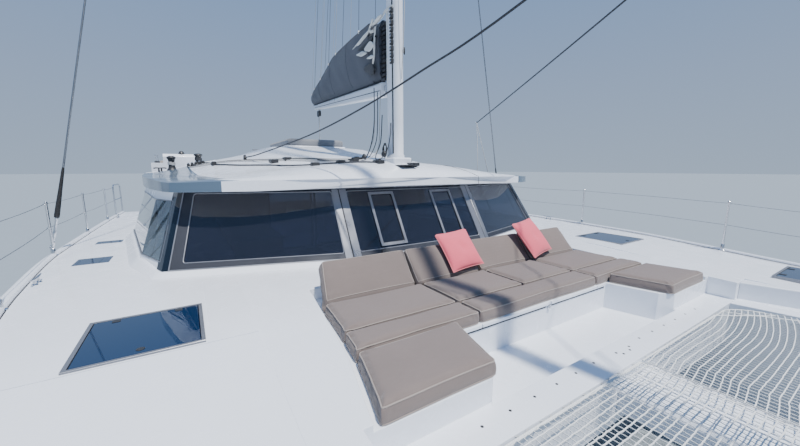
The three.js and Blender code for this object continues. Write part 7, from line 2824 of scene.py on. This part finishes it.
@dataclass
class Gear(Assembly):
    """What works below the waterline: the rudders, the saildrives and their propellers."""

    stock_x: float = -5.9
    leg_x: float = -4.6
    out: float = 2.95
    # Leading edge and trailing edge off the stock, half thickness, height.
    blade: tuple[tuple[float, ...], ...] = (
        (0.150, -0.420, 0.032, -0.3353), (0.146, -0.405, 0.031, -0.45), (0.110, -0.330, 0.024, -0.90),
        (0.075, -0.262, 0.018, -1.20), (0.050, -0.220, 0.014, -1.330), (0.020, -0.185, 0.004, -1.350))
    # Height, half length, half width of the saildrive's leg.
    leg: tuple[tuple[float, ...], ...] = (
        (-0.5203, 0.210, 0.085), (-0.56, 0.185, 0.075), (-0.62, 0.150, 0.060), (-0.74, 0.128, 0.053),
        (-0.90, 0.120, 0.050))

    def build(self) -> None:
        """Builds both sides' gear."""
        for side in Side:
            self.rudder(side)
            self.saildrive(side)
            self.propeller(side)

    def foil(self, x: float, y: float, z: float, lead: float, trail: float, half: float) -> list[Vector]:
        """A streamlined section, full near its nose and fine at its tail."""
        chord = lead - trail
        ring = []
        for k in range(28):
            a = 2 * math.pi * k / 28
            t = (1 - math.cos(a)) / 2
            thick = 2.6 * half * (math.sqrt(t) * 1.0 - 0.42 * t - 0.58 * t * t) + 0.0012
            ring.append(Vector((x + lead - t * chord,
                                y + math.copysign(thick, math.sin(a)) if 0 < k != 14 else y, z)))
        return ring

    def rudder(self, side: Side) -> None:
        """The spade rudder on its stock."""
        y = side.value * self.out
        rings = [self.foil(self.stock_x, y, z, lead, trail, half) for lead, trail, half, z in self.blade]
        body = f"rudder_{side.label}"
        self.yard.fit(Bench.loft(f"rudder_blade_{side.label}", rings, angle=60), BOTTOM, body,
                      replaces=[body])
        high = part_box(body)[1].z
        stock = Bench.turned(f"rudder_stock_{side.label}", (self.stock_x, y, -0.345), (0, 0, 1),
                             [(0, 0.0295), (high + 0.345 - 0.004, 0.0295), (high + 0.345, 0.0265)], 24)
        self.yard.fit(stock, STEEL, body)

    def saildrive(self, side: Side) -> None:
        """The saildrive's leg with its pod and the slots of its cooling grille."""
        y = side.value * self.out
        rings = [[Vector((self.leg_x + long * math.copysign(abs(math.cos(a)) ** 0.9, math.cos(a)),
                          y + half * math.sin(a), z)) for a in (2 * math.pi * k / 28 for k in range(28))]
                 for z, long, half in self.leg]
        leg = Bench.loft("leg", rings, angle=55)
        pod = Bench.turned("pod", (self.leg_x + 0.15, y, -0.9), (-1, 0, 0),
                           [(0, 0.016), (0.012, 0.040), (0.045, 0.062), (0.09, 0.068), (0.22, 0.068),
                            (0.29, 0.060), (0.32, 0.056)], 30)
        self.yard.fit(Bench.joined(f"saildrive_leg_{side.label}", [leg, pod]), BOTTOM,
                      replaces=[f"saildrive_{side.label}"])
        slots = [Bench.block("slot", (self.leg_x + 0.01, self.leg_x + 0.075),
                             (y + s * 0.0520 - 0.002, y + s * 0.0520 + 0.002),
                             (z, z + 0.009), 0.001, 1) for s in (-1, 1) for z in (-0.79, -0.77, -0.75, -0.73)]
        self.yard.fit(Bench.joined(f"saildrive_grille_{side.label}", slots), RUBBER)

    def propeller(self, side: Side) -> None:
        """The three-bladed propeller, its blades twisted and rounded at their tips."""
        y = side.value * self.out
        body = f"propeller_{side.label}"
        centre = Vector((-4.83, y, -0.9))
        pieces = [Bench.turned("hub", (-4.7705, y, -0.9), (-1, 0, 0),
                               [(0, 0.050), (0.006, 0.052), (0.07, 0.047), (0.098, 0.038), (0.112, 0.024),
                                (0.12, 0.008)], 28)]
        outline = ((0.036, 0.046, 0.0075), (0.070, 0.062, 0.0070), (0.110, 0.077, 0.0060),
                   (0.150, 0.080, 0.0048),
                   (0.190, 0.068, 0.0036), (0.214, 0.046, 0.0026), (0.229, 0.016, 0.0015))
        for k in range(3):
            turn = Matrix.Rotation(2 * math.pi * k / 3, 3, "X")
            rings = []
            for radius, chord, thick in outline:
                pitch = mix(0.86, 0.42, (radius - 0.036) / 0.193)
                across = Vector((math.sin(pitch), -side.value * math.cos(pitch), 0))
                face = Vector((math.cos(pitch), side.value * math.sin(pitch), 0))
                ring = []
                for j in range(16):
                    a = 2 * math.pi * j / 16
                    ring.append(centre + turn @ (Vector((0, 0, radius)) + across * (chord / 2 * math.cos(a))
                                                 + face * (thick * math.sin(a))))
                rings.append(ring)
            pieces.append(Bench.loft("blade", rings, angle=60))
        self.yard.fit(Bench.joined(f"{body}_casting", pieces), BRONZE, body, replaces=[body])


@dataclass
class Seating(Assembly):
    """Seats with a moulded base, cloth cushions on it and a padded back behind them."""

    cell: float = 0.024

    def seat(self, name: str, x: Point, y: Point, low: float, high: float, finish: Finish) -> None:
        """A piped seat cushion over a rectangle."""
        corners = [(x[0], y[0]), (x[1], y[0]), (x[1], y[1]), (x[0], y[1])]
        cushion = Cushion(name, corners, low, high, 0.016, 0.004, 0.022, 14).mesh()
        cushion = self.soft(cushion, lambda p: p.z < low + 0.02, finish)
        loop = [(cx + (0.008 if cx == x[0] else -0.008), cy + (0.008 if cy == y[0] else -0.008)) for cx,
                cy in corners]
        path = []
        for a, b in zip(loop, [*loop[1:], loop[0]]):
            path += [(mix(a[0], b[0], t), mix(a[1], b[1], t), high - 0.012) for t in (0.04, 0.27, 0.5, 0.73,
                                                                                      0.96)]
        self.yard.fit(Bench.tube(f"{name}_piping", Bench.resting(cushion, path), 0.004, 1, True), PIPING_HIGHLIGHT)

    def back(self, name: str, outline: Sequence[Point], low: float, high: float, along: str,
             finish: Finish) -> None:
        """A padded back drawn along an axis.

        Args:
            name: The cover's name.
            outline: Its section: distance across it, then height.
            low: Where it starts along its length.
            high: Where it ends.
            along: The axis of its length, x or y.
            finish: Its cloth.
        """
        lounge = Lounge(self.yard)
        section = lounge.rounded([Vector((a, 0, z)) for a, z in outline], 0.022, 0.0)
        middle = sum(section, Vector()) / len(section)
        rings = []
        for t, inset in ((0.0, 0.022), (0.006, 0.010), (0.02, 0.003), (0.1, 0.0), (0.3, 0.0), (0.5, 0.0),
                         (0.7, 0.0),
                         (0.9, 0.0), (0.98, 0.003), (0.994, 0.010), (1.0, 0.022)):
            ring = []
            for p in section:
                q = p + (middle - p).normalized() * inset
                place = mix(low, high, t)
                ring.append(Vector((q.x, place, q.z)) if along == "y" else Vector((place, q.x, q.z)))
            rings.append(ring)
        foot = min(z for _, z in outline)
        self.soft(Bench.loft(name, rings, angle=80), lambda p: p.z < foot + 0.03, finish)

    def soft(self, cover: Piece, pinned: Callable[[Vector], bool], finish: Finish) -> Piece:
        """Fills a cover, dresses it and gives it back."""
        cover = Lounge(self.yard, cap=0.006).filled(cover, pinned=pinned, voxel=self.cell, levels=0)
        self.yard.fit(cover, finish)
        return cover


@dataclass
class Helm(Seating):
    """The helm: its moulding, instruments, wheel and padded seat."""

    hub: Point = (-3.64, -2.45, 2.76)
    rim: float = 0.34

    def build(self) -> None:
        """Builds the helm from the platform up."""
        pod = Bench.softened(self.yard.nodes, "helm_station", "helm_moulding", 0.018, 3)
        self.yard.fit(pod, WHITE, replaces=["helm_station"])
        self.instruments()
        self.wheel()
        self.helm_seat()

    def instruments(self) -> None:
        """Two blank displays, a compass and the engine levers."""
        foot, head = Vector((-3.56, 0, 2.99)), Vector((-3.48, 0, 3.11))
        up = (head - foot).normalized()
        out = Vector((-up.z, 0, up.x))
        for k, (low, high) in enumerate(((-2.70, -2.53), (-2.37, -2.28))):
            for name, inset, lift, finish in (("bezel", 0.0, 0.012, PLASTIC), ("face", 0.008, 0.0135, LID)):
                rings = []
                for y in (low + inset, high - inset):
                    a, b = 0.018 + inset, 0.126 - inset
                    rings.append([Vector((foot.x, y, foot.z)) + up * s + out * o for s, o in
                                  ((a, 0.0), (b, 0.0), (b, lift), (a, lift))])
                piece = Bench.bevelled(Bench.loft(f"helm_display_{name}_{k + 1}", rings), 0.003, 2)
                self.yard.fit(piece, finish)
        compass = Bench.turned("helm_compass", (-3.40, -2.45, 3.109), (0, 0, 1),
                               [(0, 0.055), (0.012, 0.056), (0.022, 0.046), (0.040, 0.041), (0.055, 0.028),
                                (0.062, 0.008)], 26)
        self.yard.fit(compass, PLASTIC)
        box = Bench.block("box", (-3.50, -3.38), (-2.89, -2.81), (2.938, 2.975), 0.010, 2)
        levers = []
        for y in (-2.868, -2.832):
            levers.append(Bench.tube("lever", [(-3.44, y, 2.965), (-3.425, y, 3.02), (-3.41, y, 3.075)],
                                     0.006, 2))
            levers.append(Bench.turned("knob", (-3.41, y, 3.062), (0, 0, 1),
                                       [(0, 0.006), (0.008, 0.014), (0.022, 0.014),
                                                                             (0.030, 0.006)], 14))
        self.yard.fit(box, PLASTIC)
        self.yard.fit(Bench.joined("throttle_levers", levers), STEEL)

    def wheel(self) -> None:
        """The steering wheel: rim, three spokes and a turned hub."""
        centre = Vector(self.hub)
        rim = Bench.tube("helm_rim", round_ring(centre, (1, 0, 0), self.rim, 72), 0.0138, 3, True)
        self.yard.fit(rim, RUBBER, "helm_wheel", replaces=["helm_wheel"])
        parts = []
        for degrees in (90, 210, 330):
            a = math.radians(degrees)
            out = Vector((0, math.cos(a), math.sin(a)))
            parts.append(Bench.tube("spoke", [centre + out * r + Vector((x, 0, 0)) for r, x in
                                              ((0.02, 0.012), (0.10, 0.008), (0.24, 0.001), (0.332, 0.0))],
                                              0.0085, 2))
        parts.append(Bench.turned("hub", (-3.662, centre.y, centre.z), (1, 0, 0),
                                  [(0, 0.010), (0.004, 0.028), (0.012, 0.036), (0.045, 0.036), (0.060, 0.026),
                                   (0.1017, 0.026)], 26))
        self.yard.fit(Bench.joined("helm_wheel_spokes", parts), STEEL, "helm_wheel")

    def helm_seat(self) -> None:
        """The helm seat: moulded base, seat cushion and padded back."""
        base = Bench.prism("helm_seat_base",
                           [(-4.558, 2.1505), (-4.102, 2.1505), (-4.068, 2.545), (-4.57, 2.545)], -2.878,
                           -2.062,
                           "xzy", 0.014, 3)
        self.yard.fit(base, WHITE, replaces=["helm_seat"])
        self.seat("helm_seat_cushion", (-4.44, -4.066), (-2.876, -2.064), 2.5455, 2.638, BENCH_CLOTH)
        self.back("helm_seat_back", [(-4.449, 2.5458), (-4.508, 3.015), (-4.596, 3.015), (-4.566, 2.5458)],
                  -2.876, -2.064, "y",
                  BENCH_CLOTH)


@dataclass
class Cockpit(Seating):
    """The aft cockpit: the L-shaped bench and the table."""

    floor_z: float = 1.0005
    seat_z: float = 1.33
    top_z: float = 1.428

    def build(self) -> None:
        """Builds the bench, then the table."""
        bases = [Bench.block("base", (-5.788, -5.152), (-1.348, 1.348), (self.floor_z, self.seat_z), 0.012,
                             3),
                 Bench.block("base", (-5.398, -3.702), (1.502, 2.088), (self.floor_z, self.seat_z), 0.012, 3),
                 Bench.block("base", (-5.398, -5.152), (1.3, 1.6), (self.floor_z, self.seat_z), 0.012, 3)]
        self.yard.fit(Bench.joined("cockpit_bench_base", bases), WHITE, replaces=["cockpit_bench"])
        low = self.seat_z + 0.0005
        self.seat("cockpit_seat_1", (-5.596, -5.126), (-1.346, -0.452), low, self.top_z, BENCH_CLOTH)
        self.seat("cockpit_seat_2", (-5.596, -5.126), (-0.448, 0.448), low, self.top_z, BENCH_CLOTH)
        self.seat("cockpit_seat_3", (-5.596, -5.126), (0.452, 1.346), low, self.top_z, BENCH_CLOTH)
        self.seat("cockpit_seat_4", (-5.396, -4.556), (1.506, 2.086), low, self.top_z, BENCH_CLOTH)
        self.seat("cockpit_seat_5", (-4.552, -3.704), (1.506, 2.086), low, self.top_z, BENCH_CLOTH)
        section = [(-5.602, self.seat_z), (-5.664, 1.846), (-5.786, 1.846), (-5.786, self.seat_z)]
        self.back("cockpit_back_1", section, -1.346, -0.002, "y", BENCH_CLOTH)
        self.back("cockpit_back_2", section, 0.002, 1.346, "y", BENCH_CLOTH)
        self.table()

    def table(self) -> None:
        """The cockpit table: a wooden top with a raised edge on a steel pedestal."""
        top = Bench.block("cockpit_table_top", (-4.848, -4.052), (0.282, 1.118), (1.7005, 1.728), 0.009, 3)
        self.yard.fit(top, TABLE_WOOD, replaces=["cockpit_table"])
        edge = [Bench.block("edge", (-4.848, -4.826), (0.282, 1.118), (1.7275, 1.7345), 0.003, 2),
                Bench.block("edge", (-4.074, -4.052), (0.282, 1.118), (1.7275, 1.7345), 0.003, 2),
                Bench.block("edge", (-4.826, -4.074), (0.282, 0.304), (1.7275, 1.7345), 0.003, 2),
                Bench.block("edge", (-4.826, -4.074), (1.096, 1.118), (1.7275, 1.7345), 0.003, 2)]
        self.yard.fit(Bench.joined("cockpit_table_edge", edge), TABLE_WOOD)
        pedestal = Bench.turned("cockpit_table_pedestal", (-4.45, 0.70, self.floor_z), (0, 0, 1),
                                [(0, 0.218), (0.010, 0.219), (0.018, 0.205), (0.024, 0.075), (0.035, 0.060),
                                 (0.655, 0.058),
                                 (0.67, 0.085), (0.699, 0.088)], 36)
        self.yard.fit(pedestal, STEEL)


@dataclass
class Saloon(Seating):
    """The saloon's settee, which shows through the windscreen."""

    floor_z: float = 1.0005
    seat_z: float = 1.335
    top_z: float = 1.429

    def build(self) -> None:
        """Builds the settee's base, seats and backs."""
        bases = [Bench.block("base", (-0.148, 0.648), (0.102, 1.35), (self.floor_z, self.seat_z), 0.010, 2),
                 Bench.block("base", (-1.998, 0.648), (1.302, 1.988), (self.floor_z, self.seat_z), 0.010, 2)]
        self.yard.fit(Bench.joined("settee_base", bases), TABLE_WOOD, replaces=["saloon_settee"])
        low = self.seat_z + 0.0005
        self.seat("settee_seat_1", (-0.146, 0.516), (0.104, 0.698), low, self.top_z, BENCH_CLOTH)
        self.seat("settee_seat_2", (-0.146, 0.516), (0.702, 1.298), low, self.top_z, BENCH_CLOTH)
        self.seat("settee_seat_3", (-0.740, 0.516), (1.304, 1.846), low, self.top_z, BENCH_CLOTH)
        self.seat("settee_seat_4", (-1.996, -0.744), (1.304, 1.846), low, self.top_z, BENCH_CLOTH)
        front = [(0.522, self.seat_z), (0.545, 1.796), (0.686, 1.796), (0.686, self.seat_z)]
        self.back("settee_back_1", front, 0.104, 0.972, "y", BENCH_CLOTH)
        self.back("settee_back_2", front, 0.976, 1.846, "y", BENCH_CLOTH)
        side = [(1.852, self.seat_z), (1.868, 1.796), (1.986, 1.796), (1.986, self.seat_z)]
        self.back("settee_back_3", side, -1.996, -0.744, "x", BENCH_CLOTH)
        self.back("settee_back_4", side, -0.740, 0.516, "x", BENCH_CLOTH)


@dataclass
class LoungeTrim(Assembly):
    """The small things on the forward lounge's moulding."""

    def build(self) -> None:
        """Builds the lip under the cushions with a black strip of painted shadow beneath it, the locker latch
        and the flange's plugged holes.
        """
        lips = [Bench.block("lip", (2.8995, 2.912), (y0, y1), (1.722, 1.7485), 0.004, 3)
                for y0, y1 in ((-0.915, -0.725), (-0.715, 0.03), (0.075, 0.765), (0.775, 0.915))]
        self.yard.fit(Bench.joined("lounge_lip", lips), WHITE, slot="gelcoat")
        # A thin black strip under the lip: painted shadow where the lip's shade falls.
        lip_shadow_strips = [Bench.block("gap", (2.8995, 2.9035), (y0, y1), (1.706, 1.7215), 0.001, 1)
                for y0, y1 in ((-0.905, 0.01), (0.085, 0.905))]
        self.yard.fit(Bench.joined("lounge_lip_shadow_gap", lip_shadow_strips), RUBBER)
        latch = [Bench.block("latch", (2.9005, 2.918), (0.028, 0.062), (1.690, 1.728), 0.005, 2),
                 Bench.turned("button", (2.917, 0.045, 1.706), (1, 0, 0), [(0, 0.009), (0.004, 0.008)], 14)]
        self.yard.fit(Bench.joined("lounge_latch", latch), STEEL)
        places = [(3.47 + 0.012 * k / 5, s * y) for s in (-1, 1) for k,
                  y in enumerate((0.302, 0.503, 0.698, 0.90, 1.098, 1.30))]
        places += [(3.488, 0.110), (3.515, 0.065), (3.517, -0.023), (3.485, -0.055)]
        plugs = [Bench.turned("plug", (x, y, LEDGE_Z - 0.001), (0, 0, 1),
                              [(0, 0.0085), (0.0022, 0.0082), (0.003, 0.006)], 12)
                 for x, y in places]
        self.yard.fit(Bench.joined("flange_plugs", plugs), RUBBER)


@dataclass
class DressedSolids(Assembly):
    """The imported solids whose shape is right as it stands, each given its finish."""

    def finishes(self) -> dict[Finish, tuple[str, ...]]:
        """Each finish with the solids that take it."""
        return {
            WHITE: ("bridgedeck", "spine", "windscreen_frame", "cabin_side_port", "cabin_side_starboard",
                    "roof",
                    "aft_bulkhead", "helm_station"),
            PANE: ("windscreen_port", "windscreen_centre", "windscreen_starboard", "side_glass_port",
                   "side_glass_starboard", "aft_glass", "saloon_door"),
            SPAR: ("mast", "boom", "forebeam"),
            WIRE: ("shroud_port", "shroud_starboard"),
            TAUPE: tuple(f"seat_cushion_{k}" for k in range(1, 5))
            + tuple(f"seat_strip_{k}" for k in range(1, 4))
            + tuple(f"backrest_{k}" for k in range(1, 5)) + ("ottoman_port", "ottoman_starboard",
                                                             "cockpit_bench",
                                                            "saloon_settee"),
            CORAL: ("pillow_1", "pillow_2"),
            CANVAS: ("sail_bag", "roof_sunpad", "helm_seat"),
            SAILCLOTH: ("genoa_furled",),
            NET_CORD: ("net_port", "net_starboard"),
            BOTTOM: ("rudder_port", "rudder_starboard", "saildrive_port", "saildrive_starboard"),
            BRONZE: ("propeller_port", "propeller_starboard"),
            STEEL: ("helm_wheel",),
            TABLE_WOOD: ("cockpit_table", "galley"),
        }

    def build(self) -> None:
        """Dresses every solid."""
        for finish, names in self.finishes().items():
            for name in names:
                self.yard.dress(name, finish)


PARTS = (DressedSolids, Hulls, DeckRails, Cabin, Lounge, Trampolines, Roof, Rig, BoomAndBag, Gear, Helm,
         Cockpit, Saloon, LoungeTrim)


@dataclass
class Studio:
    """The pale floor, the soft lights and the camera where the photograph was taken."""

    eye: Point = (4.5, -2.4, 2.83)
    forward: Point = (-0.837, 0.523, -0.158)
    lens: float = 15.22
    to_sun: Point = (0.3785, 0.0972, 0.9205)
    sun_width: float = math.radians(1.4)
    floor_half: float = 260.0

    def floor(self) -> None:
        """Lays the floor that stands for the water, at the waterline."""
        Bench.clear()
        bpy.ops.mesh.primitive_grid_add(x_subdivisions=8, y_subdivisions=8, size=2 * self.floor_half)
        floor = bpy.context.object
        floor.name = "studio_floor"
        floor.data.materials.append(Finish("studio_floor", None, (0.27, 0.315, 0.35), 0.6, 0.02).material())

    def lights(self) -> None:
        """Hangs the key light where the sun stood, with a pale surround to fill the shade."""
        lamp = bpy.data.lights.new("key", "SUN")
        lamp.energy, lamp.angle, lamp.color = 6.2, self.sun_width, (1.0, 0.975, 0.935)
        key = bpy.data.objects.new("key", lamp)
        key.rotation_euler = Vector(self.to_sun).to_track_quat("Z", "Y").to_euler()
        bpy.context.scene.collection.objects.link(key)
        world = bpy.data.worlds.new("surround")
        world.use_nodes = True
        graph = Graph(world.node_tree)
        up = graph.apart(graph.node("TexCoord").outputs["Generated"])[2]
        rise = graph.node("MapRange", {0: up, 1: -0.05, 2: 0.6})
        sky = graph.blend(rise.outputs[0], full((0.58, 0.72, 0.92)), full((0.25, 0.45, 0.86)))
        back = graph.node("Background", {"Color": sky, "Strength": 0.72})
        graph.node("OutputWorld", {"Surface": back.outputs[0]})
        bpy.context.scene.world = world

    def camera(self) -> None:
        """Sets up the camera."""
        data = bpy.data.cameras.new("camera")
        data.sensor_width, data.lens = 36.0, self.lens
        data.clip_start, data.clip_end = 0.05, 2000.0
        camera = bpy.data.objects.new("camera", data)
        forward = Vector(self.forward).normalized()
        right = forward.cross(Vector((0, 0, 1))).normalized()
        up = right.cross(forward)
        camera.matrix_world = Matrix((
            (right.x, up.x, -forward.x, self.eye[0]),
            (right.y, up.y, -forward.y, self.eye[1]),
            (right.z, up.z, -forward.z, self.eye[2]),
            (0, 0, 0, 1),
        ))
        bpy.context.scene.collection.objects.link(camera)
        bpy.context.scene.camera = camera


def main() -> None:
    """Builds the boat's sub-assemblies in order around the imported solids."""
    logging.basicConfig(level=logging.INFO, format="%(message)s")
    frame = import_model()
    studio = Studio()
    studio.floor()
    studio.lights()
    studio.camera()
    yard = Yard(frame["nodes"])
    for part in PARTS:
        part(yard).build()
    LOG.info("%d pieces fitted", len(yard.fitted))


if __name__ == "__main__":
    main()
